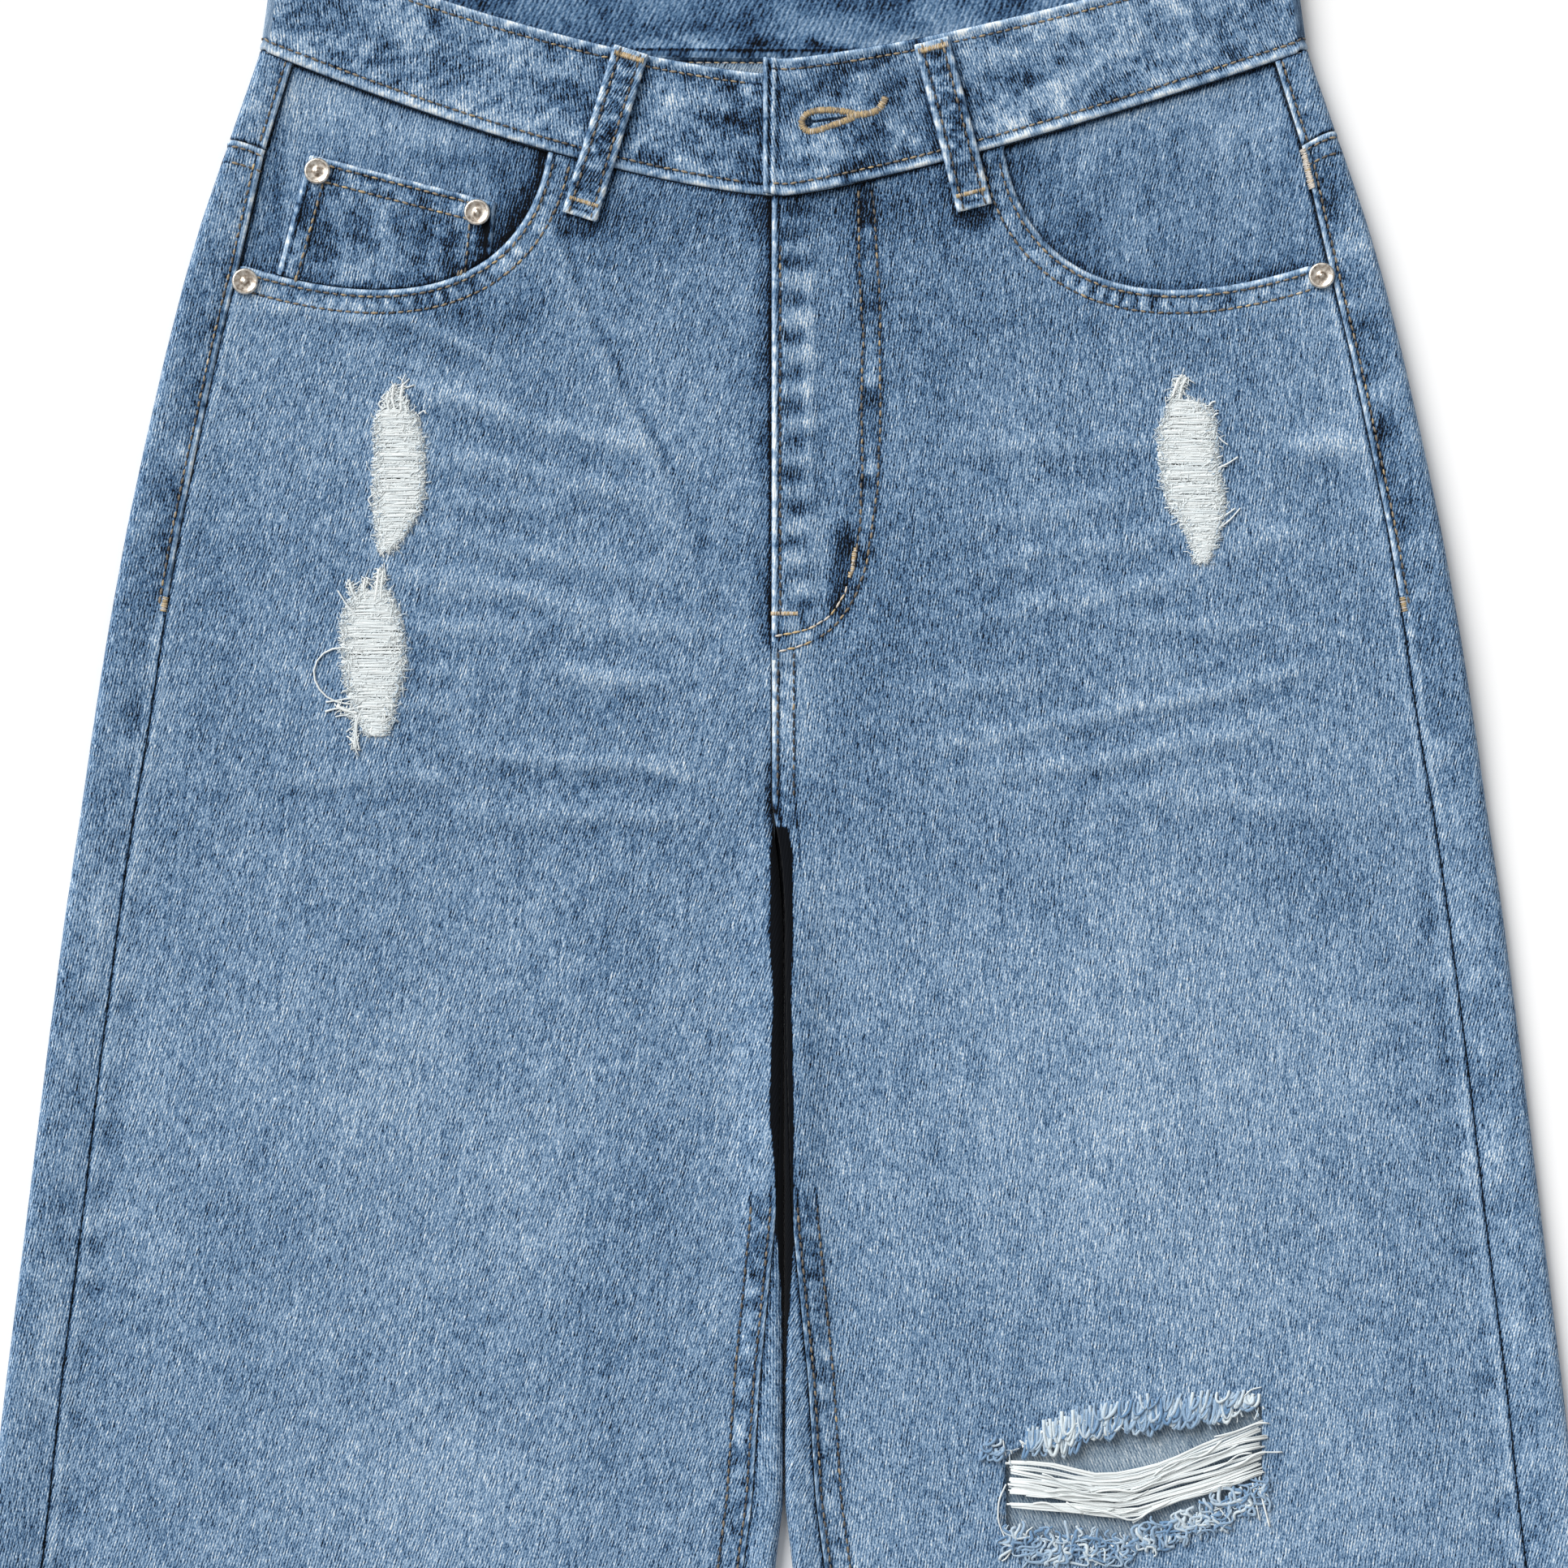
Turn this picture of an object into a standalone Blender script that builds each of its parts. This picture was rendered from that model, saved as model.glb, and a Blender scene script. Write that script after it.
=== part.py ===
"""Wide-leg ripped jeans lying flat on their back, front up, waist towards +Y.

Blender 4.5, metres, +Z up. The wearer's right leg is at -X. Each leg is a flattened tube of cloth:
the front panel lies on top, and the back panel lies under it and wraps round both folds to the
side seam and the inseam. A half of the garment is worked out once, in half coordinates, where
`across` is the distance from the middle line, and then placed on its own side.
"""

import math
from collections import namedtuple

import bmesh
import bpy
import numpy as np
from mathutils import Matrix, Vector

SIDES = {"right": -1, "left": 1}

# The cloth and how it lies
CLOTH = 0.0012            # one layer of denim
DOUBLE_CLOTH = 0.0022     # waistband, two layers
PATCH = 0.0015            # a patch with its turned edges: back pockets and belt loops
SEAM_GAP = 0.0003
WELD = 0.00001
FOLD_RADIUS = 0.0030      # outer radius of the folded edges
SIDE_ROLL = 0.026         # width of the roll beside an outer fold
INNER_ROLL = 0.016        # width of the roll beside an inner fold
HALF_TURN = math.pi * FOLD_RADIUS

# Centre front
CENTRE_FRONT = -0.0044
FLY_FOOT = 0.2700         # the fly laps over above this
FLY_STEP_END = 0.2600
FLY_LAP = 0.0040
FLY_STEP = 0.0015         # how far the upper edge of the fly stands up

# Waistband
TOP = 0.5015
SIDE_SEAM_TOP = 0.4636
BACK_TOP_DIP = 0.0015
BACK_SEAM_DIP = 0.0036
WAIST_HALF = 0.1794
BAND_SEAM_CENTRE = 0.4135
BAND_SEAM_POWER = {"right": 1.45, "left": 1.20}
BAND_TOP_CENTRE = {"right": 0.4554, "left": 0.4605}
BAND_TOP_POWER = {"right": 1.47, "left": 1.30}
BAND_TOP_HALF = 0.1750

# Back yoke seam
YOKE_CENTRE = 0.3950
YOKE_SIDE = 0.4295
YOKE_HALF = 0.1900
YOKE_POWER = 0.9

Section = namedtuple("Section", "y half side_seam inner inseam curl lift front wall")
# One row for each cross-section, hem to waist:
#   half       outline, from the middle line to the outer fold
#   side_seam  side seam on the upper face, from the middle line
#   inner      inner fold, from the middle line
#   inseam     inseam, measured along the surface from the foot of the inner fold
#   curl       0 where the halves are joined at the middle, 1 where the leg folds back inside
#   lift       underside above the floor, over the back pockets and the back belt loops
#   front      upper face in the middle of the panel
#   wall       thickness of the cloth
SECTIONS = (
    Section(-0.5015, 0.3289, 0.3045, 0.0394, 0.0205, 1.00, 0.0000, 0.0056, 0.0024),
    Section(-0.4865, 0.3269, 0.3028, 0.0382, 0.0205, 1.00, 0.0000, 0.0056, 0.0024),
    Section(-0.4835, 0.3265, 0.3024, 0.0379, 0.0205, 1.00, 0.0000, 0.0048, 0.0012),
    Section(-0.4400, 0.3211, 0.2974, 0.0342, 0.0200, 1.00, 0.0000, 0.0036, 0.0012),
    Section(-0.3000, 0.3040, 0.2817, 0.0228, 0.0190, 1.00, 0.0000, 0.0034, 0.0012),
    Section(-0.1800, 0.2893, 0.2683, 0.0130, 0.0182, 1.00, 0.0000, 0.0034, 0.0012),
    Section(-0.0560, 0.2742, 0.2545, 0.0029, 0.0174, 1.00, 0.0000, 0.0034, 0.0012),
    Section(-0.0330, 0.2715, 0.2518, 0.0004, 0.0171, 1.00, 0.0000, 0.0034, 0.0012),
    Section(0.0086, 0.2667, 0.2475, 0.0004, 0.0145, 1.00, 0.0000, 0.0035, 0.0012),
    Section(0.0642, 0.2597, 0.2404, 0.0004, 0.0090, 1.00, 0.0000, 0.0036, 0.0012),
    Section(0.1197, 0.2528, 0.2340, 0.0004, 0.0065, 1.00, 0.0000, 0.0038, 0.0012),
    Section(0.1664, 0.2467, 0.2279, 0.0004, 0.0047, 1.00, 0.0000, 0.0042, 0.0012),
    Section(0.1850, 0.2439, 0.2252, 0.0004, 0.0047, 0.70, 0.0000, 0.0045, 0.0012),
    Section(0.2050, 0.2408, 0.2222, 0.0004, 0.0047, 0.00, 0.0003, 0.0050, 0.0012),
    Section(0.2250, 0.2378, 0.2185, 0.0004, 0.0047, 0.00, 0.0012, 0.0056, 0.0012),
    Section(0.2450, 0.2347, 0.2153, 0.0004, 0.0047, 0.00, 0.0018, 0.0060, 0.0012),
    Section(0.2600, 0.2323, 0.2132, 0.0004, 0.0047, 0.00, 0.0018, 0.0062, 0.0012),
    Section(0.2700, 0.2306, 0.2117, 0.0004, 0.0047, 0.00, 0.0018, 0.0062, 0.0012),
    Section(0.3000, 0.2251, 0.2065, 0.0004, 0.0047, 0.00, 0.0018, 0.0062, 0.0012),
    Section(0.3300, 0.2187, 0.2002, 0.0004, 0.0047, 0.00, 0.0018, 0.0062, 0.0012),
    Section(0.3600, 0.2118, 0.1937, 0.0004, 0.0047, 0.00, 0.0018, 0.0062, 0.0012),
    Section(0.3850, 0.2054, 0.1876, 0.0004, 0.0047, 0.00, 0.0018, 0.0062, 0.0012),
    Section(0.4050, 0.1996, 0.1829, 0.0004, 0.0047, 0.00, 0.0018, 0.0062, 0.0012),
    Section(0.4295, 0.1912, 0.1774, 0.0004, 0.0047, 0.00, 0.0018, 0.0062, 0.0012),
    Section(0.4636, 0.1792, 0.1665, 0.0004, 0.0047, 0.00, 0.0018, 0.0062, 0.0012),
    Section(0.4808, 0.1769, 0.1645, 0.0004, 0.0047, 0.00, 0.0018, 0.0062, 0.0012),
    Section(0.5015, 0.1742, 0.1620, 0.0004, 0.0047, 0.00, 0.0018, 0.0062, 0.0012),
)
LEVELS = [section.y for section in SECTIONS]
FRONT_LEVELS = [y for y in LEVELS if y <= 0.3850]     # above these the rows fan out to the waist
BACK_LEVELS = [y for y in LEVELS if y <= 0.3600]      # above these they fan out to the yoke seam
FRONT_FAN = (0.26, 0.58, 1.0)
BACK_FAN = (0.36, 0.65, 1.0)
YOKE_FAN = (0.0, 0.5, 1.0)

# Columns of the front panel, as distances from its inner edge and from the side seam
INNER_COLUMNS = (0.0, 0.0025, 0.0050, 0.0100, 0.0180)
FLY_RAISE = (1.0, 1.0, 1.0, 0.5, 0.0)                 # of FLY_STEP, at each inner column
MIDDLE_COLUMNS = (0.2, 0.4, 0.6, 0.8)
OUTER_COLUMNS = (0.018, 0.009, 0.0)
SEAM_REACH = 0.002                                    # past a side seam, to give the direction there

# Columns of the back panel: shares, and angles down the fold from its crest
WRAP_COLUMNS = (0.0, 0.5, 1.0)
FOLD_COLUMNS = (45, 90, 135, 180)
UNDER_COLUMNS = (0.75, 0.5, 0.25, 0.0)
CURL_COLUMNS = (1 / 6, 2 / 6, 3 / 6, 4 / 6, 5 / 6, 1.0)

SoftFold = namedtuple("SoftFold", "x y turn length width height")
# The largest soft folds of the upper layer; `turn` is the angle of the crest from +X, in degrees
SOFT_FOLDS = (
    SoftFold(-0.070, 0.350, 115, 0.110, 0.022, 0.0005),
    SoftFold(-0.160, 0.110, 84, 0.260, 0.070, 0.0010),
    SoftFold(-0.085, -0.120, 97, 0.240, 0.060, 0.0009),
    SoftFold(-0.210, -0.290, 88, 0.260, 0.070, 0.0011),
    SoftFold(0.120, 0.120, 98, 0.220, 0.065, 0.0009),
    SoftFold(0.205, -0.130, 82, 0.260, 0.060, 0.0010),
    SoftFold(0.110, -0.300, 92, 0.240, 0.070, 0.0011),
)

BandStation = namedtuple("BandStation", "x height")
# The waistband's upper face across the front: first the under end, last the tab over it
RIGHT_BAND = (
    BandStation(0.0240, 0.0065),
    BandStation(-0.0100, 0.0065),
    BandStation(-0.0250, 0.0069),
    BandStation(-0.0600, 0.0070),
    BandStation(-0.1000, 0.0071),
    BandStation(-0.1350, 0.0073),
    BandStation(-0.1600, 0.0076),
)
LEFT_BAND = (
    BandStation(0.1600, 0.0076),
    BandStation(0.1350, 0.0073),
    BandStation(0.1000, 0.0072),
    BandStation(0.0700, 0.0072),
    BandStation(0.0440, 0.0074),
    BandStation(0.0270, 0.0090),
    BandStation(0.0080, 0.0090),
    BandStation(-0.0072, 0.0090),
)
BACK_BAND = (-0.150, -0.075, 0.0, 0.075, 0.150)
BAND_ROWS = (0.0, 0.5, 1.0)

# Buttonhole: a round eye and a slot
EYE = Vector((0.0083, 0.4386))
EYE_RADIUS = 0.0016
EYE_SIDES = 10
SLOT_END = Vector((0.0240, 0.4406))
SLOT_WIDTH = 0.0010

# Front pockets: the mouth is one curve from the waistband to the side seam, in half coordinates
MOUTH = (Vector((0.0780, 0.430)), Vector((0.0850, 0.386)), Vector((0.1220, 0.371)), Vector((0.1810, 0.3896)))
MOUTH_SHIFT = -0.0026     # the front sits this far towards -X at the pockets
MOUTH_POINTS = 10
FACING_MARGIN = 0.012
FACING_FIRST_COLUMN = 5   # of the front's columns
FACING_FIRST_LEVEL = 0.36
FACING_DROP = CLOTH + SEAM_GAP

COIN_POCKET = (
    Vector((-0.1625, 0.4283)),
    Vector((-0.1325, 0.4203)),
    Vector((-0.0986, 0.4117)),
    Vector((-0.1014, 0.3800)),
    Vector((-0.1770, 0.3760)),
)

Loop = namedtuple("Loop", "name top foot")
FRONT_LOOPS = (
    Loop("belt_loop_front_right", Vector((-0.0522, 0.4635)), Vector((-0.0700, 0.4065))),
    Loop("belt_loop_front_left", Vector((0.0503, 0.4665)), Vector((0.0652, 0.4095))),
)
LOOP_WIDTH = 0.0125
LOOP_BOW = 0.0004         # how far a loop stands off the middle of the waistband
LOOP_SETTLE = 0.55        # share of its end below the waistband where it has come down to the front
BACK_LOOPS = {"belt_loop_back_right": -0.095, "belt_loop_back_centre": 0.0, "belt_loop_back_left": 0.095}
BACK_LOOP_TOP = 0.4990
BACK_LOOP_FOOT = 0.4450

# Back patch pockets, centred here in half coordinates
BACK_POCKET = (0.100, 0.392)
BACK_POCKET_WIDTH = 0.138
BACK_POCKET_FOOT_WIDTH = 0.126
BACK_POCKET_SIDE = 0.130
BACK_POCKET_HEIGHT = 0.144

ZIP_Y = (0.2640, 0.4110)
ZIP_TAPE_X = (-0.0160, 0.0140)
ZIP_TAPE_Z = (0.0034, 0.0042)
ZIP_CHAIN_WIDTH = 0.0056
ZIP_CHAIN_TOP = 0.0046

RIVET_RADIUS = 0.0049
RIVETS = {
    "rivet_coin_outer": (-0.1597, 0.4222),
    "rivet_coin_inner": (-0.1050, 0.4081),
    "rivet_pocket_right": (-0.1844, 0.3844),
    "rivet_pocket_left": (0.1839, 0.3864),
}
# Turned outline from the middle of its underside: share of the radius, height
RIVET_PROFILE = (
    (0.00, 0.0),
    (1.00, 0.0),
    (1.00, 0.0009),
    (0.86, 0.0014),
    (0.70, 0.0011),
    (0.26, 0.0010),
    (0.18, 0.0016),
    (0.00, 0.0017),
)
RIVET_SIDES = 14
SMOOTH_UNDER = math.radians(35)

KneeStation = namedtuple("KneeStation", "x hole_top threads_top threads_foot hole_foot")
KNEE_HOLE = (
    KneeStation(0.0761, -0.0178, -0.0183, -0.0364, -0.0456),
    KneeStation(0.0900, -0.0103, -0.0200, -0.0367, -0.0475),
    KneeStation(0.1053, -0.0058, -0.0247, -0.0381, -0.0478),
    KneeStation(0.1192, -0.0044, -0.0228, -0.0408, -0.0483),
    KneeStation(0.1344, -0.0039, -0.0172, -0.0336, -0.0419),
    KneeStation(0.1497, -0.0033, -0.0097, -0.0308, -0.0358),
    KneeStation(0.1639, -0.0011, -0.0058, -0.0256, -0.0303),
)

Rip = namedtuple("Rip", "threads top foot width belly")
# Small rips, pointed at both ends; `belly` is how far the middle bows towards +X
RIPS = {
    "front_right": (
        Rip("torn_threads_thigh_upper", Vector((-0.1320, 0.3490)), Vector((-0.1375, 0.2920)), 0.0138, 0.0022),
        Rip("torn_threads_thigh_lower", Vector((-0.1392, 0.2860)), Vector((-0.1419, 0.2290)), 0.0170, 0.0008),
    ),
    "front_left": (
        Rip("torn_threads_thigh_left", Vector((0.1355, 0.3525)), Vector((0.1428, 0.2880)), 0.0165, -0.0012),
    ),
}
RIP_STEPS = 5
RIP_POINTEDNESS = 0.7
SHARPEST_MITRE = 0.35
CUT_FLOOR = -0.001
CUT_TOP = 0.020


def at(column, y):
    """A column of the section table at any height, straight between its rows."""
    return float(np.interp(y, LEVELS, [getattr(section, column) for section in SECTIONS]))


def ease(t):
    t = min(max(t, 0.0), 1.0)
    return t * t * (3 - 2 * t)


def mix(a, b, t):
    return a + (b - a) * t


def soft_folds(x, y):
    total = 0.0
    for fold in SOFT_FOLDS:
        turn = math.radians(fold.turn)
        along = (x - fold.x) * math.cos(turn) + (y - fold.y) * math.sin(turn)
        beside = (y - fold.y) * math.cos(turn) - (x - fold.x) * math.sin(turn)
        total += fold.height * math.exp(-((2 * along / fold.length) ** 2) - (2 * beside / fold.width) ** 2)
    return total


def upper_face(side, across, y):
    """Height of the upper cloth face, which rolls up to both folds."""
    outer_crest = at("half", y) - FOLD_RADIUS
    inner_crest = at("inner", y) + FOLD_RADIUS
    outer_roll = 1 - ease((outer_crest - across) / SIDE_ROLL)
    inner_roll = at("curl", y) * (1 - ease((across - inner_crest) / INNER_ROLL))
    crest = at("lift", y) + 2 * FOLD_RADIUS
    middle = at("front", y)
    bump = soft_folds(SIDES[side] * across, y) * ease((outer_crest - across) / SIDE_ROLL)
    return mix(middle, crest, max(outer_roll, inner_roll)) + bump * (1 - inner_roll)


def inner_fold(side, y, run):
    """A point `run` along the surface from the foot of the inner fold, round it and on across the top."""
    foot = at("inner", y) + FOLD_RADIUS
    if run < HALF_TURN:
        angle = run / FOLD_RADIUS
        rise = FOLD_RADIUS * (1 - math.cos(angle))
        return np.array((foot - FOLD_RADIUS * math.sin(angle), at("lift", y) + rise))
    across = foot + run - HALF_TURN
    return np.array((across, upper_face(side, across, y)))


def offset_inward(line, wall):
    """The inner face of a cloth section: each point of `line` moved in by the wall, mitred at corners.

    The first and last points only give the section's direction at its ends, and are left out.
    """
    steps = np.diff(line, axis=0)
    steps /= np.linalg.norm(steps, axis=1, keepdims=True)
    normals = np.stack([-steps[:, 1], steps[:, 0]], axis=1)
    middle = normals[:-1] + normals[1:]
    middle /= np.linalg.norm(middle, axis=1, keepdims=True)
    stretch = (middle * normals[1:]).sum(axis=1, keepdims=True)
    return line[1:-1] - middle * wall / stretch


def band_seam(side, across):
    """Where the waistband meets the front, as a height over the middle line."""
    share = abs(across) / WAIST_HALF
    return BAND_SEAM_CENTRE + (SIDE_SEAM_TOP - BAND_SEAM_CENTRE) * share ** BAND_SEAM_POWER[side]


def band_top(side, across):
    share = min(abs(across) / BAND_TOP_HALF, 1.0)
    return mix(BAND_TOP_CENTRE[side], TOP, share ** BAND_TOP_POWER[side])


def back_band_seam(across):
    return SIDE_SEAM_TOP - BACK_SEAM_DIP * (1 - (across / WAIST_HALF) ** 2)


def back_band_top(across):
    return TOP - BACK_TOP_DIP * (1 - (across / WAIST_HALF) ** 2)


def yoke_seam(across):
    return YOKE_CENTRE + (YOKE_SIDE - YOKE_CENTRE) * min(abs(across) / YOKE_HALF, 1.0) ** YOKE_POWER


def centre_front(side, y):
    """Inner edge of a front panel above the crotch, in half coordinates."""
    edge = CENTRE_FRONT * SIDES[side]
    if side == "left":
        return edge + SEAM_GAP / 2
    lap = FLY_LAP if y >= FLY_FOOT else 0.0
    return edge + SEAM_GAP / 2 - lap


def front_edge_point(side, y, offset, raised):
    """A point of the front panel this far from its inner edge."""
    curled = inner_fold(side, y, at("inseam", y) + SEAM_GAP / 2 + offset)
    across = centre_front(side, y) + offset
    step = FLY_STEP * raised if side == "left" and y >= FLY_STEP_END else 0.0
    flat = np.array((across, upper_face(side, across, y) + step))
    return mix(flat, curled, at("curl", y))


def upper_point(side, across, y):
    return np.array((across, upper_face(side, across, y)))


def front_line(side, heights):
    """The front panel's section, inner edge to side seam, with one height y for each column.

    Like back_line, it has one more point past each end, which only gives the direction there.
    """
    line = [front_edge_point(side, heights[0], -INNER_COLUMNS[1], FLY_RAISE[0])]
    for y, offset, raised in zip(heights, INNER_COLUMNS, FLY_RAISE):
        line.append(front_edge_point(side, y, offset, raised))
    inner_end = line[-1][0]
    for y, share in zip(heights[len(INNER_COLUMNS):], MIDDLE_COLUMNS):
        across = mix(inner_end, at("side_seam", y) - OUTER_COLUMNS[0], share)
        line.append(upper_point(side, across, y))
    for y, offset in zip(heights[-len(OUTER_COLUMNS):], OUTER_COLUMNS):
        line.append(upper_point(side, at("side_seam", y) - offset - SEAM_GAP / 2, y))
    line.append(upper_point(side, at("side_seam", heights[-1]) + SEAM_REACH, heights[-1]))
    return np.array(line)


def back_inner_point(side, y, share):
    """A point of the back panel's last stretch, flat or curled round the inner fold."""
    foot = at("inner", y) + FOLD_RADIUS
    flat = np.array((mix(foot, SEAM_GAP / 2, share), at("lift", y)))
    curled = inner_fold(side, y, (at("inseam", y) - SEAM_GAP / 2) * share)
    return mix(flat, curled, at("curl", y))


def back_line(side, heights):
    """The back panel's section: side seam, round the outer fold, under the leg, round the inner fold."""
    line = [upper_point(side, at("side_seam", heights[0]) - SEAM_REACH, heights[0])]
    remaining = iter(heights)
    for share, y in zip(WRAP_COLUMNS, remaining):
        across = mix(at("side_seam", y) + SEAM_GAP / 2, at("half", y) - FOLD_RADIUS, share)
        line.append(upper_point(side, across, y))
    for angle, y in zip(FOLD_COLUMNS, remaining):
        turn = math.radians(angle)
        across = at("half", y) - FOLD_RADIUS * (1 - math.sin(turn))
        line.append(np.array((across, at("lift", y) + FOLD_RADIUS * (1 + math.cos(turn)))))
    for share, y in zip(UNDER_COLUMNS, remaining):
        across = mix(at("inner", y) + FOLD_RADIUS, at("half", y) - FOLD_RADIUS, share)
        line.append(np.array((across, at("lift", y))))
    for share, y in zip(CURL_COLUMNS, remaining):
        line.append(back_inner_point(side, y, share))
    line.append(back_inner_point(side, heights[-1], 1 + CURL_COLUMNS[0]))
    return np.array(line)


FRONT_COLUMNS = len(INNER_COLUMNS) + len(MIDDLE_COLUMNS) + len(OUTER_COLUMNS)
BACK_COLUMNS = len(WRAP_COLUMNS) + len(FOLD_COLUMNS) + len(UNDER_COLUMNS) + len(CURL_COLUMNS)


def fanned(level, edge_of, columns, line_of, fan):
    """Rows of heights between a level section and a curved upper edge, given by its height at `across`."""
    edge = [level] * columns
    for _ in range(2):
        edge = [edge_of(column, point[0]) for column, point in enumerate(line_of(edge)[1:-1])]
    return [[mix(level, top, share) for top in edge] for share in fan]


def sheet_rows(side, rows, line_of):
    """Outer and inner faces of a panel, from rows of heights, as (x, y, z) points."""
    outer, inner = [], []
    for heights in rows:
        line = line_of(heights)
        wall = at("wall", heights[0])
        for face, section in ((outer, line[1:-1]), (inner, offset_inward(line, wall))):
            face.append([(SIDES[side] * p[0], y, p[1]) for p, y in zip(section, heights)])
    return np.array(outer), np.array(inner)


def front_rows(side):
    def line_of(heights):
        return front_line(side, heights)

    def edge_of(column, across):
        return band_seam(side, across) - SEAM_GAP

    rows = [[y] * FRONT_COLUMNS for y in FRONT_LEVELS]
    rows += fanned(FRONT_LEVELS[-1], edge_of, FRONT_COLUMNS, line_of, FRONT_FAN)
    return sheet_rows(side, rows, line_of)


def back_rows(side):
    def line_of(heights):
        return back_line(side, heights)

    def edge_of(column, across):
        return yoke_seam(across) - SEAM_GAP / 2

    rows = [[y] * BACK_COLUMNS for y in BACK_LEVELS]
    rows += fanned(BACK_LEVELS[-1], edge_of, BACK_COLUMNS, line_of, BACK_FAN)
    return sheet_rows(side, rows, line_of)


def yoke_rows(side):
    def line_of(heights):
        return back_line(side, heights)

    def seam_of(column, across):
        return yoke_seam(across) + SEAM_GAP / 2

    def top_of(column, across):
        on_front = column < len(WRAP_COLUMNS)
        return (band_seam(side, across) if on_front else back_band_seam(across)) - SEAM_GAP

    low = fanned(YOKE_SIDE, seam_of, BACK_COLUMNS, line_of, (1.0,))[0]
    high = fanned(SIDE_SEAM_TOP, top_of, BACK_COLUMNS, line_of, (1.0,))[0]
    rows = [[mix(a, b, share) for a, b in zip(low, high)] for share in YOKE_FAN]
    return sheet_rows(side, rows, line_of)


def band_columns():
    """The waistband's stations, under end to tab: (side, across or angle, height, lower y, upper y)."""
    columns = []
    for station in RIGHT_BAND:
        seam = band_seam("right" if station.x < 0 else "left", station.x)
        columns.append((station.x, station.height, seam, band_top("right", station.x)))
    for angle in (0, *FOLD_COLUMNS):
        columns.append(("right", angle, SIDE_SEAM_TOP, TOP))
    for x in BACK_BAND:
        columns.append((x, at("lift", TOP), back_band_seam(x), back_band_top(x)))
    for angle in (*FOLD_COLUMNS[::-1], 0):
        columns.append(("left", angle, SIDE_SEAM_TOP, TOP))
    for station in LEFT_BAND:
        columns.append((station.x, station.height, band_seam("left", station.x), band_top("left", station.x)))
    return columns


def band_point(column, share):
    place, level, low, high = column
    y = mix(low, high, share)
    if place not in SIDES:
        return place, y, level
    turn = math.radians(level)
    across = at("half", y) - FOLD_RADIUS * (1 - math.sin(turn))
    return SIDES[place] * across, y, at("lift", y) + FOLD_RADIUS * (1 + math.cos(turn))


def band_height(x):
    """Height of the waistband's upper face across the front."""
    stations = RIGHT_BAND[::-1] if x < LEFT_BAND[-1].x else LEFT_BAND[::-1]
    return float(np.interp(x, [s.x for s in stations], [s.height for s in stations]))


def material(name, colour, roughness, metallic=0.0):
    made = bpy.data.materials.new(name)
    made.use_nodes = True
    shader = made.node_tree.nodes["Principled BSDF"]
    shader.inputs["Base Color"].default_value = (*colour, 1.0)
    shader.inputs["Roughness"].default_value = roughness
    shader.inputs["Metallic"].default_value = metallic
    return made


def add_object(name, bm, finish):
    bmesh.ops.recalc_face_normals(bm, faces=bm.faces[:])
    mesh = bpy.data.meshes.new(name)
    bm.to_mesh(mesh)
    bm.free()
    made = bpy.data.objects.new(name, mesh)
    bpy.context.scene.collection.objects.link(made)
    if finish:
        mesh.materials.append(finish)
    return made


def cloth_wall(name, outer, inner, finish):
    """A closed wall of cloth between two faces, each an array of rows of (x, y, z) points."""
    bm = bmesh.new()
    rows, columns = outer.shape[:2]
    bmesh.ops.create_grid(bm, x_segments=columns - 1, y_segments=rows - 1, size=1)
    place = bm.verts.layers.int.new("place")
    bm.verts.ensure_lookup_table()
    for index, vert in enumerate(bm.verts):
        vert[place] = index
        vert.co = outer.reshape(-1, 3)[index]
    made = bmesh.ops.extrude_face_region(bm, geom=bm.faces[:], use_keep_orig=True)["geom"]
    for vert in (item for item in made if isinstance(item, bmesh.types.BMVert)):
        vert.co = inner.reshape(-1, 3)[vert[place]]
    bmesh.ops.triangulate(bm, faces=bm.faces[:])
    return add_object(name, bm, finish)


def plate(name, outline, low, high, finish):
    """A flat plate with this outline of (x, y) points, between two heights."""
    bm = bmesh.new()
    face = bm.faces.new([bm.verts.new((p[0], p[1], low)) for p in outline])
    made = bmesh.ops.extrude_face_region(bm, geom=[face], use_keep_orig=True)["geom"]
    moved = [item for item in made if isinstance(item, bmesh.types.BMVert)]
    bmesh.ops.translate(bm, verts=moved, vec=(0, 0, high - low))
    return add_object(name, bm, finish)


def cutter(name, outline, low=CUT_FLOOR, high=CUT_TOP):
    made = plate(name, outline, low, high, None)
    made.hide_render = True
    made.display_type = "WIRE"
    return made


def boolean(piece, operation, tool):
    modifier = piece.modifiers.new(tool.name, "BOOLEAN")
    modifier.operation = operation
    modifier.solver = "EXACT"
    modifier.object = tool


def inset(outline, distance):
    """The outline moved in on all sides by `distance`, or out where it is negative."""
    points = [Vector(p) for p in outline]
    area = sum(a.cross(b) for a, b in zip(points, points[1:] + points[:1]))
    turn = 1 if area > 0 else -1
    moved = []
    for before, here, after in zip(points[-1:] + points[:-1], points, points[1:] + points[:1]):
        first = (here - before).normalized().orthogonal() * turn
        second = (after - here).normalized().orthogonal() * turn
        middle = (first + second).normalized()
        moved.append(here + middle * distance / max(middle.dot(first), SHARPEST_MITRE))
    return moved


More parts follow.
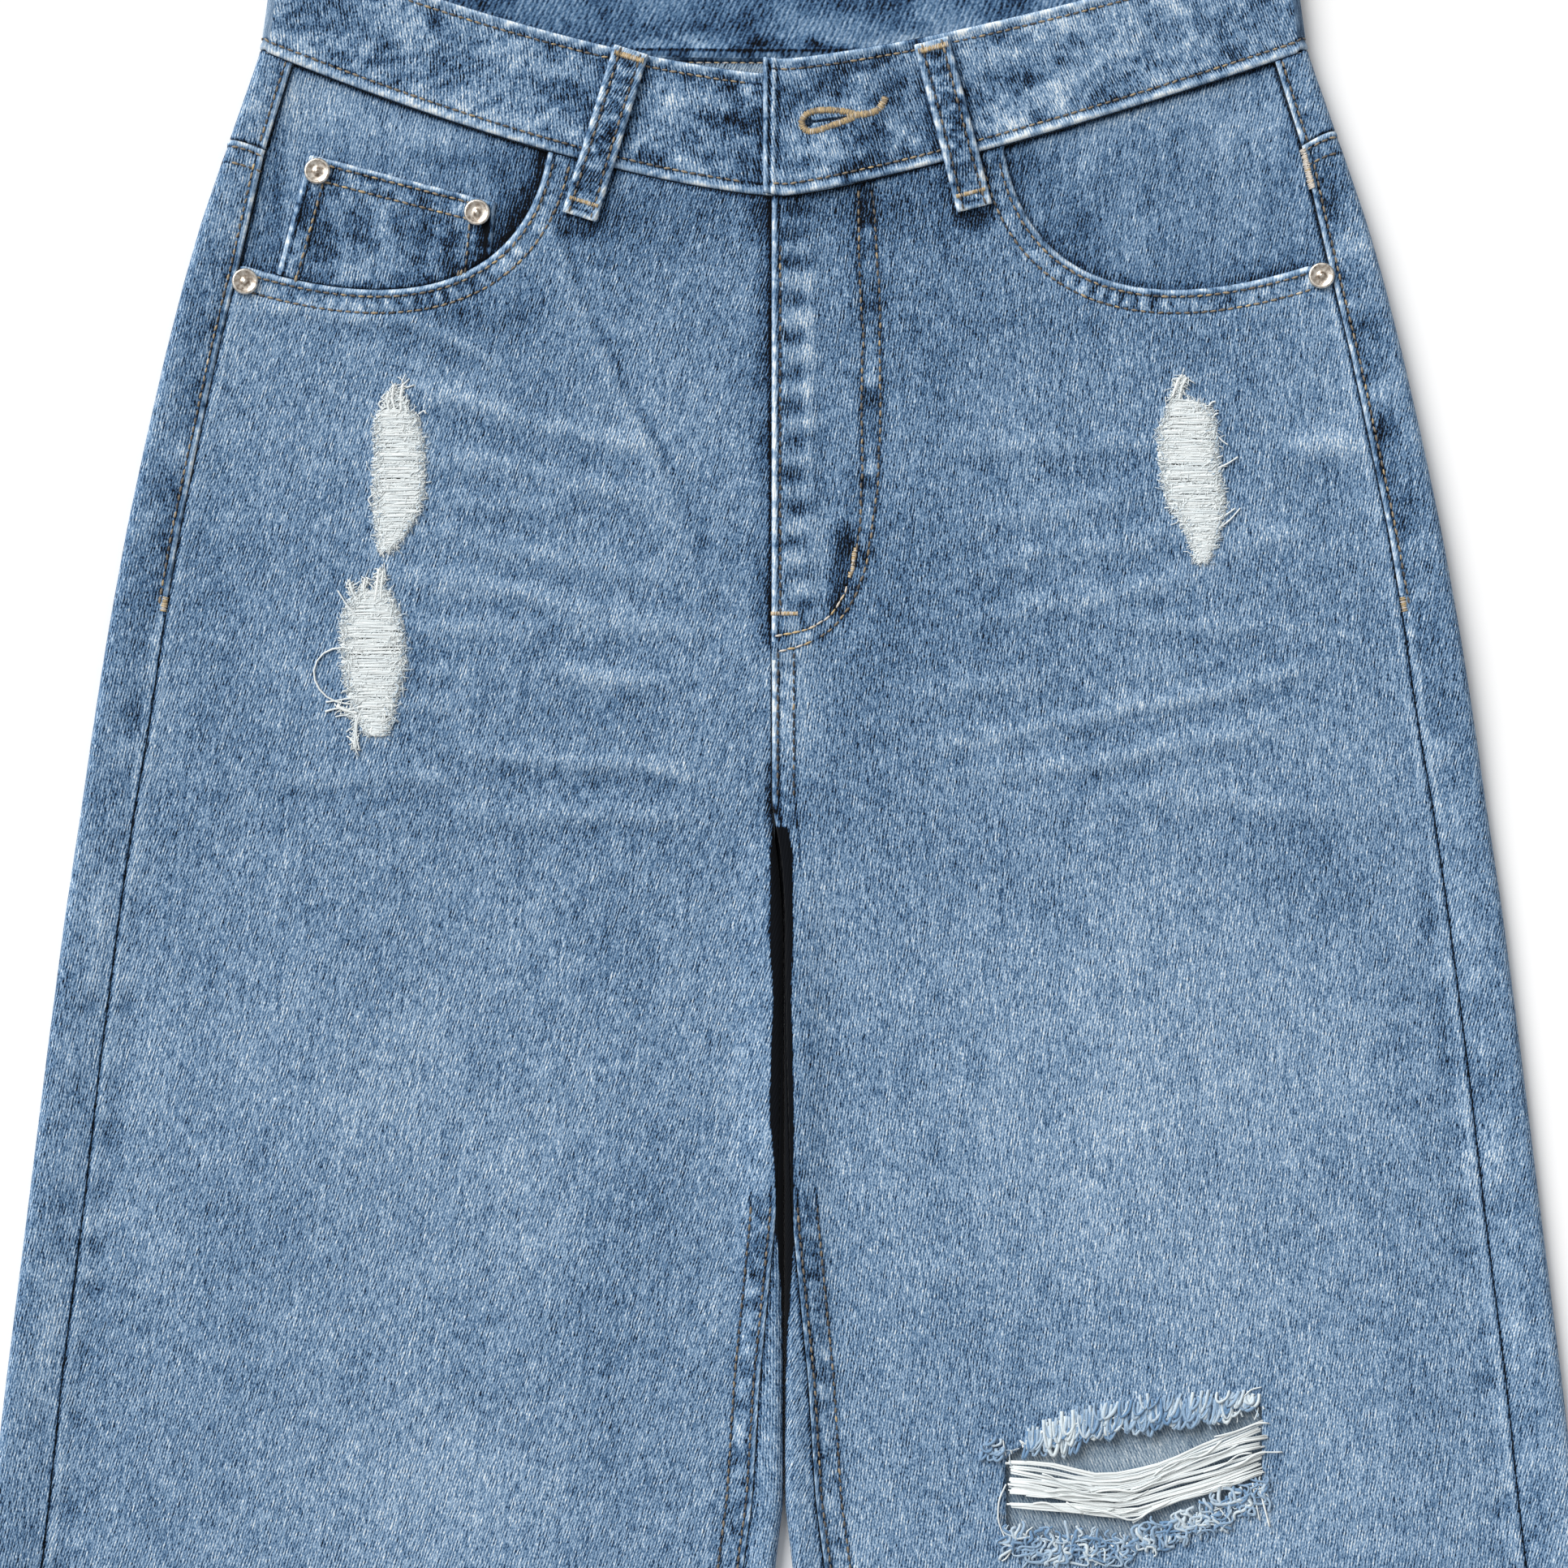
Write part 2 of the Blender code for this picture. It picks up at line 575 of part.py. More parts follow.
def mouth_curve(side, margin=0.0):
    """The pocket mouth's edge from the waistband to the side seam, moved towards the front's middle."""
    points = []
    for step in range(MOUTH_POINTS + 1):
        t = step / MOUTH_POINTS
        weights = ((1 - t) ** 3, 3 * t * (1 - t) ** 2, 3 * t * t * (1 - t), t ** 3)
        points.append(sum((p * w for p, w in zip(MOUTH, weights)), Vector((0, 0))))
    moved = []
    for before, here, after in zip(points[:1] + points[:-1], points, points[1:] + points[-1:]):
        along = (after - before).normalized()
        moved.append(here + Vector((along.y, -along.x)) * margin)
    shift = MOUTH_SHIFT * SIDES[side]
    return [Vector(((p.x + shift) * SIDES[side], p.y)) for p in moved]


def mouth_outline(side, margin=0.0):
    """The pocket mouth closed well outside the panel."""
    curve = mouth_curve(side, margin)
    beyond = SIDES[side] * SECTIONS[0].half
    return curve + [Vector((beyond, curve[-1].y)), Vector((beyond, TOP)), Vector((curve[0].x, TOP))]


def rip_outline(rip):
    """A pointed oval from its top to its foot."""
    sides = {1: [], -1: []}
    for step in range(1, RIP_STEPS):
        share = step / RIP_STEPS
        swell = math.sin(math.pi * share)
        middle = rip.top.lerp(rip.foot, share) + Vector((rip.belly * swell, 0))
        for hand, points in sides.items():
            points.append(middle + Vector((hand * rip.width / 2 * swell ** RIP_POINTEDNESS, 0)))
    return [rip.top] + sides[1] + [rip.foot] + sides[-1][::-1]


def knee_outline(top, foot):
    upper = [Vector((station.x, getattr(station, top))) for station in KNEE_HOLE]
    lower = [Vector((station.x, getattr(station, foot))) for station in KNEE_HOLE]
    return upper + lower[::-1]


def build_fronts(denim, threads):
    for side in SIDES:
        name = f"front_{side}"
        outer, inner = front_rows(side)
        front = cloth_wall(name, outer, inner, denim)
        mouth = cutter(f"cut_mouth_{side}", mouth_outline(side))
        boolean(front, "DIFFERENCE", mouth)
        for rip in RIPS[name]:
            boolean(front, "DIFFERENCE", cutter(f"cut_{rip.threads}", rip_outline(rip)))
            patch = cloth_wall(rip.threads, outer, inner, threads)
            boolean(patch, "INTERSECT", cutter(f"keep_{rip.threads}", inset(rip_outline(rip), SEAM_GAP)))
        if side == "left":
            boolean(front, "DIFFERENCE", cutter("cut_knee", knee_outline("hole_top", "hole_foot")))
            patch = cloth_wall("torn_threads_knee", outer, inner, threads)
            kept = inset(knee_outline("threads_top", "threads_foot"), SEAM_GAP)
            boolean(patch, "INTERSECT", cutter("keep_knee", kept))


def build_pockets(denim, facing_denim):
    for side in SIDES:
        outer, inner = front_rows(side)
        first_row = FRONT_LEVELS.index(FACING_FIRST_LEVEL)
        part = np.s_[first_row:, FACING_FIRST_COLUMN:]
        drop = np.array((0, 0, FACING_DROP))
        name = f"pocket_facing_{side}"
        facing = cloth_wall(name, outer[part] - drop, inner[part] - drop, facing_denim)
        boolean(facing, "INTERSECT", cutter(f"keep_{name}", mouth_outline(side, FACING_MARGIN)))
        if side == "right":
            coin = cloth_wall("coin_pocket", outer[part], inner[part], denim)
            boolean(coin, "INTERSECT", cutter("keep_coin", COIN_POCKET))
            boolean(coin, "INTERSECT", cutter("keep_coin_mouth", mouth_outline(side, -SEAM_GAP)))


def build_backs(denim):
    for side in SIDES:
        cloth_wall(f"back_{side}", *back_rows(side), denim)
        cloth_wall(f"yoke_{side}", *yoke_rows(side), denim)


def build_waistband(denim):
    columns = band_columns()
    outer = np.array([[band_point(column, share) for column in columns] for share in BAND_ROWS])
    inner = outer.copy()
    for row, line in enumerate(outer):
        # Mirrored, the line runs from -X to +X across the front, so that in is down there
        mirrored = line[:, [0, 2]] * (-1, 1)
        before = 2 * mirrored[:1] - mirrored[1:2]
        after = 2 * mirrored[-1:] - mirrored[-2:-1]
        mirrored = offset_inward(np.vstack([before, mirrored, after]), DOUBLE_CLOTH)
        inner[row][:, [0, 2]] = mirrored * (-1, 1)
    band = cloth_wall("waistband", outer, inner, denim)
    along = SLOT_END - EYE
    start = math.atan2(along.y, along.x)
    spread = math.asin(SLOT_WIDTH / 2 / EYE_RADIUS)
    outline = []
    for step in range(EYE_SIDES + 1):
        angle = start + spread + (2 * math.pi - 2 * spread) * step / EYE_SIDES
        outline.append(EYE + EYE_RADIUS * Vector((math.cos(angle), math.sin(angle))))
    beside = Vector((-along.y, along.x)).normalized() * SLOT_WIDTH / 2
    outline += [SLOT_END - beside, SLOT_END + beside]
    tab_underside = LEFT_BAND[-1].height - DOUBLE_CLOTH
    boolean(band, "DIFFERENCE", cutter("cut_buttonhole", outline, tab_underside - SEAM_GAP / 2))


def build_front_loops(denim):
    for loop in FRONT_LOOPS:
        side = "right" if loop.top.x < 0 else "left"
        half_width = (loop.foot - loop.top).orthogonal().normalized() * LOOP_WIDTH / 2
        seam_y = band_seam(side, (loop.top.x + loop.foot.x) / 2)
        seam_share = (loop.top.y - seam_y) / (loop.top.y - loop.foot.y)
        outer = []
        for share in (0.0, seam_share / 2, seam_share, mix(seam_share, 1.0, LOOP_SETTLE), 1.0):
            bow = LOOP_BOW if 0.0 < share < seam_share else 0.0
            row = []
            for hand in (-1, 0, 1):
                place = loop.top.lerp(loop.foot, share) + hand * half_width
                level = band_height(place.x)
                if share > seam_share:
                    above_front = level - at("front", place.y)
                    level = upper_face(side, abs(place.x), place.y) + above_front * (1 - share)
                row.append((place.x, place.y, level + SEAM_GAP + bow + PATCH))
            outer.append(row)
        outer = np.array(outer)
        cloth_wall(loop.name, outer, outer - (0, 0, PATCH), denim)


def rectangle(x_range, y_range):
    return [(x, y) for x, y in zip((*x_range, *x_range[::-1]), np.repeat(y_range, 2))]


def build_back_trim(denim):
    for name, x in BACK_LOOPS.items():
        outline = rectangle((x - LOOP_WIDTH / 2, x + LOOP_WIDTH / 2), (BACK_LOOP_FOOT, BACK_LOOP_TOP))
        plate(name, outline, 0.0, PATCH, denim)
    middle, top = BACK_POCKET
    for side, hand in SIDES.items():
        outline = [
            (hand * middle - BACK_POCKET_WIDTH / 2, top),
            (hand * middle + BACK_POCKET_WIDTH / 2, top),
            (hand * middle + BACK_POCKET_FOOT_WIDTH / 2, top - BACK_POCKET_SIDE),
            (hand * middle, top - BACK_POCKET_HEIGHT),
            (hand * middle - BACK_POCKET_FOOT_WIDTH / 2, top - BACK_POCKET_SIDE),
        ]
        plate(f"back_pocket_{side}", outline, 0.0, PATCH, denim)


def build_zip(brass):
    tape = plate("fly_zip", rectangle(ZIP_TAPE_X, ZIP_Y), *ZIP_TAPE_Z, brass)
    middle = sum(ZIP_TAPE_X) / 2
    chain_x = (middle - ZIP_CHAIN_WIDTH / 2, middle + ZIP_CHAIN_WIDTH / 2)
    inside = (ZIP_Y[0] + CLOTH, ZIP_Y[1] - CLOTH)
    chain = cutter("zip_chain", rectangle(chain_x, inside), ZIP_TAPE_Z[0] + SEAM_GAP, ZIP_CHAIN_TOP)
    boolean(tape, "UNION", chain)


def build_rivets(metal):
    for name, (x, y) in RIVETS.items():
        side = "right" if x < 0 else "left"
        bm = bmesh.new()
        profile = [bm.verts.new((share * RIVET_RADIUS, 0, z)) for share, z in RIVET_PROFILE]
        edges = [bm.edges.new(pair) for pair in zip(profile, profile[1:])]
        bmesh.ops.spin(bm, geom=profile + edges, axis=(0, 0, 1), cent=(0, 0, 0), dvec=(0, 0, 0),
                       angle=2 * math.pi, steps=RIVET_SIDES, use_merge=True, use_duplicate=False)
        bmesh.ops.remove_doubles(bm, verts=bm.verts[:], dist=WELD)
        rivet = add_object(name, bm, metal)
        rivet.data.shade_smooth()
        rivet.data.set_sharp_from_angle(angle=SMOOTH_UNDER)
        low = upper_face(side, abs(x - RIVET_RADIUS), y)
        high = upper_face(side, abs(x + RIVET_RADIUS), y)
        tilt = -math.atan2(high - low, 2 * RIVET_RADIUS)
        height = max(upper_face(side, abs(x), y), (low + high) / 2) + SEAM_GAP
        rivet.matrix_world = Matrix.Translation((x, y, height)) @ Matrix.Rotation(tilt, 4, "Y")


def main():
    for existing in list(bpy.data.objects):
        bpy.data.objects.remove(existing)
    denim = material("washed_blue_denim", (0.196, 0.280, 0.392), 0.85)
    facing_denim = material("pocket_facing_denim", (0.165, 0.258, 0.371), 0.85)
    threads = material("bleached_weft_threads", (0.665, 0.720, 0.745), 0.90)
    metal = material("antique_silver_rivet", (0.740, 0.700, 0.610), 0.35, 1.0)
    brass = material("zip_tape_and_chain", (0.110, 0.130, 0.180), 0.60)
    build_backs(denim)
    build_fronts(denim, threads)
    build_pockets(denim, facing_denim)
    build_waistband(denim)
    build_front_loops(denim)
    build_back_trim(denim)
    build_zip(brass)
    build_rivets(metal)


main()
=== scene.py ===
"""Looks of the wide-leg ripped jeans: an add-on run as a script, in metres, +Z up, waist towards +Y.

The garment lies on its back. A half of it is worked out in half coordinates, where `across` is the
distance from the middle line, and placed on its own side. Each piece of cloth is cut from a grid of
column and row values, which a surface function lays on the solid that the piece stands for.
"""

import itertools
import math
from collections import namedtuple

import bmesh
import bpy
import numpy as np
from mathutils import Matrix, Vector
from mathutils.bvhtree import BVHTree


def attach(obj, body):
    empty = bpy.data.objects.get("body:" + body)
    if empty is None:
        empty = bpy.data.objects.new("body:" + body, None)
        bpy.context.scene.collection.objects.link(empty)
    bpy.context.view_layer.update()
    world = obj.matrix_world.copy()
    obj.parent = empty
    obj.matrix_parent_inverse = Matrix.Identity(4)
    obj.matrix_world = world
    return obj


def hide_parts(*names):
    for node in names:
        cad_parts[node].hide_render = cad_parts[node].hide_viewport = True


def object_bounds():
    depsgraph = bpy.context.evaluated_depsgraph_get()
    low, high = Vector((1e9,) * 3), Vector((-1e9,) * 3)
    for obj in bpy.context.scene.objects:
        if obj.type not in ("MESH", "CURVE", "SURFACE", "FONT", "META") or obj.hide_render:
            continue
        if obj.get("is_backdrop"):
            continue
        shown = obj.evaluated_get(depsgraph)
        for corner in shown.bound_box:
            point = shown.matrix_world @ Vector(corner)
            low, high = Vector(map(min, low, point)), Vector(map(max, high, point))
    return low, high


bl_info = {
    "name": "Ripped Jeans",
    "version": (1, 0, 0),
    "blender": (4, 5, 0),
    "location": "3D View > Sidebar > Jeans",
    "description": "Dresses the packed jeans with washed denim, topstitching, torn threads and rivets",
    "category": "Object",
}

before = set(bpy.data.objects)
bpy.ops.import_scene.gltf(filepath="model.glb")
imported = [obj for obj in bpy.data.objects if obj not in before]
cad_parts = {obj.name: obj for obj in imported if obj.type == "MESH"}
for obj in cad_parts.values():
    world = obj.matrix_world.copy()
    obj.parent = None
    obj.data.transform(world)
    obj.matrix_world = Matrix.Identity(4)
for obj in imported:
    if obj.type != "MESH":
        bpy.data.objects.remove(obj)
CAD_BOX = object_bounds()

MM = 0.001
SIDES = {"right": -1, "left": 1}


def table(columns, *rows, defaults=()):
    """Rows with named columns, whose last ones may have defaults."""
    kind = namedtuple("Row", columns, defaults=defaults)
    return tuple(kind(*row) for row in rows)


# Marks on the cloth: broad patches of wash and of painted light and shade, and creases from one place to
# another
Fade = namedtuple("Fade", "x y width height tone")
Crease = namedtuple("Crease", "x y end_x end_y width tone")


def toned(kind, *rows):
    """Marks whose places and sizes are given in mm, each with its tone last."""
    return tuple(kind(*(value * MM for value in row[:-1]), row[-1]) for row in rows)


# How the cloth lies
CLOTH = 0.001
BAND_CLOTH = 0.002
PATCH_CLOTH = 0.0013
SEAM_GAP = 0.0003
FOLD_RADIUS = 0.003
SIDE_ROLL = 0.026
INNER_ROLL = 0.016
HALF_TURN = math.pi * FOLD_RADIUS

# Centre front and fly
CENTRE_FRONT = -0.0044
FLY_FOOT = 0.27
FLY_STEP_END = 0.26
FLY_LAP = 0.004
FLY_STEP = 0.0015

# Waistband and yoke seams
TOP = 0.5015
SIDE_SEAM_TOP = 0.4636
BACK_TOP_DIP = 0.0015
BACK_SEAM_DIP = 0.0036
WAIST_HALF = 0.1794
BAND_SEAM_CENTRE = 0.4135
BAND_SEAM_POWER = {"right": 1.45, "left": 1.2}
BAND_TOP_CENTRE = {"right": 0.4554, "left": 0.4605}
BAND_TOP_POWER = {"right": 1.47, "left": 1.3}
BAND_TOP_HALF = 0.175
BAND_UNDER_END = 0.024
BAND_TAB_END = -0.0072
YOKE_CENTRE = 0.395
YOKE_SIDE = 0.4295
YOKE_HALF = 0.19
YOKE_POWER = 0.9
YOKE_CLIMB = {"right": 0.0038, "left": 0.007}

# One row for each cross-section, hem to waist: the outline, the side seam and the inner fold from
# the middle line; the inseam along the surface from the foot of the inner fold; curl is 1 where the
# leg folds back inside; lift of the underside above the floor; the upper face in the panel's middle
SECTIONS = table(
    "y half side_seam inner inseam curl lift front",
    (-0.5015, 0.3289, 0.3045, 0.0394, 0.0205, 1, 0, 0.0056),
    (-0.4865, 0.3269, 0.3028, 0.0382, 0.0205, 1, 0, 0.0056),
    (-0.4835, 0.3265, 0.3024, 0.0379, 0.0205, 1, 0, 0.0048),
    (-0.44, 0.3211, 0.2974, 0.0342, 0.02, 1, 0, 0.0036),
    (-0.3, 0.304, 0.2817, 0.0228, 0.019, 1, 0, 0.0034),
    (-0.18, 0.2893, 0.2683, 0.013, 0.0182, 1, 0, 0.0034),
    (-0.056, 0.2742, 0.2545, 0.0029, 0.0174, 1, 0, 0.0034),
    (-0.033, 0.2715, 0.2518, 0.0001, 0.0171, 1, 0, 0.0034),
    (0.0086, 0.2667, 0.2475, 0.0001, 0.0145, 1, 0, 0.0035),
    (0.0642, 0.2597, 0.2404, 0.0001, 0.009, 1, 0, 0.0036),
    (0.1197, 0.2528, 0.234, 0.0001, 0.0065, 1, 0, 0.0038),
    (0.1664, 0.2467, 0.2279, 0.0001, 0.0047, 1, 0, 0.0042),
    (0.185, 0.2439, 0.2252, 0.0001, 0.0047, 0.7, 0, 0.0045),
    (0.205, 0.2408, 0.2222, 0.0004, 0.0047, 0, 0.0003, 0.005),
    (0.225, 0.2378, 0.2185, 0.0004, 0.0047, 0, 0.0012, 0.0056),
    (0.245, 0.2347, 0.2153, 0.0004, 0.0047, 0, 0.0018, 0.006),
    (0.26, 0.2323, 0.2132),
    (0.27, 0.2306, 0.2117),
    (0.3, 0.2251, 0.2065),
    (0.33, 0.2187, 0.2002),
    (0.36, 0.2118, 0.1937),
    (0.385, 0.2054, 0.1876),
    (0.405, 0.1996, 0.1829),
    (0.4295, 0.1912, 0.1774),
    (0.4636, 0.1792, 0.1665),
    (0.4808, 0.1769, 0.1645),
    (0.5015, 0.1742, 0.162),
    defaults=(0.0004, 0.0047, 0.0, 0.0018, 0.0062),
)
HEM = SECTIONS[0].y
HEM_DEPTH = 0.015

# How far from the middle line the painted shade of the gap reaches on each leg: heights, then reaches
GAP_TOP = 0.198
GAP_HEIGHTS = (-0.03, 0.004, 0.024, 0.037, 0.05, 0.083, 0.1, 0.189, GAP_TOP)
GAP_SHADE_REACH = {
    "right": (0.0002, 0.0003, 0.0004, 0.0008, 0.0017, 0.0037, 0.0042, 0.0042, 0.0026),
    "left": (0.0002, 0.0003, 0.0009, 0.002, 0.0029, 0.0035, 0.0028, 0.0026, 0.0008),
}

# The waistband's upper face across the front, from each crest to its end
RIGHT_BAND = table(
    "x height",
    (-0.1755, 0.0078), (-0.16, 0.0076), (-0.135, 0.0073), (-0.1, 0.0071), (-0.06, 0.007), (-0.025, 0.0069),
    (-0.01, 0.0065), (0.024, 0.0065),
)
LEFT_BAND = table(
    "x height",
    (-0.0072, 0.009), (0.008, 0.009), (0.027, 0.009), (0.044, 0.0074), (0.07, 0.0072), (0.1, 0.0072),
    (0.135, 0.0073), (0.16, 0.0076), (0.1755, 0.0078),
)

# Front pockets: the mouth is one curve from the waistband to the side seam, in half coordinates
MOUTH = ((0.078, 0.43), (0.085, 0.386), (0.122, 0.371), (0.181, 0.3896))
MOUTH_SHIFT = -0.0026
MOUTH_FOOT = 0.066  # how far along the mouth its lowest stretch is
EDGE_ROWS = (0.0025, 0.0081)  # the two rows of stitches beside a turned edge
FACING_MARGIN = 0.012
FACING_DROP = 0.0015
COIN_TOP = ((-0.1625, 0.4283), (-0.0986, 0.4117))
COIN_FOOT = ((-0.177, 0.376), (-0.1014, 0.38))

Loop = namedtuple("Loop", "name top foot")
FRONT_LOOPS = (
    Loop("belt_loop_front_right", (-0.0522, 0.4635), (-0.07, 0.4065)),
    Loop("belt_loop_front_left", (0.0503, 0.4665), (0.0652, 0.4095)),
)
LOOP_WIDTH = 0.0125
LOOP_RISE = 0.0018  # a loop's upper face above the cloth under it
LOOP_BOW = 0.0004
BACK_LOOPS = {"belt_loop_back_right": -0.095, "belt_loop_back_centre": 0.0, "belt_loop_back_left": 0.095}
BACK_LOOP_SPAN = (0.445, 0.499)
BACK_POCKET = (0.1, 0.392)
BACK_POCKET_HALF = (0.069, 0.063)
BACK_POCKET_DROP = (0.13, 0.144)

RIVETS = {
    "rivet_coin_outer": (-0.1597, 0.4222),
    "rivet_coin_inner": (-0.105, 0.4081),
    "rivet_pocket_right": (-0.1844, 0.3844),
    "rivet_pocket_left": (0.1839, 0.3864),
}

KNEE_HOLE = table(
    "x hole_top threads_top threads_foot hole_foot",
    (0.0761, -0.0178, -0.0183, -0.0364, -0.0456),
    (0.09, -0.0103, -0.02, -0.0367, -0.0475),
    (0.1053, -0.0058, -0.0247, -0.0381, -0.0478),
    (0.1192, -0.0044, -0.0228, -0.0408, -0.0483),
    (0.1344, -0.0039, -0.0172, -0.0336, -0.0419),
    (0.1497, -0.0033, -0.0097, -0.0308, -0.0358),
    (0.1639, -0.0011, -0.0058, -0.0256, -0.0303),
)
Rip = namedtuple("Rip", "side node edges")
RIPS = (
    Rip("right", "torn_threads_thigh_upper", table(
        "y left right",
        (0.3405, -0.1375, -0.1288), (0.3372, -0.1392, -0.1258), (0.3286, -0.1392, -0.124),
        (0.3206, -0.1396, -0.1238), (0.3127, -0.1399, -0.124), (0.3061, -0.1396, -0.1253),
        (0.3021, -0.139, -0.1277), (0.2968, -0.1382, -0.131), (0.292, -0.1378, -0.1354),
    )),
    Rip("right", "torn_threads_thigh_lower", table(
        "y left right",
        (0.279, -0.1436, -0.1368), (0.2757, -0.148, -0.1344), (0.2691, -0.1507, -0.1314),
        (0.2598, -0.1508, -0.1304), (0.2518, -0.1502, -0.1306), (0.2452, -0.1489, -0.1323),
        (0.2386, -0.1469, -0.1341), (0.2333, -0.1443, -0.135), (0.229, -0.142, -0.137),
    )),
    Rip("left", "torn_threads_thigh_left", table(
        "y left right",
        (0.3441, 0.1329, 0.139), (0.3405, 0.1316, 0.146), (0.3325, 0.1287, 0.1476),
        (0.3214, 0.1295, 0.1481), (0.3103, 0.1315, 0.1502), (0.3057, 0.1338, 0.1498),
        (0.301, 0.1371, 0.1489), (0.295, 0.1395, 0.147), (0.288, 0.1424, 0.1443),
    )),
)
RIP_TUCK = 0.0008  # the hole in the cloth is this much smaller, so that yarns cover its rim

SOFT_FOLDS = table(
    "x y turn length width height",
    (-0.07, 0.35, 115, 0.11, 0.022, 0.0005),
    (-0.16, 0.11, 84, 0.26, 0.07, 0.001),
    (-0.085, -0.12, 97, 0.24, 0.06, 0.0009),
    (-0.21, -0.29, 88, 0.26, 0.07, 0.0011),
    (0.12, 0.12, 98, 0.22, 0.065, 0.0009),
    (0.205, -0.13, 82, 0.26, 0.06, 0.001),
    (0.11, -0.3, 92, 0.24, 0.07, 0.0011),
)

# Whiskers and drag lines of the fronts: a worn crest is pale, a pulled-in crease is dark
CREASES = toned(
    Crease,
    (-176, 376, -129, 371, 2, 0.1), (-129, 371, -102, 359, 2, 0.1), (-128, 348, -91, 339, 3.3, 0.08),
    (-91, 339, -46, 328, 3.3, 0.09), (-121, 325, -74, 317, 3.3, 0.05), (-74, 317, -41, 309, 3.3, 0.06),
    (-124, 309, -77, 308, 3.3, 0.04), (-121, 300, -38, 282, 3.3, 0.05), (-131, 286, -46, 267, 3.3, 0.08),
    (-125, 267, -32, 266, 3.3, 0.05), (-79, 253, -41, 247, 3.3, 0.09), (-129, 250, -102, 250, 2.8, 0.04),
    (-129, 240, -110, 239, 2.8, 0.06), (-104, 223, -32, 217, 2.8, 0.09), (-177, 216, -113, 216, 3.3, 0.06),
    (-109, 204, -32, 201, 2.8, 0.07), (-161, 292, -146, 289, 3.3, 0.04), (-79, 408, -63, 367, 1.7, -0.1),
    (-63, 367, -38, 318, 1.7, -0.11), (-38, 318, -25, 289, 3.9, -0.05), (-88, 400, -102, 370, 3.9, 0.06),
    (63, 328, 129, 329, 3.3, 0.05), (68, 303, 127, 314, 3.3, 0.05), (66, 289, 134, 299, 3.3, 0.05),
    (63, 268, 146, 285, 3.3, 0.06), (56, 227.5, 107.3, 236.6, 2.8, 0.07),
    (107.3, 236.6, 179, 251.5, 2.8, 0.08), (58, 216, 103.8, 220.2, 2.8, 0.06),
    (103.8, 220.2, 131.7, 226.7, 2.8, 0.07), (131.7, 226.7, 170, 232.5, 2.8, 0.06),
    (50, 243.4, 97, 250.8, 3.3, 0.05), (116, 211, 191, 203, 3.3, 0.06), (146, 292, 176, 297, 3.3, 0.06),
    (174, 329, 198, 329, 4.4, 0.08), (107, 269.6, 177, 266, 2.8, 0.05),
)
CREASE_RELIEF = 4.0  # mm of relief for each whole unit of tone

# Broad washed and darker patches of the fronts, and painted shade below the waistband, under the pocket
# mouths and round the foot of the fly
FRONT_WASH_AND_SHADE = toned(
    Fade,
    (-120, 120, 150, 200, 0.04), (-140, 345, 120, 90, 0.03), (-175, 375, 50, 30, 0.05),
    (-85, 395, 40, 40, 0.05), (-25, 90, 40, 240, 0.05), (-20, 200, 50, 70, 0.03), (-45, 170, 80, 90, -0.03),
    (-50, 370, 60, 60, -0.03), (-150, -20, 220, 160, 0.02), (150, 120, 150, 220, 0.08),
    (30, 90, 50, 260, 0.04), (130, 20, 180, 100, 0.03), (160, 345, 100, 90, 0.02), (90, 365, 60, 60, 0.03),
    (45, 330, 60, 200, -0.05), (40, 240, 60, 100, -0.05), (15, 330, 30, 160, -0.05),
    (200, 300, 50, 100, 0.03), (145, 362, 40, 16, -0.05), (150, 318, 30, 20, -0.05),
    (40, 409, 60, 22, -0.22), (-55, 404, 60, 30, -0.16), (-11.5, 413, 30, 20, -0.2),
    (69.7, 428.4, 30, 12, -0.12), (-108, 374, 50, 20, -0.2), (105, 371, 70, 30, -0.12),
    (-120, 80, 90, 100, 0.06), (-120, -40, 120, 90, 0.08), (-218, 100, 30, 120, 0.06),
    (-223, 245, 30, 70, 0.1), (-52, 60, 40, 180, -0.06), (-30, 188, 24, 30, -0.12),
    (-70, 110, 30, 80, 0.05), (110, 105, 120, 120, 0.06), (130, -45, 100, 50, 0.08),
    (230, -20, 160, 120, 0.04), (26, -54, 30, 50, 0.1), (30, 235, 50, 50, 0.04),
    (172.9, 383.3, 20, 6, 0.12), (175, 190, 50, 50, -0.07), (3, 243, 16, 60, 0.14), (6, 350, 14, 120, 0.1),
    (5, 292, 14, 20, 0.2), (0, 203, 20, 20, -0.2), (14.1, 419, 20, 12, -0.1), (-45, 350, 16, 50, 0.09),
    (1.8, 267.2, 7, 5, 0.24), (6.5, 267.2, 2.2, 6, -0.3), (46.6, 419.5, 16, 7, -0.18),
    (6.4, 274.2, 9, 5, -0.34), (1.8, 268.6, 7, 4, -0.26), (6.2, 270, 3, 6, -0.26),
)

# Fly: the two rows of the curved stitching
FLY_ROWS = (
    ((0.0256, 0.4158), (0.0256, 0.3903), (0.0272, 0.3669), (0.0264, 0.3433), (0.0267, 0.32),
     (0.0264, 0.3025), (0.0236, 0.2872), (0.0219, 0.2792), (0.0167, 0.2697), (0.0092, 0.265),
     (-0.0031, 0.2631)),
    ((0.03, 0.4158), (0.0319, 0.3961), (0.0328, 0.3728), (0.0331, 0.3433), (0.0322, 0.3142),
     (0.0294, 0.2944), (0.0278, 0.285), (0.0231, 0.2733), (0.015, 0.2633), (0.0056, 0.2592),
     (-0.0019, 0.2578)),
)
FLY_FOOT_TOPS = (0.283, 0.262)  # below these heights a row's stitches are pale and run together


# ---- small mathematics


def ease(t):
    t = np.clip(t, 0.0, 1.0)
    return t * t * (3 - 2 * t)


def mix(a, b, t):
    return a + (b - a) * t


def points_of(*columns):
    """Points from their coordinates, or from points and one more coordinate."""
    return np.column_stack(columns)


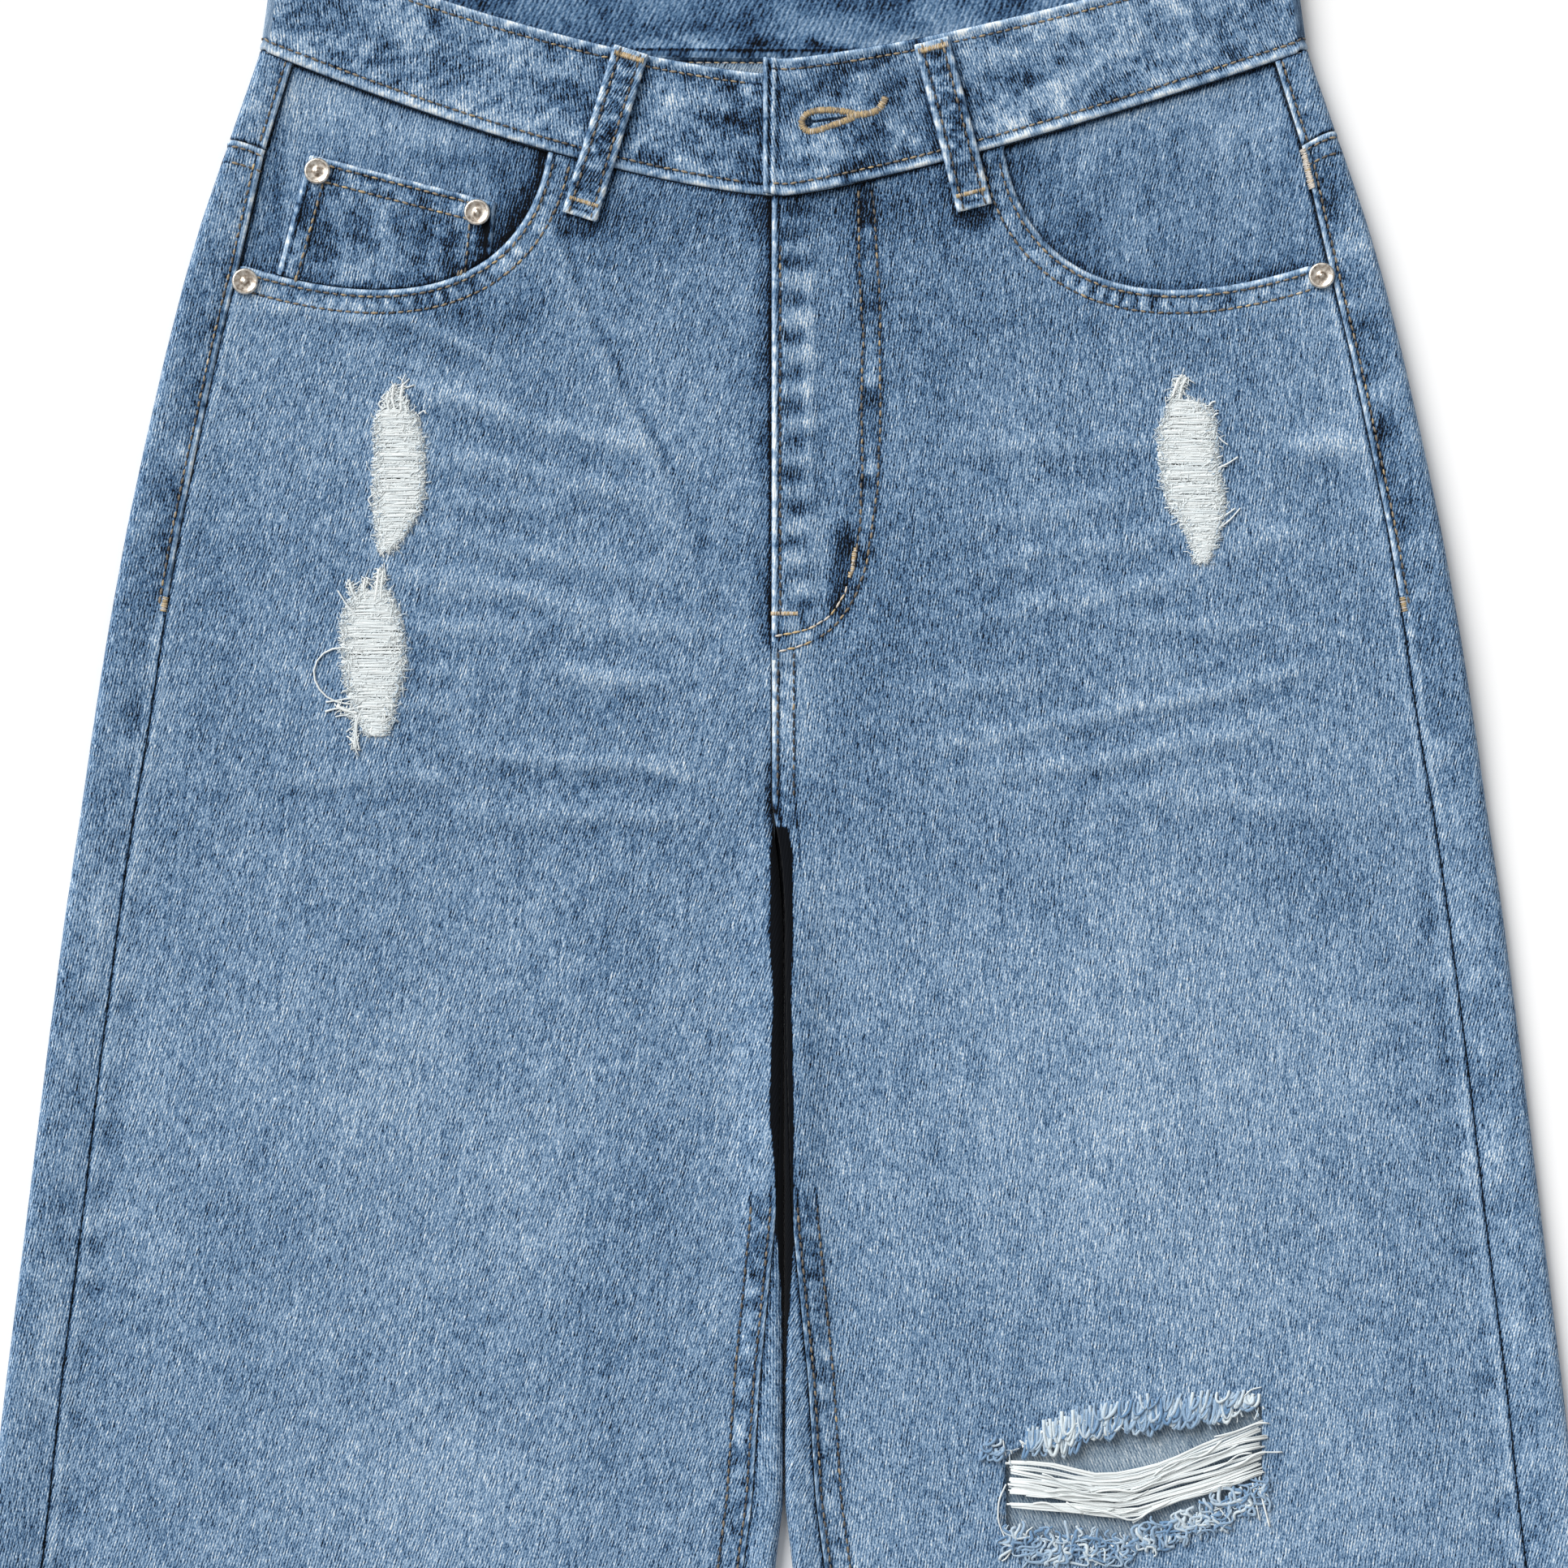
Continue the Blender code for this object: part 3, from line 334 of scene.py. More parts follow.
def bump(distance, centre, width):
    """A soft ridge of height 1."""
    return np.exp(-(((distance - centre) / width) ** 2))


def smooth_line(xs, ys, reach):
    """A smoothed curve through the points of a table, as a function."""
    step = MM
    dense = np.arange(xs[0], xs[-1] + step, step)
    values = np.interp(dense, xs, ys)
    half = int(3 * reach / step)
    weights = bump(np.arange(-half, half + 1) * step, 0, reach)
    padded = np.pad(values, half, mode="reflect", reflect_type="odd")
    return dense, np.convolve(padded, weights / weights.sum(), mode="valid")


COLUMNS = {
    name: smooth_line([s.y for s in SECTIONS], [getattr(s, name) for s in SECTIONS], 4 * MM)
    for name in SECTIONS[0]._fields[1:]
}
BAND_LINES = {
    side: smooth_line([s.x for s in stations], [s.height for s in stations], 4 * MM)
    for side, stations in (("right", RIGHT_BAND), ("left", LEFT_BAND))
}


def at(column, y):
    return np.interp(y, *COLUMNS[column])


def wobble(along, spacing, seed):
    """Smooth noise from -1 to 1, with one swing in about each two spacings; each use has its own seed."""
    knots = np.random.default_rng(seed).uniform(-1, 1, 1024)
    place = np.asarray(along) / spacing + 400
    low = np.floor(place).astype(int)
    return mix(knots[low % 1024], knots[(low + 1) % 1024], ease(place - low))


def mottle(x, y, size, seed):
    """Smooth seeded noise over a surface, from -1 to 1."""
    knots = np.random.default_rng(seed).uniform(-1, 1, (256, 256))
    u, v = np.asarray(x) / size + 100, np.asarray(y) / size + 100
    i, j = np.floor(u).astype(int), np.floor(v).astype(int)
    s, t = ease(u - i), ease(v - j)
    low = mix(knots[i % 256, j % 256], knots[(i + 1) % 256, j % 256], s)
    high = mix(knots[i % 256, (j + 1) % 256], knots[(i + 1) % 256, (j + 1) % 256], s)
    return mix(low, high, t)


def nearest_on(points, line):
    """For each point: its distance to a line of points, the nearest place on it and how far along that is."""
    points, line = np.asarray(points)[:, None, :], np.asarray(line)
    starts, steps = line[:-1], np.diff(line, axis=0)
    lengths = np.linalg.norm(steps, axis=1)
    share = ((points - starts) * steps).sum(axis=2) / np.maximum(lengths**2, 1e-12)
    share = np.clip(share, 0, 1)
    places = starts + share[..., None] * steps
    distances = np.linalg.norm(points - places, axis=2)
    best = distances.argmin(axis=1)
    rows = np.arange(len(best))
    before = np.concatenate([[0], np.cumsum(lengths)[:-1]])
    along = before[best] + share[rows, best] * lengths[best]
    return distances[rows, best], places[rows, best], along


def within(points, outline):
    """Whether each point lies inside a closed outline."""
    x, y = np.asarray(points)[:, 0], np.asarray(points)[:, 1]
    inside = np.zeros(len(x), bool)
    outline = np.asarray(outline)
    for (ax, ay), (bx, by) in zip(outline, np.roll(outline, -1, axis=0)):
        if ay == by:
            continue
        crosses = (ay > y) != (by > y)
        inside ^= crosses & (x < ax + (y - ay) * (bx - ax) / (by - ay))
    return inside


def interpolated(places, along, line):
    """The rows of a line at some places along it."""
    return np.stack([np.interp(places, along, column) for column in line.T], axis=1)


def resample(line, spacing):
    """The same line with evenly spaced points."""
    line = np.asarray(line, float)
    lengths = np.linalg.norm(np.diff(line, axis=0), axis=1)
    along = np.concatenate([[0], np.cumsum(lengths)])
    count = max(int(round(along[-1] / spacing)), 1) + 1
    places = np.linspace(0, along[-1], count)
    return interpolated(places, along, line)


def smoothed_path(line, spacing):
    """A polyline with its corners rounded."""
    points = resample(line, spacing)
    for _ in range(6):
        points[1:-1] = (points[:-2] + 2 * points[1:-1] + points[2:]) / 4
    return points


def spans(*marks):
    """Grid values from pairs of (value, number of points up to it), after a first value."""
    values = [marks[0]]
    for end, count in marks[1:]:
        values += list(np.linspace(values[-1], end, count)[1:])
    return np.array(values)


def spaced(*marks):
    """Grid values from pairs of (value, step up to it), after a first value."""
    values = [marks[0]]
    for end, step in marks[1:]:
        count = max(int(math.ceil(abs(end - values[-1]) / step - 1e-9)), 1)
        values += list(np.linspace(values[-1], end, count + 1)[1:])
    return np.array(values)


# ---- where the garment's surfaces lie


def soft_folds(x, y):
    """Height of the low swells in which the cloth lies."""
    total = 0.0
    for fold in SOFT_FOLDS:
        turn = math.radians(fold.turn)
        along = (x - fold.x) * math.cos(turn) + (y - fold.y) * math.sin(turn)
        beside = (y - fold.y) * math.cos(turn) - (x - fold.x) * math.sin(turn)
        spread = (2 * along / fold.length) ** 2 + (2 * beside / fold.width) ** 2
        total = total + fold.height * np.exp(-spread)
    return total


def upper_face(side, across, y):
    """Height of the upper cloth face, which rolls up to both folds."""
    outer_crest = at("half", y) - FOLD_RADIUS
    inner_crest = at("inner", y) + FOLD_RADIUS
    outer_roll = 1 - ease((outer_crest - across) / SIDE_ROLL)
    inner_roll = at("curl", y) * (1 - ease((across - inner_crest) / INNER_ROLL))
    crest = at("lift", y) + 2 * FOLD_RADIUS
    raised = soft_folds(SIDES[side] * across, y) * ease((outer_crest - across) / SIDE_ROLL)
    return mix(at("front", y), crest, np.maximum(outer_roll, inner_roll)) + raised * (1 - inner_roll)


def inner_fold(side, y, run):
    """Points `run` along the surface from the foot of the inner fold, round it and on across the top."""
    foot = at("inner", y) + FOLD_RADIUS
    angle = np.clip(run / FOLD_RADIUS, None, math.pi)
    turned = foot - FOLD_RADIUS * np.sin(angle)
    rise = at("lift", y) + FOLD_RADIUS * (1 - np.cos(angle))
    beyond = foot + run - HALF_TURN
    on_fold = run < HALF_TURN
    return np.where(on_fold, turned, beyond), np.where(on_fold, rise, upper_face(side, beyond, y))


def band_seam(side, across):
    share = np.abs(across) / WAIST_HALF
    return BAND_SEAM_CENTRE + (SIDE_SEAM_TOP - BAND_SEAM_CENTRE) * share ** BAND_SEAM_POWER[side]


def band_top(side, across):
    share = np.minimum(np.abs(across) / BAND_TOP_HALF, 1.0)
    return mix(BAND_TOP_CENTRE[side], TOP, share ** BAND_TOP_POWER[side])


def back_band_seam(across):
    return SIDE_SEAM_TOP - BACK_SEAM_DIP * (1 - (across / WAIST_HALF) ** 2)


def back_band_top(across):
    return TOP - BACK_TOP_DIP * (1 - (across / WAIST_HALF) ** 2)


def yoke_seam(side, across, under=False):
    """Height of the yoke seam, which climbs a little over the side fold."""
    share = np.minimum(np.abs(across) / YOKE_HALF, 1.0)
    start = np.where(under, 0.15, 0.165)
    climb = YOKE_CLIMB[side] * ease((across - start) / (0.189 - start))
    return YOKE_CENTRE + (YOKE_SIDE - YOKE_CENTRE) * share**YOKE_POWER + climb


def centre_front(side, y):
    edge = CENTRE_FRONT * SIDES[side] + SEAM_GAP / 2
    if side == "left":
        return edge + 0 * y
    return edge - FLY_LAP * ease((y - FLY_STEP_END) / (FLY_FOOT - FLY_STEP_END))


FRONT_EDGE_ZONE = 0.018  # width of the zones beside the inner edge and the side seam
FRONT_LEVEL = 0.385  # above these levels the rows fan out to the waist and the yoke seam
BACK_LEVEL = 0.36
FAN_SPAN = 0.06


def front_across(side, column, y):
    """(across, height) of the front: 0 to 1 beside the inner edge, then to 2, and to 3 at the side seam."""
    offset = FRONT_EDGE_ZONE * np.minimum(column, 1)
    curl = at("curl", y)
    curled_x, curled_z = inner_fold(side, y, at("inseam", y) + SEAM_GAP / 2 + offset)
    flat_x = centre_front(side, y) + offset
    step = 0.0
    if side == "left":
        raised = np.interp(offset, (0, 0.005, 0.01, 0.018), (1, 1, 0.5, 0))
        step = FLY_STEP * raised * ease((y - FLY_STEP_END + 0.012) / 0.012)
    inner_x = mix(flat_x, curled_x, curl)
    inner_z = mix(upper_face(side, flat_x, y) + step, curled_z, curl)
    seam = at("side_seam", y) - SEAM_GAP / 2
    middle = mix(inner_x, seam - FRONT_EDGE_ZONE, np.clip(column - 1, 0, 1))
    outer = seam - FRONT_EDGE_ZONE * np.clip(3 - column, 0, 1)
    across = np.where(column <= 1, inner_x, np.where(column <= 2, middle, outer))
    return across, np.where(column <= 1, inner_z, upper_face(side, across, y))


def back_across(side, column, y):
    """(across, height) of the back: 0 to 1 from seam to crest, 2 round the fold, 3 under, 4 up the inside."""
    half, lift = at("half", y), at("lift", y)
    foot = at("inner", y) + FOLD_RADIUS
    wrap = mix(at("side_seam", y) + SEAM_GAP / 2, half - FOLD_RADIUS, np.clip(column, 0, 1))
    turn = math.pi * np.clip(column - 1, 0, 1)
    folded = half - FOLD_RADIUS * (1 - np.sin(turn))
    under = mix(half - FOLD_RADIUS, foot, np.clip(column - 2, 0, 1))
    share = np.clip(column - 3, 0, 1)
    curl = at("curl", y)
    curled_x, curled_z = inner_fold(side, y, (at("inseam", y) - SEAM_GAP / 2) * share)
    inner_x = mix(mix(foot, SEAM_GAP / 2, share), curled_x, curl)
    inner_z = mix(lift, curled_z, curl)
    zones = [column <= 1, column <= 2, column <= 3]
    across = np.select(zones, [wrap, folded, under], inner_x)
    height = np.select(
        zones,
        [upper_face(side, wrap, y), lift + FOLD_RADIUS * (1 + np.cos(turn)), lift],
        inner_z,
    )
    return across, height


def panel_surface(side, place, base, edge_of):
    """A surface function whose rows are heights up to a level, and fan out above it to a curved edge."""

    def surface(column, row):
        share = np.clip((row - base) / FAN_SPAN, 0, 1)
        below = np.minimum(row, base)
        y = below
        for _ in range(3):
            y = mix(below, edge_of(column, place(side, column, y)[0]), share)
        across, height = place(side, column, y)
        return points_of(SIDES[side] * across, y, height)

    return surface


def front_surface(side):
    return panel_surface(side, front_across, FRONT_LEVEL, lambda column, x: band_seam(side, x) - SEAM_GAP)


def back_surface(side):
    def edge_of(column, across):
        return yoke_seam(side, across, column > 2) - SEAM_GAP / 2

    return panel_surface(side, back_across, BACK_LEVEL, edge_of)


def yoke_surface(side):
    def surface(column, share):
        y = mix(YOKE_SIDE, SIDE_SEAM_TOP, share)
        for _ in range(3):
            across = back_across(side, column, y)[0]
            top = np.where(column <= 1, band_seam(side, across), back_band_seam(across)) - SEAM_GAP
            y = mix(yoke_seam(side, across, column > 2) + SEAM_GAP / 2, top, share)
        across, height = back_across(side, column, y)
        return points_of(SIDES[side] * across, y, height)

    return surface


def band_surface(column, share):
    """The waistband: 0 to 1 under end to right crest, to 2 fold, to 3 back, to 4 fold, to 5 the tab."""
    y = mix(0.44, 0.48, share)
    for _ in range(3):
        half, lift = at("half", y), at("lift", y)
        crest = half - FOLD_RADIUS
        turn = math.pi * np.where(column < 2.5, np.clip(column - 1, 0, 1), np.clip(4 - column, 0, 1))
        folded = half - FOLD_RADIUS * (1 - np.sin(turn))
        right = mix(BAND_UNDER_END, -crest, np.clip(column, 0, 1))
        back = mix(-crest, crest, np.clip(column - 2, 0, 1))
        left = mix(crest, BAND_TAB_END, np.clip(column - 4, 0, 1))
        zones = [column <= 1, column <= 2, column <= 3, column <= 4]
        x = np.select(zones, [right, -folded, back, folded], left)
        blend = ease((np.abs(x) - crest + 0.012) / 0.012)
        right_low = np.where(x < 0, band_seam("right", x), band_seam("left", x))
        lows = [right_low, SIDE_SEAM_TOP, back_band_seam(x), SIDE_SEAM_TOP]
        low = np.select(zones, lows, band_seam("left", x))
        right_top, left_top = (mix(band_top(side, x), TOP, blend) for side in SIDES)
        high = np.select(zones, [right_top, TOP, back_band_top(x), TOP], left_top)
        y = mix(low, high, share)
    round_fold = lift + FOLD_RADIUS * (1 + np.cos(turn))
    right_z, left_z = np.interp(x, *BAND_LINES["right"]), np.interp(x, *BAND_LINES["left"])
    z = np.select(zones, [right_z, round_fold, lift, round_fold], left_z)
    return points_of(x, y, z)


def mouth_curve(side, margin=0.0, count=32):
    """The pocket mouth's edge from the waistband to the side seam, moved towards the front's middle."""
    t = np.linspace(0, 1, count)[:, None]
    a, b, c, d = np.array(MOUTH)
    points = a * (1 - t) ** 3 + 3 * b * t * (1 - t) ** 2 + 3 * c * t * t * (1 - t) + d * t**3
    along = np.gradient(points, axis=0)
    along /= np.linalg.norm(along, axis=1, keepdims=True)
    points = points + points_of(along[:, 1], -along[:, 0]) * margin
    shift = MOUTH_SHIFT * SIDES[side]
    return (points + (shift, 0)) * (SIDES[side], 1)


def mouth_outline(side, margin=0.0):
    curve = mouth_curve(side, margin)
    beyond = SIDES[side] * SECTIONS[0].half
    return np.vstack([curve, [(beyond, curve[-1][1]), (beyond, TOP), (curve[0][0], TOP)]])


def rip_edges(rip, share):
    """(left edge, right edge, y) of a rip at shares of its length."""
    y, left, right = np.array(rip.edges)[::-1].T
    place = mix(y[-1], y[0], share)
    return np.interp(place, y, left), np.interp(place, y, right), place


def rip_outline(rip):
    left, right, y = rip_edges(rip, np.linspace(0, 1, 25))
    tuck = np.minimum(RIP_TUCK, (right - left) / 4)
    return np.vstack([points_of(right - tuck, y), points_of(left + tuck, y)[-2:0:-1]])


def knee_line(name, x):
    return np.interp(x, [s.x for s in KNEE_HOLE], [getattr(s, name) for s in KNEE_HOLE])


def knee_outline():
    x = np.linspace(KNEE_HOLE[0].x, KNEE_HOLE[-1].x, 45)
    upper = points_of(x, knee_line("hole_top", x) + wobble(x, 2.5 * MM, 3) * 0.8 * MM)
    lower = points_of(x, knee_line("hole_foot", x) + wobble(x, 2.5 * MM, 4) * 0.8 * MM)
    return np.vstack([upper, lower[::-1]])


# ---- cloth pieces


def closed(outline):
    """An outline that comes back to its first point."""
    return np.vstack([outline, outline[:1]])


def add_object(name, data):
    """A new object in the scene."""
    made = bpy.data.objects.new(name, data)
    bpy.context.scene.collection.objects.link(made)
    return made


def mesh_of(name, bm, *finishes):
    """A mesh from a finished bmesh, with its finishes."""
    mesh = bpy.data.meshes.new(name)
    bm.to_mesh(mesh)
    bm.free()
    for finish in finishes:
        mesh.materials.append(bpy.data.materials[finish])
    return mesh


def paint(mesh, layer, values):
    """Gives each vertex a value that its finish reads."""
    mesh.attributes.new(layer, "FLOAT", "POINT").data.foreach_set("value", values.astype(np.float32))


class Cloth:
    """A cut piece of cloth: a grid of column and row values, laid in place by a surface function."""

    def __init__(self, columns, rows, surface):
        self.surface = surface
        self.bm = bmesh.new()
        bmesh.ops.create_grid(self.bm, x_segments=len(columns) - 1, y_segments=len(rows) - 1, size=1)
        self.column = self.bm.verts.layers.float.new("column")
        self.row = self.bm.verts.layers.float.new("row")
        for vert, (row, column) in zip(self.bm.verts, itertools.product(rows, columns)):
            vert[self.column], vert[self.row] = column, row
        self.lay()

    def values(self):
        column = np.array([vert[self.column] for vert in self.bm.verts])
        row = np.array([vert[self.row] for vert in self.bm.verts])
        return column, row

    def points(self):
        return np.array([vert.co for vert in self.bm.verts])

    def lay(self):
        for vert, point in zip(self.bm.verts, self.surface(*self.values())):
            vert.co = point

    def refine(self, line, reach, over=-1.0):
        """Halves the grid within reach of a line, where the cloth is higher than `over`."""
        self.bm.verts.index_update()
        points = self.points()
        close = (nearest_on(points[:, :2], line)[0] < reach) & (points[:, 2] > over)
        edges = [e for e in self.bm.edges if close[e.verts[0].index] and close[e.verts[1].index]]
        bmesh.ops.subdivide_edges(self.bm, edges=edges, cuts=1, use_grid_fill=True)
        self.lay()

    def trim(self, outline, inside, height, over=-1.0):
        """Cuts away what lies inside an outline, or outside it, and draws the cut edge on to it."""
        for vert in self.bm.verts:
            vert.tag = vert.is_boundary
        centres = np.array([face.calc_center_median() for face in self.bm.faces])
        doomed = (within(centres[:, :2], outline) == inside) & (centres[:, 2] > over)
        faces = [face for face, gone in zip(self.bm.faces, doomed) if gone]
        bmesh.ops.delete(self.bm, geom=faces, context="FACES")
        rim = [vert for vert in self.bm.verts if vert.is_boundary and not vert.tag]
        places = nearest_on([vert.co.xy for vert in rim], closed(outline))[1]
        for vert, place, z in zip(rim, places, height(places[:, 0], places[:, 1])):
            vert.co = (*place, z)

    def make(self, name, detail, finish, nodes, thickness=CLOTH, outward=1,
             inside="denim_wrong_side"):
        """Finishes the sheet, which stands for some CAD nodes.

        detail(look, column) adds to its look and gives the place in the weave.
        """
        self.bm.faces.ensure_lookup_table()
        self.bm.normal_update()
        if self.bm.faces[0].normal.z * outward < 0:
            bmesh.ops.reverse_faces(self.bm, faces=self.bm.faces[:])
        column = self.values()[0]
        mesh = mesh_of(name, self.bm, finish, inside)
        points, normals = np.empty(len(column) * 3), np.empty(len(column) * 3)
        mesh.vertices.foreach_get("co", points)
        mesh.vertices.foreach_get("normal", normals)
        points, normals = points.reshape(-1, 3), normals.reshape(-1, 3)
        look = Look(points)
        weave = points_of(*detail(look, column))
        points = points + normals * look.relief[:, None]
        points[:, 2] = np.maximum(points[:, 2], 0)
        mesh.vertices.foreach_set("co", points.ravel())
        paint(mesh, "tone", look.tone)
        paint(mesh, "edge", look.edge)
        loops = np.empty(len(mesh.loops), int)
        mesh.loops.foreach_get("vertex_index", loops)
        mesh.uv_layers.new(name="cloth").uv.foreach_set("vector", weave[loops].ravel())
        mesh.shade_smooth()
        piece = add_object(name, mesh)
        wall = piece.modifiers.new("wall", "SOLIDIFY")
        wall.thickness = thickness
        wall.offset = -1
        wall.material_offset = 1
        declare(piece, nodes)


class Look:
    """What is seen of a piece of cloth, feature by feature: relief, tone and distance to a worked edge."""

    def __init__(self, points):
        self.x, self.y = points[:, 0], points[:, 1]
        self.relief, self.tone = np.zeros(len(points)), np.zeros(len(points))
        self.edge = np.ones(len(points))

    def add(self, shape, relief=0.0, tone=0.0):
        """Adds a shape of height 1 as relief, in mm, and as tone."""
        self.relief += shape * relief * MM
        self.tone += shape * tone

    def ridge(self, distance, centre, width, relief=0.0, tone=0.0, share=1.0):
        """Adds a soft ridge along a line, at a distance from it and with a width in mm."""
        self.add(bump(distance, centre * MM, width * MM) * share, relief, tone)

    def distance(self, line):
        """(distance to a line, how far along it)."""
        nearest = nearest_on(points_of(self.x, self.y), line)
        return nearest[0], nearest[2]

    def turn_edge(self, distance, along, seed, share=1.0):
        """An edge that is folded under and topstitched, where the cloth ropes."""
        self.ridge(distance, 1.3, 1.1, 0.3, 0, (1 + 0.5 * wobble(along, 2.2 * MM, seed)) * share)
        self.ridge(distance, 3.2, 0.8, -0.22, -0.04, share)
        self.add(np.clip(1 - distance / (0.9 * MM), 0, 1) ** 2 * share, -0.6)
        self.edge = np.where(share > 0.5, np.minimum(self.edge, distance), self.edge)

    def pucker(self, distance, along, span, spacing, seed, relief, tone):
        """Hollows and ridges across a seam, between two distances from it in mm, with painted shade in the
        hollows and painted light on the ridges.
        """
        near, far = (value * MM for value in span)
        swing = wobble(along, spacing * MM, seed) + 0.4 * wobble(along, spacing * 0.43 * MM, seed + 1)
        self.add(bump(distance, (near + far) / 2, (far - near) / 2) * swing, relief, tone)

    def hollow(self, x, y, width, height, relief, tone):
        """A soft hollow with painted shade, or a swell with painted light, at a place, with its reach in mm
        each way.
        """
        self.add(bump(self.x, x, width * MM) * bump(self.y, y, height * MM), relief, tone)

    def tuck(self, distance, reach=1.4, tone=-0.4, relief=0.0):
        """Painted shade, and a dip where a relief is given, where a piece goes under its neighbour, with its
        reach in mm.
        """
        self.add(np.clip(1 - distance / (reach * MM), 0, 1), relief, tone)

    def fade(self, x, tone_spots, share=1.0, relief=0.0, tone=1.0):
        """Broad soft patches of wash and of painted light and shade, each as relief and tone in proportion to
        its own tone.
        """
        for fade in tone_spots:
            spread = (2 * (x - fade.x) / fade.width) ** 2 + (2 * (self.y - fade.y) / fade.height) ** 2
            self.add(np.exp(-spread) * share, relief * fade.tone, tone * fade.tone)

    def crease(self, x, creases, share=1.0):
        """Whiskers and drag lines: a worn crest with a side that dips, in painted shade."""
        for number, crease in enumerate(creases):
            width = crease.width
            step_x, step_y = crease.end_x - crease.x, crease.end_y - crease.y
            length = math.hypot(step_x, step_y)
            over, up = x - crease.x, self.y - crease.y
            along = (over * step_x + up * step_y) / length
            beside = (up * step_x - over * step_y) / length * np.sign(step_x + 1e-9)
            beside = beside - wobble(along, 0.012, number) * width * 0.5
            ends = ease((along + 0.008) / 0.016) * ease((length + 0.008 - along) / 0.016)
            crest = bump(beside, 0, width) - 0.45 * bump(beside, -2.2 * width, 1.6 * width)
            crest = crest * ends * (1 + 0.35 * wobble(along, 0.006, number + 50)) * share
            self.add(crest, CREASE_RELIEF * crease.tone, crease.tone)

    def paint_gap_shade(self, side, across, share=1.0):
        """Painted shade, near black, between the thighs, which narrows towards the knees."""
        reach = np.interp(self.y, GAP_HEIGHTS, GAP_SHADE_REACH[side]) * (1 + 0.15 * wobble(self.y, 0.02, 6))
        near = ease((reach - across) / (0.9 * MM) + 0.5) * (self.y < GAP_TOP)
        self.add(near * ease((0.005 - at("inner", self.y)) / 0.003) * share, 0, -1.2)

    def shade_loops(self, share=1.0):
        """The shade beside and below each belt loop of the front."""
        for loop in FRONT_LOOPS:
            distance = self.distance((loop.top, loop.foot))[0] - LOOP_WIDTH / 2
            self.ridge(np.maximum(distance, 0), 0, 2, 0, -0.26, share)


# Heights of the pulled-in hollows beside each side seam, seen and unseen, and how far they lie from it
SEAM_HOLLOWS = {
    "right": (0.17, 0.136, 0.109, 0.093, 0.073, 0.053, 0.039, 0.018, -0.005, -0.034, -0.058),
    "left": (0.177, 0.164, 0.139, 0.128, 0.118, 0.091, 0.07, 0.052, 0.025, 0.009, -0.014, -0.036, -0.06),
}
SEAM_HOLLOW_OFFSET = 0.0062
HIDDEN_HOLLOWS = tuple(-0.083 - 0.0225 * number for number in range(18))
# Painted shade in the hollows along the fly's edge, between the edge and the first fold, and a paler strip
# beside them
FLY_SHADES = toned(
    Crease,
    (20.2, 297.5, 17.6, 273.5, 3.6, -0.34), (21.5, 299, 23.2, 286, 2.8, -0.1),
    (14.5, 306, 12.8, 274, 2.6, 0.12),
)
FLY_HOLLOWS = (0.4092, 0.401, 0.3912, 0.3781, 0.3655, 0.3535, 0.3419, 0.3299, 0.3184, 0.3068, 0.295, 0.285)
GRAIN_LEAN = 0.09  # each leg flares, and the warp leans out with it
INSEAM_SHARE = 0.84  # distances from the inseam are drawn in this much, and start a little way in
INSEAM_ROPE = 0.0008
LEG_TOP = 0.2  # the legs part here


def leg_share(y):
    """1 on the legs, and 0 above the place where they part."""
    return ease((LEG_TOP - y) / 0.03)


def front_side_seam(look, side, across):
    """A plain seam with painted shade where it turns under, and pulled-in hollows beside it, with painted
    shade in them and painted light on the swells next to them.
    """
    seam = at("side_seam", look.y) - across
    look.tuck(seam, 1.5, 0, -0.45)
    look.tuck(seam, 1.3)
    look.ridge(seam, 2.2, 1.3, 0, 0.09)
    for number, y in enumerate(SEAM_HOLLOWS[side] + HIDDEN_HOLLOWS):
        x = SIDES[side] * (at("side_seam", y) - SEAM_HOLLOW_OFFSET + 0.8 * MM * math.sin(5 * number))
        look.hollow(x, y, 3.8, 4.4 + 1.3 * math.sin(7 * number), -0.3, -0.17)
        look.hollow(x + 2 * SIDES[side] * MM, y + 10 * MM, 3.0, 5.0, 0.12, 0.08)


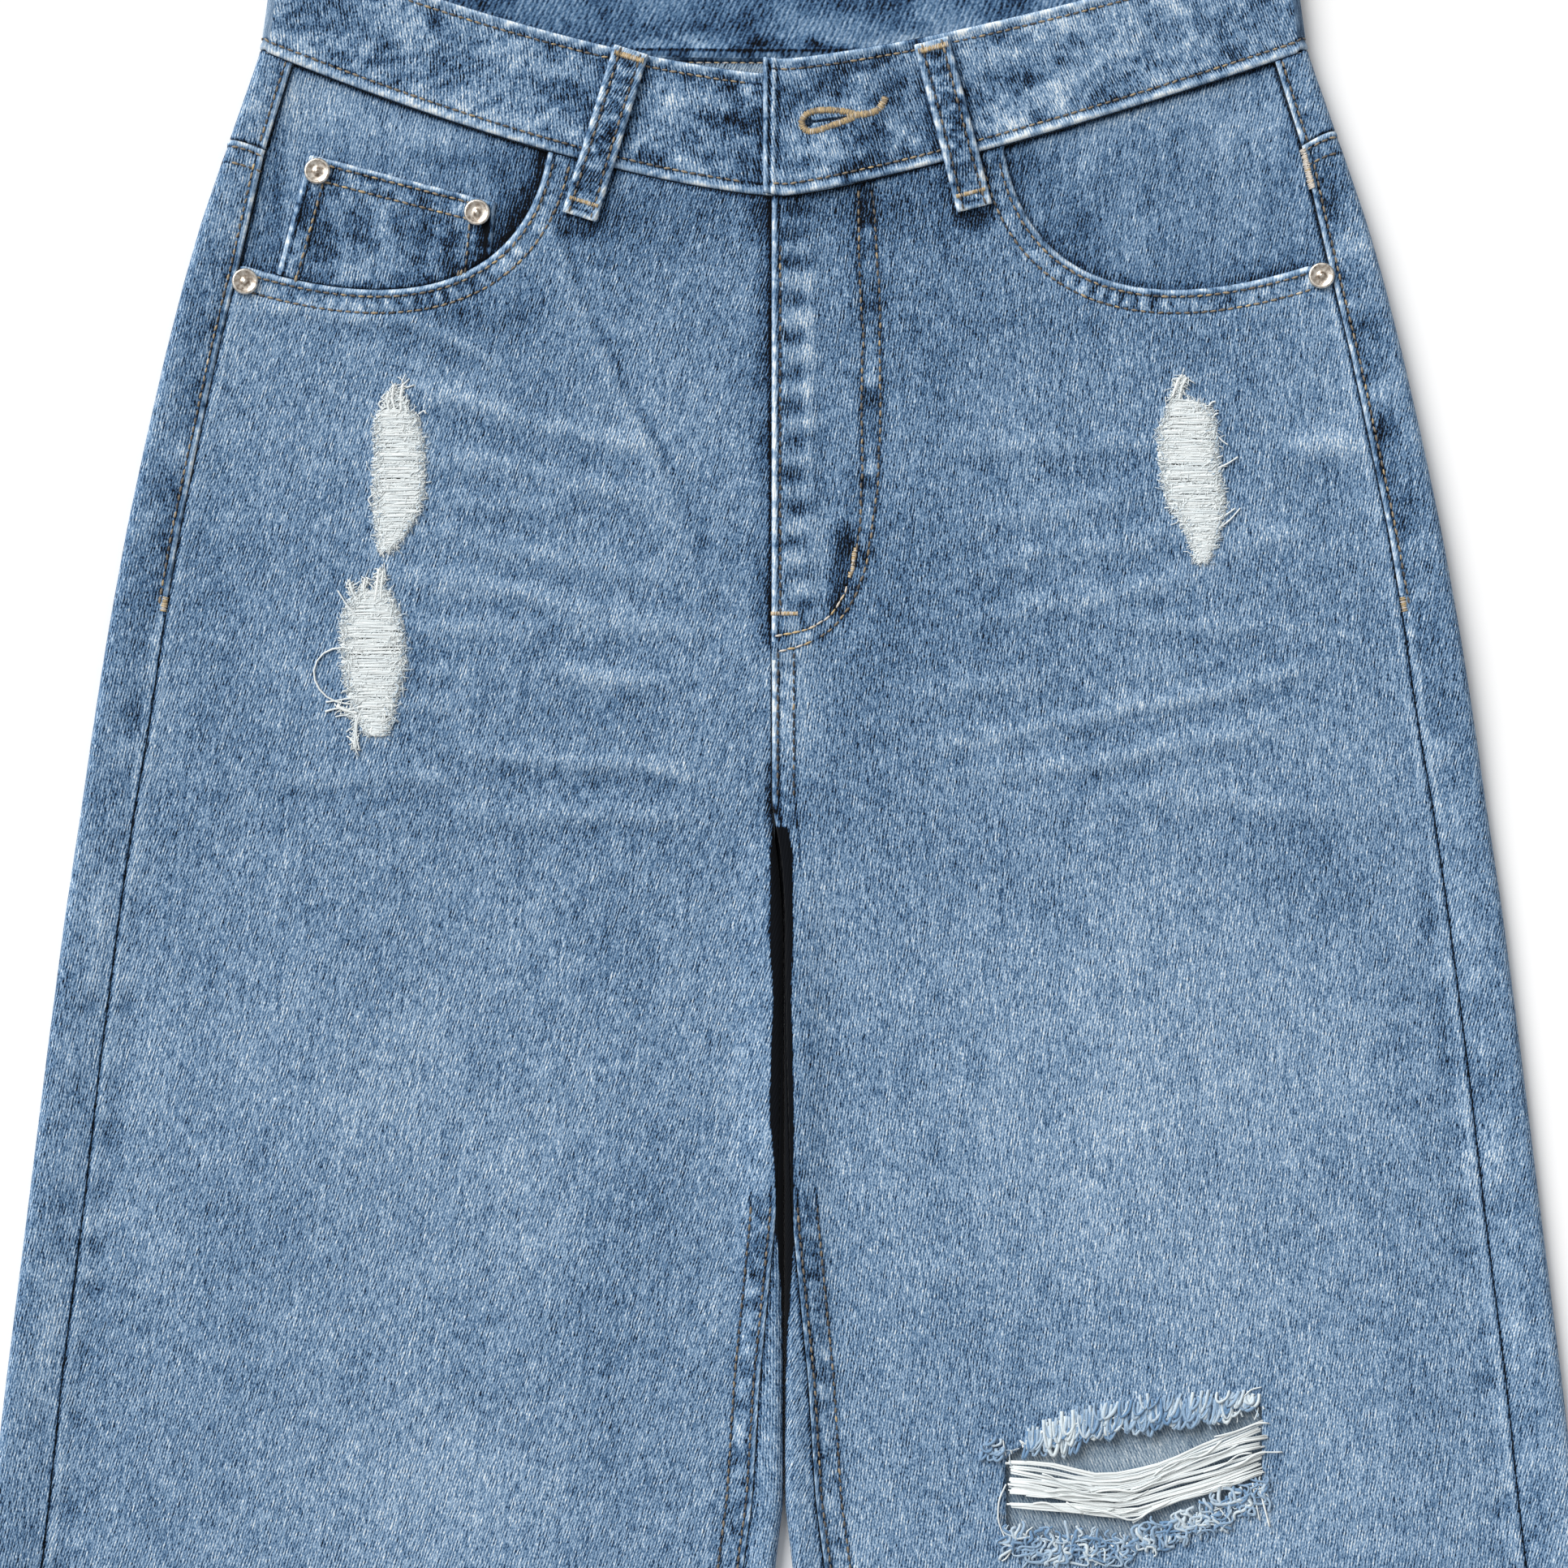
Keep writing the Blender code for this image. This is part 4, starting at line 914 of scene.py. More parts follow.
def front_centre(look, side, offset, across):
    """Centre seam, fly and inseam beside the inner edge."""
    y = look.y
    leg = leg_share(y)
    inseam = leg * ease((0.09 - y) / 0.03)
    look.turn_edge(offset * INSEAM_SHARE + INSEAM_ROPE, y, 12, inseam)
    # Ladder puckers along the inseam, with painted light on their ridges and painted shade in their hollows
    look.ridge(offset, 5.2, 2.4, 0.16, 0.24, wobble(y, 3 * MM, 41) * inseam)
    look.ridge(offset, 5.2, 4.5, 0, -0.1, inseam)
    look.paint_gap_shade(side, across)
    # A dip along the centre seam at the crotch, with painted shade in it
    dip = ease((0.24 - y) / 0.04) * (1 - 0.6 * leg)
    look.add(dip * np.clip(1 - offset / (5 * MM), 0, 1) ** 2, -0.8)
    look.add(dip * np.clip(1 - offset / (3.2 * MM), 0, 1) ** 1.5, 0, -0.45)
    fly = ease((y - FLY_STEP_END + 0.004) / 0.008)
    if side == "right":
        lap = across + CENTRE_FRONT
        # Painted shadow of the fly on the right front, darkest at its edge
        look.ridge(lap, 1.8, 4, 0, -0.2, fly * (1 + 0.5 * wobble(y, 9 * MM, 47)))
        look.ridge(lap, 0.2, 0.9, 0, -0.5, fly)
        look.ridge(lap, 6, 5, 0.25, 0.03, fly * wobble(y, 9 * MM, 48))
        return
    centre = (1 - leg) * ease((FLY_STEP_END - y) / 0.01)
    look.turn_edge(offset, y, 13, centre)
    look.ridge(offset, 5, 3, 0, 0.06, wobble(y, 4 * MM, 42) * centre)
    look.turn_edge(np.where(offset < 6 * MM, offset, 1.0), y, 14, fly)
    look.ridge(offset, 1, 1, 0, 0.3, fly * ease((y - 0.29) / 0.02) * ease((0.375 - y) / 0.03))
    # Hollows along the fly's edge, with painted shade in them and painted light on the swells just below
    for number, spot in enumerate(FLY_HOLLOWS):
        x = 0.004 + 0.9 * MM * math.sin(3 * number)
        look.hollow(x, spot, 6.0, 3.6, -0.35, -0.36)
        look.hollow(x + 0.5 * MM, spot - 6 * MM, 4.6, 3.0, 0.15, 0.18)
    # A fold beside the fly, with painted shade in its hollow and painted light on its crest
    fold = fly * ease((0.395 - y) / 0.02) * ease((y - 0.3) / 0.03)
    look.ridge(look.x, 11.2, 1.6, -0.15, -0.12, fold)
    look.ridge(look.x, 8.8, 2, 0.2, 0.24, fold)
    for line in FLY_ROWS:
        distance = look.distance(smoothed_path(line, 3 * MM))[0]
        look.ridge(distance, 0, 0.9, -0.22, -0.28)
    between = smoothed_path((np.array(FLY_ROWS[0]) + np.array(FLY_ROWS[1])) / 2, 3 * MM)
    distance, along = look.distance(between)
    look.pucker(distance, along, (-2.6, 2.6), 5, 46, 0.2, 0.28)
    look.ridge(distance, 0, 3, 0, -0.05)
    for shade in FLY_SHADES:
        distance = look.distance(((shade.x, shade.y), (shade.end_x, shade.end_y)))[0]
        look.add(bump(distance, 0, shade.width), -0.3, shade.tone)


def front_mouth(look, side):
    """Pocket mouth, turned under and stitched twice."""
    distance, along = look.distance(mouth_curve(side))
    distance = np.where(look.y > 0.36, distance, 1.0)
    look.turn_edge(distance, along, 11)
    look.ridge(distance, 0.5, 0.9, 0, -0.12)
    look.pucker(distance, along, (3.0, 7.5), 3.4, 30 + SIDES[side], 0.22, 0.14)
    # Puckered ribs between the rows, with painted light on them and painted shade between, most at the foot
    # of the curve
    curve = 0.35 + bump(along, MOUTH_FOOT, 0.018)
    comb = np.sin(math.tau * along / (4.9 * MM) + 2 * wobble(along, 12 * MM, 33))
    look.ridge(distance, 5.3, 2.2, 0.2, 0.22, curve * comb)
    look.ridge(distance, 5.3, 2.6, 0, 0.06)
    look.add(bump(distance, EDGE_ROWS[1], 0.9 * MM), -0.25)


def detail_front(side):
    hand = SIDES[side]

    def detail(look, column):
        x, y = look.x, look.y
        across = hand * x
        look.fade(x, FRONT_WASH_AND_SHADE)
        look.crease(x, CREASES, 1.6)
        look.add(mottle(x, y, 0.011, 7) + 0.6 * mottle(x, y, 0.005, 8), 0.1)
        front_side_seam(look, side, across)
        waist = band_seam(side, across) - SEAM_GAP - y
        look.tuck(waist, 1.5, -0.3)
        look.ridge(waist, 5, 4, 0.15, 0.05, wobble(x, 8 * MM, 5))
        front_mouth(look, side)
        front_centre(look, side, np.where(column <= 1, column * FRONT_EDGE_ZONE, 1.0), across)
        look.shade_loops()
        hem = np.maximum(y - HEM, 0)
        look.add(bump(hem, HEM_DEPTH - 1.2 * MM, 1.0 * MM), -0.3)
        look.pucker(hem, x, (1, 12), 7, 49, 0.3, 0.1)
        look.edge = np.minimum(look.edge, hem)
        for rip in (rip for rip in RIPS if rip.side == side):
            look.ridge(look.distance(rip_outline(rip))[0], 0, 1.8, 0, 0.26)
        if side == "left":
            look.ridge(look.distance(knee_outline())[0], 4.5, 3, 0, -0.05)
        return x + hand * GRAIN_LEAN * y, y

    return detail


def face_height(side, drop=0.0):
    """Where a cut edge lies: on the upper face, or a little below it."""
    return lambda x, y: upper_face(side, np.abs(x), y) - drop


def build_front(side):
    columns = spaced(0, (2.4 * MM, 0.4 * MM), (6 * MM, 0.7 * MM), (18 * MM, 1.5 * MM)) / FRONT_EDGE_ZONE
    middle = np.linspace(1, 2, 68)[1:]
    outer = spaced(FRONT_EDGE_ZONE, (6 * MM, 1.7 * MM), (2.4 * MM, 0.8 * MM), (0, 0.4 * MM))[1:]
    outer = 3 - outer / FRONT_EDGE_ZONE
    rows = spaced(HEM, (HEM + 3 * MM, MM), (-0.482, 2 * MM), (-0.062, 5 * MM), (FRONT_LEVEL, 2.1 * MM),
                  (FRONT_LEVEL + FAN_SPAN - 4 * MM, 2.2 * MM), (FRONT_LEVEL + FAN_SPAN, 0.7 * MM))
    cloth = Cloth(np.concatenate([columns, middle, outer]), rows, front_surface(side))

    torn = [rip_outline(rip) for rip in RIPS if rip.side == side]
    if side == "left":
        torn.append(knee_outline())
        for line in FLY_ROWS:
            cloth.refine(smoothed_path(line, 3 * MM), 3 * MM)
    cloth.refine(mouth_curve(side, 3 * MM), 8 * MM)
    for outline in torn:
        cloth.refine(closed(outline), 3 * MM)
    for outline in [mouth_outline(side), *torn]:
        cloth.trim(outline, True, face_height(side))
    cloth.make(f"front_panel_{side}", detail_front(side), "stonewashed_denim", [f"front_{side}"])


BACK_CREASES = toned(
    Crease,
    (60, 10, 175, -4, 4, 0.07), (75, -22, 190, -16, 3.8, 0.06), (50, -48, 150, -58, 4.2, 0.07),
    (90, 42, 200, 52, 3.6, 0.05), (20, 190, 105, 228, 4, 0.06), (24, 158, 150, 180, 3.8, 0.05),
    (110, 214, 195, 222, 3.6, 0.04), (80, -330, 120, -250, 4.6, 0.04),
)
BACK_FADES = toned(
    Fade,
    (110, 60, 160, 360, 0.05), (100, 300, 130, 130, 0.05), (150, -300, 200, 250, 0.02),
)
# Hollows and swells where the back comes round to the front, beside the side seams, with painted shade in the
# hollows and painted light on the swells
WRAP_LIGHT_AND_SHADE = toned(
    Fade,
    (186.8, 415, 12, 14, -0.34), (188.5, 405, 12, 12, -0.26), (193.5, 385, 12, 14, -0.2),
    (192.5, 411, 8, 6, 0.16), (198, 397.5, 14, 12, 0.2), (197.5, 369, 14, 14, -0.34),
    (200, 353, 11, 13, -0.26), (204.5, 347, 12, 10, 0.2), (204.5, 333, 13, 13, -0.28),
    (211, 308, 13, 16, -0.26), (216, 296, 12, 12, 0.12), (-181.5, 442, 14, 40, 0.08),
    (203.6, 321.7, 13, 14, -0.36), (-185, 413, 12, 14, -0.06), (267, -20, 20, 90, 0.12),
    (228, 228.8, 20, 50, -0.06), (-187, 401, 12, 10, 0.12), (-190.5, 390, 12, 14, -0.2),
    (-196, 369, 14, 16, -0.22), (-201, 344, 13, 18, -0.18), (-206, 327, 12, 12, 0.1),
    (-209, 310, 15, 20, -0.32), (-213, 282, 13, 18, -0.22), (-215, 260, 13, 14, 0.1),
)


def detail_back(side, yoke=False):
    hand = SIDES[side]

    def detail(look, column):
        x, y = look.x, look.y
        across = hand * x
        on_top, under = column <= 1, column > 2
        look.fade(across, BACK_FADES)
        look.crease(across, BACK_CREASES, under)
        look.relief = np.maximum(look.relief, 0)
        look.add((column < 1.2) * mottle(x, y, 0.011, 17), 0.12)
        look.add(mottle(x, y, 0.018, 18), 0, 0.03)
        look.fade(x, WRAP_LIGHT_AND_SHADE, column < 1.3, 0.8, 0.85)
        # Side seam: felled and stitched down to the thigh, plain below
        seam = across - at("side_seam", y)
        seam = np.where(on_top & (seam < 12 * MM), seam, 1.0)
        felled = ease((y - FELLED_FOOT) / 0.004)
        look.turn_edge(np.where(seam < 6 * MM, seam, 1.0), y, 15, felled)
        look.tuck(seam / (1.001 - felled), 0.9, -0.3)
        look.ridge(seam, 1.7, 1.1, 0.1, 0.18, (1 - felled) * mix(0.15, 1, ease((y - 0.17) / 0.06)))
        look.pucker(seam, y, (2, 10), 9, 52, 0.25, 0.12)
        if yoke:
            waist = np.where(on_top, band_seam(side, across), back_band_seam(across)) - y
            look.tuck(waist, 1.6)
            look.tuck(y - yoke_seam(side, across, under), 1.4)
        else:
            look.turn_edge(yoke_seam(side, across, under) - y, across, 16)
        # Inner fold, inseam and centre seam, with painted shade in the curl and in the gap between the legs
        leg = leg_share(y)
        curled = column > 3
        look.tuck(np.where(curled, (4 - column) * at("inseam", y), 1.0) / (leg + 0.001))
        look.paint_gap_shade(side, across, curled)
        if side == "left":
            look.turn_edge(across, y, 19, under * (1 - leg))
        hem = np.maximum(y - HEM, 0)
        look.pucker(hem, x, (1, 12), 7, 53, 0.2, 0.1)
        look.edge = np.minimum(look.edge, hem)
        return back_weave(hand, across, column, y), y

    return detail


def back_weave(hand, across, column, y):
    """Distance along the back panel's section, for its weave."""
    crest = at("half", y) - FOLD_RADIUS
    turned = crest + HALF_TURN * np.clip(column - 1, 0, 1)
    under = crest + HALF_TURN + (crest - across)
    curled = crest + HALF_TURN + (crest - at("inner", y)) + at("inseam", y) * np.clip(column - 3, 0, 1)
    return hand * np.select([column <= 1, column <= 2, column <= 3], [across, turned, under], curled)


WRAP_WIDTH = 0.021
BACK_COLUMNS = np.concatenate([
    spaced(0, (2.4 * MM, 0.4 * MM), (6 * MM, 0.8 * MM), (WRAP_WIDTH, 1.7 * MM)) / WRAP_WIDTH,
    spans(1, (2, 9), (3, 38))[1:],
    3 + spaced(0, (0.8, 0.08), (0.96, 0.04), (1, 0.02))[1:],
])


def build_back(side):
    rows = spaced(HEM, (HEM + 3 * MM, MM), (-0.482, 2 * MM), (-0.062, 7 * MM), (BACK_LEVEL, 2.6 * MM),
                  (BACK_LEVEL + FAN_SPAN - 3 * MM, 2.6 * MM), (BACK_LEVEL + FAN_SPAN, 0.6 * MM))
    cloth = Cloth(BACK_COLUMNS, rows, back_surface(side))
    cloth.make(f"back_panel_{side}", detail_back(side), "stonewashed_denim", [f"back_{side}"])


def build_yoke(side):
    cloth = Cloth(BACK_COLUMNS, np.linspace(0, 1, 30), yoke_surface(side))
    detail = detail_back(side, yoke=True)
    cloth.make(f"yoke_panel_{side}", detail, "stonewashed_denim", [f"yoke_{side}"])


# Painted shade along the pocket mouths, and worn places of the pocket facings
FACING_WEAR_AND_SHADE = toned(
    Fade,
    (-170, 449, 40, 20, 0.24), (-150, 440, 60, 12, 0.05), (-80, 424, 14, 30, -0.36),
    (-89, 404, 12, 30, -0.4), (-96, 396, 12, 16, -0.3), (-113, 426, 30, 6, -0.14), (-124, 434, 40, 6, 0.08),
    (-96, 418, 10, 20, -0.18), (-173.5, 415, 4, 60, -0.16), (150, 442, 50, 30, 0.08),
    (112, 440, 30, 10, 0.14), (88.5, 431.5, 12, 6, 0.18), (140.4, 402.7, 30, 20, 0.07),
    (83, 426, 20, 30, -0.2), (102, 402, 16, 20, -0.14), (120, 410, 20, 50, 0.05), (143, 420, 16, 50, -0.06),
)


def build_facing(side):
    front = front_surface(side)

    def surface(column, row):
        return front(column, row) - (0, 0, FACING_DROP)

    def detail(look, column):
        x, y = look.x, look.y
        across = SIDES[side] * x
        look.add(mottle(x, y, 0.012, 61), 0.1)
        look.add(mottle(x, y, 0.02, 62), 0, 0.03)
        look.add(mottle(x, y / 6, 0.003, 63), 0.06, 0.07)
        look.fade(x, FACING_WEAR_AND_SHADE)
        beside_mouth = look.distance(mouth_curve(side))[0]
        # Painted shadow that the mouth's edge casts on the facing below it
        look.ridge(beside_mouth, 0, 2, 0, -0.2)
        look.ridge(beside_mouth, 0, 7, 0, -0.08)
        look.tuck(band_seam(side, across) - SEAM_GAP - y, 1.6)
        look.tuck(at("side_seam", y) - across, 1.6)
        if side == "left":
            look.ridge(across, 157, 0.7, 0, 0.08)
            look.ridge(across, 158.5, 0.9, 0, -0.08)
        return x, y

    rows = np.linspace(0.36, FRONT_LEVEL + FAN_SPAN, 56)
    cloth = Cloth(spans(1.2, (2, 48), (3, 13)), rows, surface)
    cloth.trim(mouth_outline(side, FACING_MARGIN), False, face_height(side, FACING_DROP))
    cloth.make(f"facing_{side}", detail, "pocket_facing_denim", [f"pocket_facing_{side}"])


def coin_point(column, row):
    foot, top = (mix(*np.array(line)[..., None], column) for line in (COIN_FOOT, COIN_TOP))
    return mix(foot, top, row)


COIN_SETTLE = 0.0003  # the coin pocket's face lies this far below the front's
# Painted shade below the coin pocket's top hem and under its inner rivet, between paler washed streaks
COIN_WASH_AND_SHADE = toned(
    Fade,
    (-164, 408, 12, 16, -0.34), (-158, 396, 12, 14, -0.2), (-170, 395, 6, 20, 0.2),
    (-145, 402, 14, 16, -0.2), (-138, 398, 10, 30, 0.16), (-127, 402, 12, 22, -0.14),
    (-116, 396, 10, 24, -0.16), (-102, 400, 7, 22, -0.44), (-108, 390, 10, 14, -0.26),
    (-151, 386, 20, 14, 0.14),
)


def build_coin_pocket():
    height = face_height("right", COIN_SETTLE)

    def surface(column, row):
        x, y = coin_point(column, row)
        return points_of(x, y, height(x, y))

    def detail(look, column):
        look.add(mottle(look.x, look.y, 0.007, 63), 0.12)
        look.add(mottle(look.x, look.y / 4, 0.0035, 64), 0.08, 0.12)
        look.fade(look.x, COIN_WASH_AND_SHADE)
        for number, line in enumerate((COIN_TOP, *zip(COIN_FOOT, COIN_TOP))):
            distance, along = look.distance(line)
            look.turn_edge(distance, along, 65 + number)
            look.pucker(distance, along, (2.5, 6 if number else 9), 4.5, 75 + number, 0.2, 0.18)
        # Painted shade beside the pocket mouth
        look.ridge(look.distance(mouth_curve("right"))[0], 0, 2.2, 0, -0.26)
        return look.x, look.y

    cloth = Cloth(np.linspace(0, 1, 72), np.linspace(0, 1, 56), surface)
    cloth.trim(mouth_outline("right", -SEAM_GAP), False, height)
    cloth.make("coin_patch", detail, "pocket_denim", ["coin_pocket"])


EYE = (0.0083, 0.4386)
EYE_RADIUS = 0.0016
SLOT_END = (0.024, 0.4406)
SLOT_WIDTH = 0.001


def buttonhole_outline():
    eye, end = np.array(EYE), np.array(SLOT_END)
    along = (end - eye) / np.linalg.norm(end - eye)
    beside = np.array((-along[1], along[0])) * SLOT_WIDTH / 2
    start = math.atan2(along[1], along[0])
    spread = math.asin(SLOT_WIDTH / 2 / EYE_RADIUS)
    angles = start + np.linspace(spread, 2 * math.pi - spread, 15)
    circle = eye + EYE_RADIUS * points_of(np.cos(angles), np.sin(angles))
    return np.vstack([circle, end - beside, end + beside])


OVER_BACK = 0.008  # the tab is above this height, and the cloth under it below
BAND_ROW_DISTANCE = 0.0039
# Folds at the tab's end: painted shade in their hollows and painted light on the crest between, each with the
# same relief
TAB_FOLDS = ((2.2, 0.5, -0.45), (3.5, 0.8, 0.34), (5.2, 0.9, -0.22))  # mm in from the tab's end, width, tone
# Shades of the waistband: painted shade in the navy hollows of its front, painted light on the swells between
# them, and the grey of the under end beside the tab
BAND_LIGHT_SHADE_AND_GREY = toned(
    Fade,
    (-154, 472, 30, 8, -0.2), (-133, 461, 26, 8, -0.24), (-112, 456, 22, 10, -0.26),
    (-90, 453, 22, 6, -0.16), (-86, 444, 20, 7, -0.14), (-124, 466, 20, 6, 0.16), (-105, 449, 16, 6, 0.16),
    (-95, 464, 20, 7, 0.14), (-29, 445, 16, 8, 0.06), (81.8, 453, 12, 8, -0.18),
    (89.6, 443.1, 10, 8, -0.18), (100.1, 445.2, 9, 8, -0.18), (109, 447.8, 10, 8, -0.08),
    (119.5, 452, 12, 8, -0.2), (133.6, 455.6, 12, 8, -0.16), (147.2, 460.9, 12, 8, -0.1),
    (77.6, 463.5, 16, 10, 0.12), (94.8, 450.9, 12, 7, 0.14), (128.4, 463.5, 22, 10, 0.12),
    (-153, 461.5, 20, 8, 0.16), (-121.8, 448.8, 10, 6, -0.3), (-75.2, 428.8, 10, 7, -0.26),
    (104.3, 480.8, 30, 10, -0.1), (70.7, 435.7, 8, 6, -0.18), (-27.8, 430, 10, 6, 0.16),
    (115.8, 444.1, 10, 6, 0.12), (91.7, 470.3, 22, 8, 0.08), (-71.3, 447.3, 12, 14, -0.24),
    (13.6, 421.5, 30, 6, -0.16), (45.1, 468.7, 14, 12, -0.18), (-128.4, 480.8, 20, 10, 0.18),
    (77, 472.9, 16, 12, 0.18), (-18, 437, 24, 12, -0.22), (-20, 427, 30, 8, -0.1), (-38, 425, 20, 6, 0.14),
    (1, 448, 8, 10, -0.1), (14, 450.5, 20, 8, -0.24), (3, 435, 8, 10, 0.14), (15, 444, 14, 4, 0.08),
    (15, 430, 18, 6, 0.1), (29, 433, 12, 10, -0.22), (9, 424, 16, 6, -0.24), (26, 426, 8, 6, 0.14),
    (35, 448, 10, 14, -0.1),
)


def build_waistband():
    rows = spaced(0, (0.03, 0.012), (0.1, 0.02), (0.9, 0.036), (0.97, 0.02), (1, 0.012))
    round_waist = spans(0, (1, 126), (2, 9), (3, 110), (4, 9))
    tab = 4 + spaced(0, (0.965, 0.0085), (1, 0.0028))[1:]
    cloth = Cloth(np.concatenate([round_waist, tab]), rows, band_surface)
    hole = buttonhole_outline()
    for reach in (4 * MM, 2.5 * MM):
        cloth.refine(closed(hole), reach, OVER_BACK)
    cloth.trim(hole, True, lambda x, y: np.interp(x, *BAND_LINES["left"]), OVER_BACK)

    def detail(look, column):
        x, y = look.x, look.y
        on_front = (column < 1) | (column > 4)
        look.add(mottle(x, y, 0.01, 71), 0.12)
        look.add(mottle(x / 1.6, y, 0.008, 72) + 0.6 * mottle(x / 1.5, y, 0.0045, 73), 0.1, 0.15)
        look.fade(x, BAND_LIGHT_SHADE_AND_GREY, on_front, 0.6)
        inside = (column > 2) & (column < 3)
        # Painted light in patches on the inside of the back waistband
        look.ridge(y, 464, 5, 0, 0.14, inside * (0.4 + 0.8 * wobble(x, 5 * MM, 82)))
        low = y - band_surface(column, 0 * column)[:, 1]
        high = band_surface(column, 0 * column + 1)[:, 1] - y
        for distance, spacing, seed in ((low, 11, 74), (high, 8, 77)):
            look.turn_edge(distance, column * 0.2, seed)
            look.pucker(distance, column * 0.2, (3.5, 9), spacing, seed + 1, 0.25, 0.3)
        tab = np.where((column > 4) & (x < BAND_TAB_END + 8 * MM), x - BAND_TAB_END, 1.0)
        look.turn_edge(np.where(tab < 1.9 * MM, tab, 1.0), y, 80)
        for place, width, tone in TAB_FOLDS:
            look.ridge(tab, place, width, tone, tone)
        # Painted shadow of the tab's end on the under end beside it
        under = np.where(column < 1, BAND_TAB_END - x, 1.0)
        look.ridge(under, 0, 2.5, 0, -0.3, under > 0)
        look.ridge(under, 0, 14, 0.05, 0.1, wobble(y, 1.1 * MM, 81))
        look.shade_loops(on_front)
        look.add((column > 4) * ease((0.045 - x) / 0.01), 0, -0.08)
        return column * 0.19, y

    cloth.make("waistband_cloth", detail, "waistband_denim", ["waistband"], BAND_CLOTH,
               inside="waistband_inside")


def loop_places(loop):
    """Its top and foot, and the direction across it."""
    top, foot = np.array(loop.top), np.array(loop.foot)
    along = (foot - top) / np.linalg.norm(foot - top)
    return top, foot, np.array((along[1], -along[0]))


def loop_look(look, column, along, length):
    """A belt loop: roped edges, a darker middle, folded and tacked ends."""
    beside_edge = (1 - np.abs(column)) * LOOP_WIDTH / 2
    look.turn_edge(beside_edge, along, 90)
    look.add(bump(column, 0, 0.55), 0, -0.13)
    # At each end: a pale fold, then a dip with painted shade in it
    for distance in (along, length - along):
        look.ridge(distance, 2, 2.4, 0, 0.14)
        look.ridge(distance, 4.5, 0.8, -0.35, -0.1)
    look.add(mottle(look.x, look.y, 0.005, 92), 0.1, 0.1)
    look.edge = np.minimum(look.edge, np.minimum(along, length - along) + 0.3 * MM)
    return column * LOOP_WIDTH / 2, along


def build_front_loop(loop):
    side = "right" if loop.top[0] < 0 else "left"
    top, foot, beside = loop_places(loop)
    length = np.linalg.norm(foot - top)
    seam_y = band_seam(side, (top[0] + foot[0]) / 2)
    seam_share = (top[1] - seam_y) / (top[1] - foot[1])

    def surface(column, row):
        x, y = mix(top[:, None], foot[:, None], row) + beside[:, None] * column * LOOP_WIDTH / 2
        bow = LOOP_BOW * np.sin(math.pi * np.clip(row / seam_share, 0, 1))
        on_band = np.interp(x, *BAND_LINES[side]) + bow
        on_front = upper_face(side, np.abs(x), y)
        settled = ease((row - seam_share) / (1 - seam_share) / 0.6)
        return points_of(x, y, mix(on_band, on_front, settled) + LOOP_RISE)

    def detail(look, column):
        along = (look.x - top[0]) * beside[1] * -1 + (look.y - top[1]) * beside[0]
        return loop_look(look, column, np.clip(along, 0, length), length)

    cloth = Cloth(np.linspace(-1, 1, 19), np.linspace(0, 1, 62), surface)
    cloth.make(loop.name.removeprefix("belt_"), detail, "belt_loop_denim", [loop.name], PATCH_CLOTH)


def build_back_loop(name, middle):
    low, high = BACK_LOOP_SPAN

    def surface(column, row):
        return points_of(middle + column * LOOP_WIDTH / 2, mix(low, high, row), 0 * row)

    def detail(look, column):
        weave = loop_look(look, column, look.y - low, high - low)
        look.relief = np.minimum(look.relief, 0)
        return weave

    cloth = Cloth(np.linspace(-1, 1, 19), np.linspace(0, 1, 50), surface)
    cloth.make(name.removeprefix("belt_"), detail, "belt_loop_denim", [name], PATCH_CLOTH, -1)


def patch_outline(side):
    """A back pocket's five corners, from the top inner or outer one round."""
    middle, top = SIDES[side] * BACK_POCKET[0], BACK_POCKET[1]
    wide, narrow = BACK_POCKET_HALF
    drop, point = BACK_POCKET_DROP
    return ((middle - wide, top), (middle + wide, top), (middle + narrow, top - drop), (middle, top - point),
            (middle - narrow, top - drop))


def build_patch_pocket(side):
    middle, top = SIDES[side] * BACK_POCKET[0], BACK_POCKET[1]
    wide, narrow = BACK_POCKET_HALF
    drop, point = BACK_POCKET_DROP

    def surface(column, row):
        x = middle + column * mix(narrow, wide, row)
        foot = top - mix(point, drop, np.abs(column))
        return points_of(x, mix(foot, top, row), 0 * row)

    def detail(look, column):
        distance, along = look.distance(closed(patch_outline(side)))
        look.turn_edge(distance, along, 95)
        look.relief = np.minimum(look.relief, 0)
        look.pucker(distance, along, (2, 8), 4.5, 96, 0, 0.12)
        look.fade(look.x, [Fade(middle, top - 0.07, 0.1, 0.12, 0.06)])
        look.add(mottle(look.x, look.y, 0.015, 97), 0, 0.03)
        return look.x, look.y

    marks = 1 - spaced(0, (0.06, 0.007), (1, 0.045))
    across = np.concatenate([-marks, marks[::-1][1:]])
    rows = spaced(0, (0.03, 0.005), (0.1, 0.012), (0.9, 0.025), (0.97, 0.012), (1, 0.005))
    cloth = Cloth(across, rows, surface)
    nodes = [f"back_pocket_{side}"]
    cloth.make(f"patch_pocket_{side}", detail, "stonewashed_denim", nodes, PATCH_CLOTH, -1)


# ---- attaching each sheet and hiding its CAD nodes


Cut = namedtuple("Cut", "width length area")


def declare(piece, nodes):
    """Attaches a sheet to the root body and hides the CAD nodes that it stands for."""
    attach(piece, "root")
    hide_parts(*nodes)


# ---- stitches and threads


GOLD = 0.85  # tints of the thread, where it's new and where it has faded
BROWN = 0.3


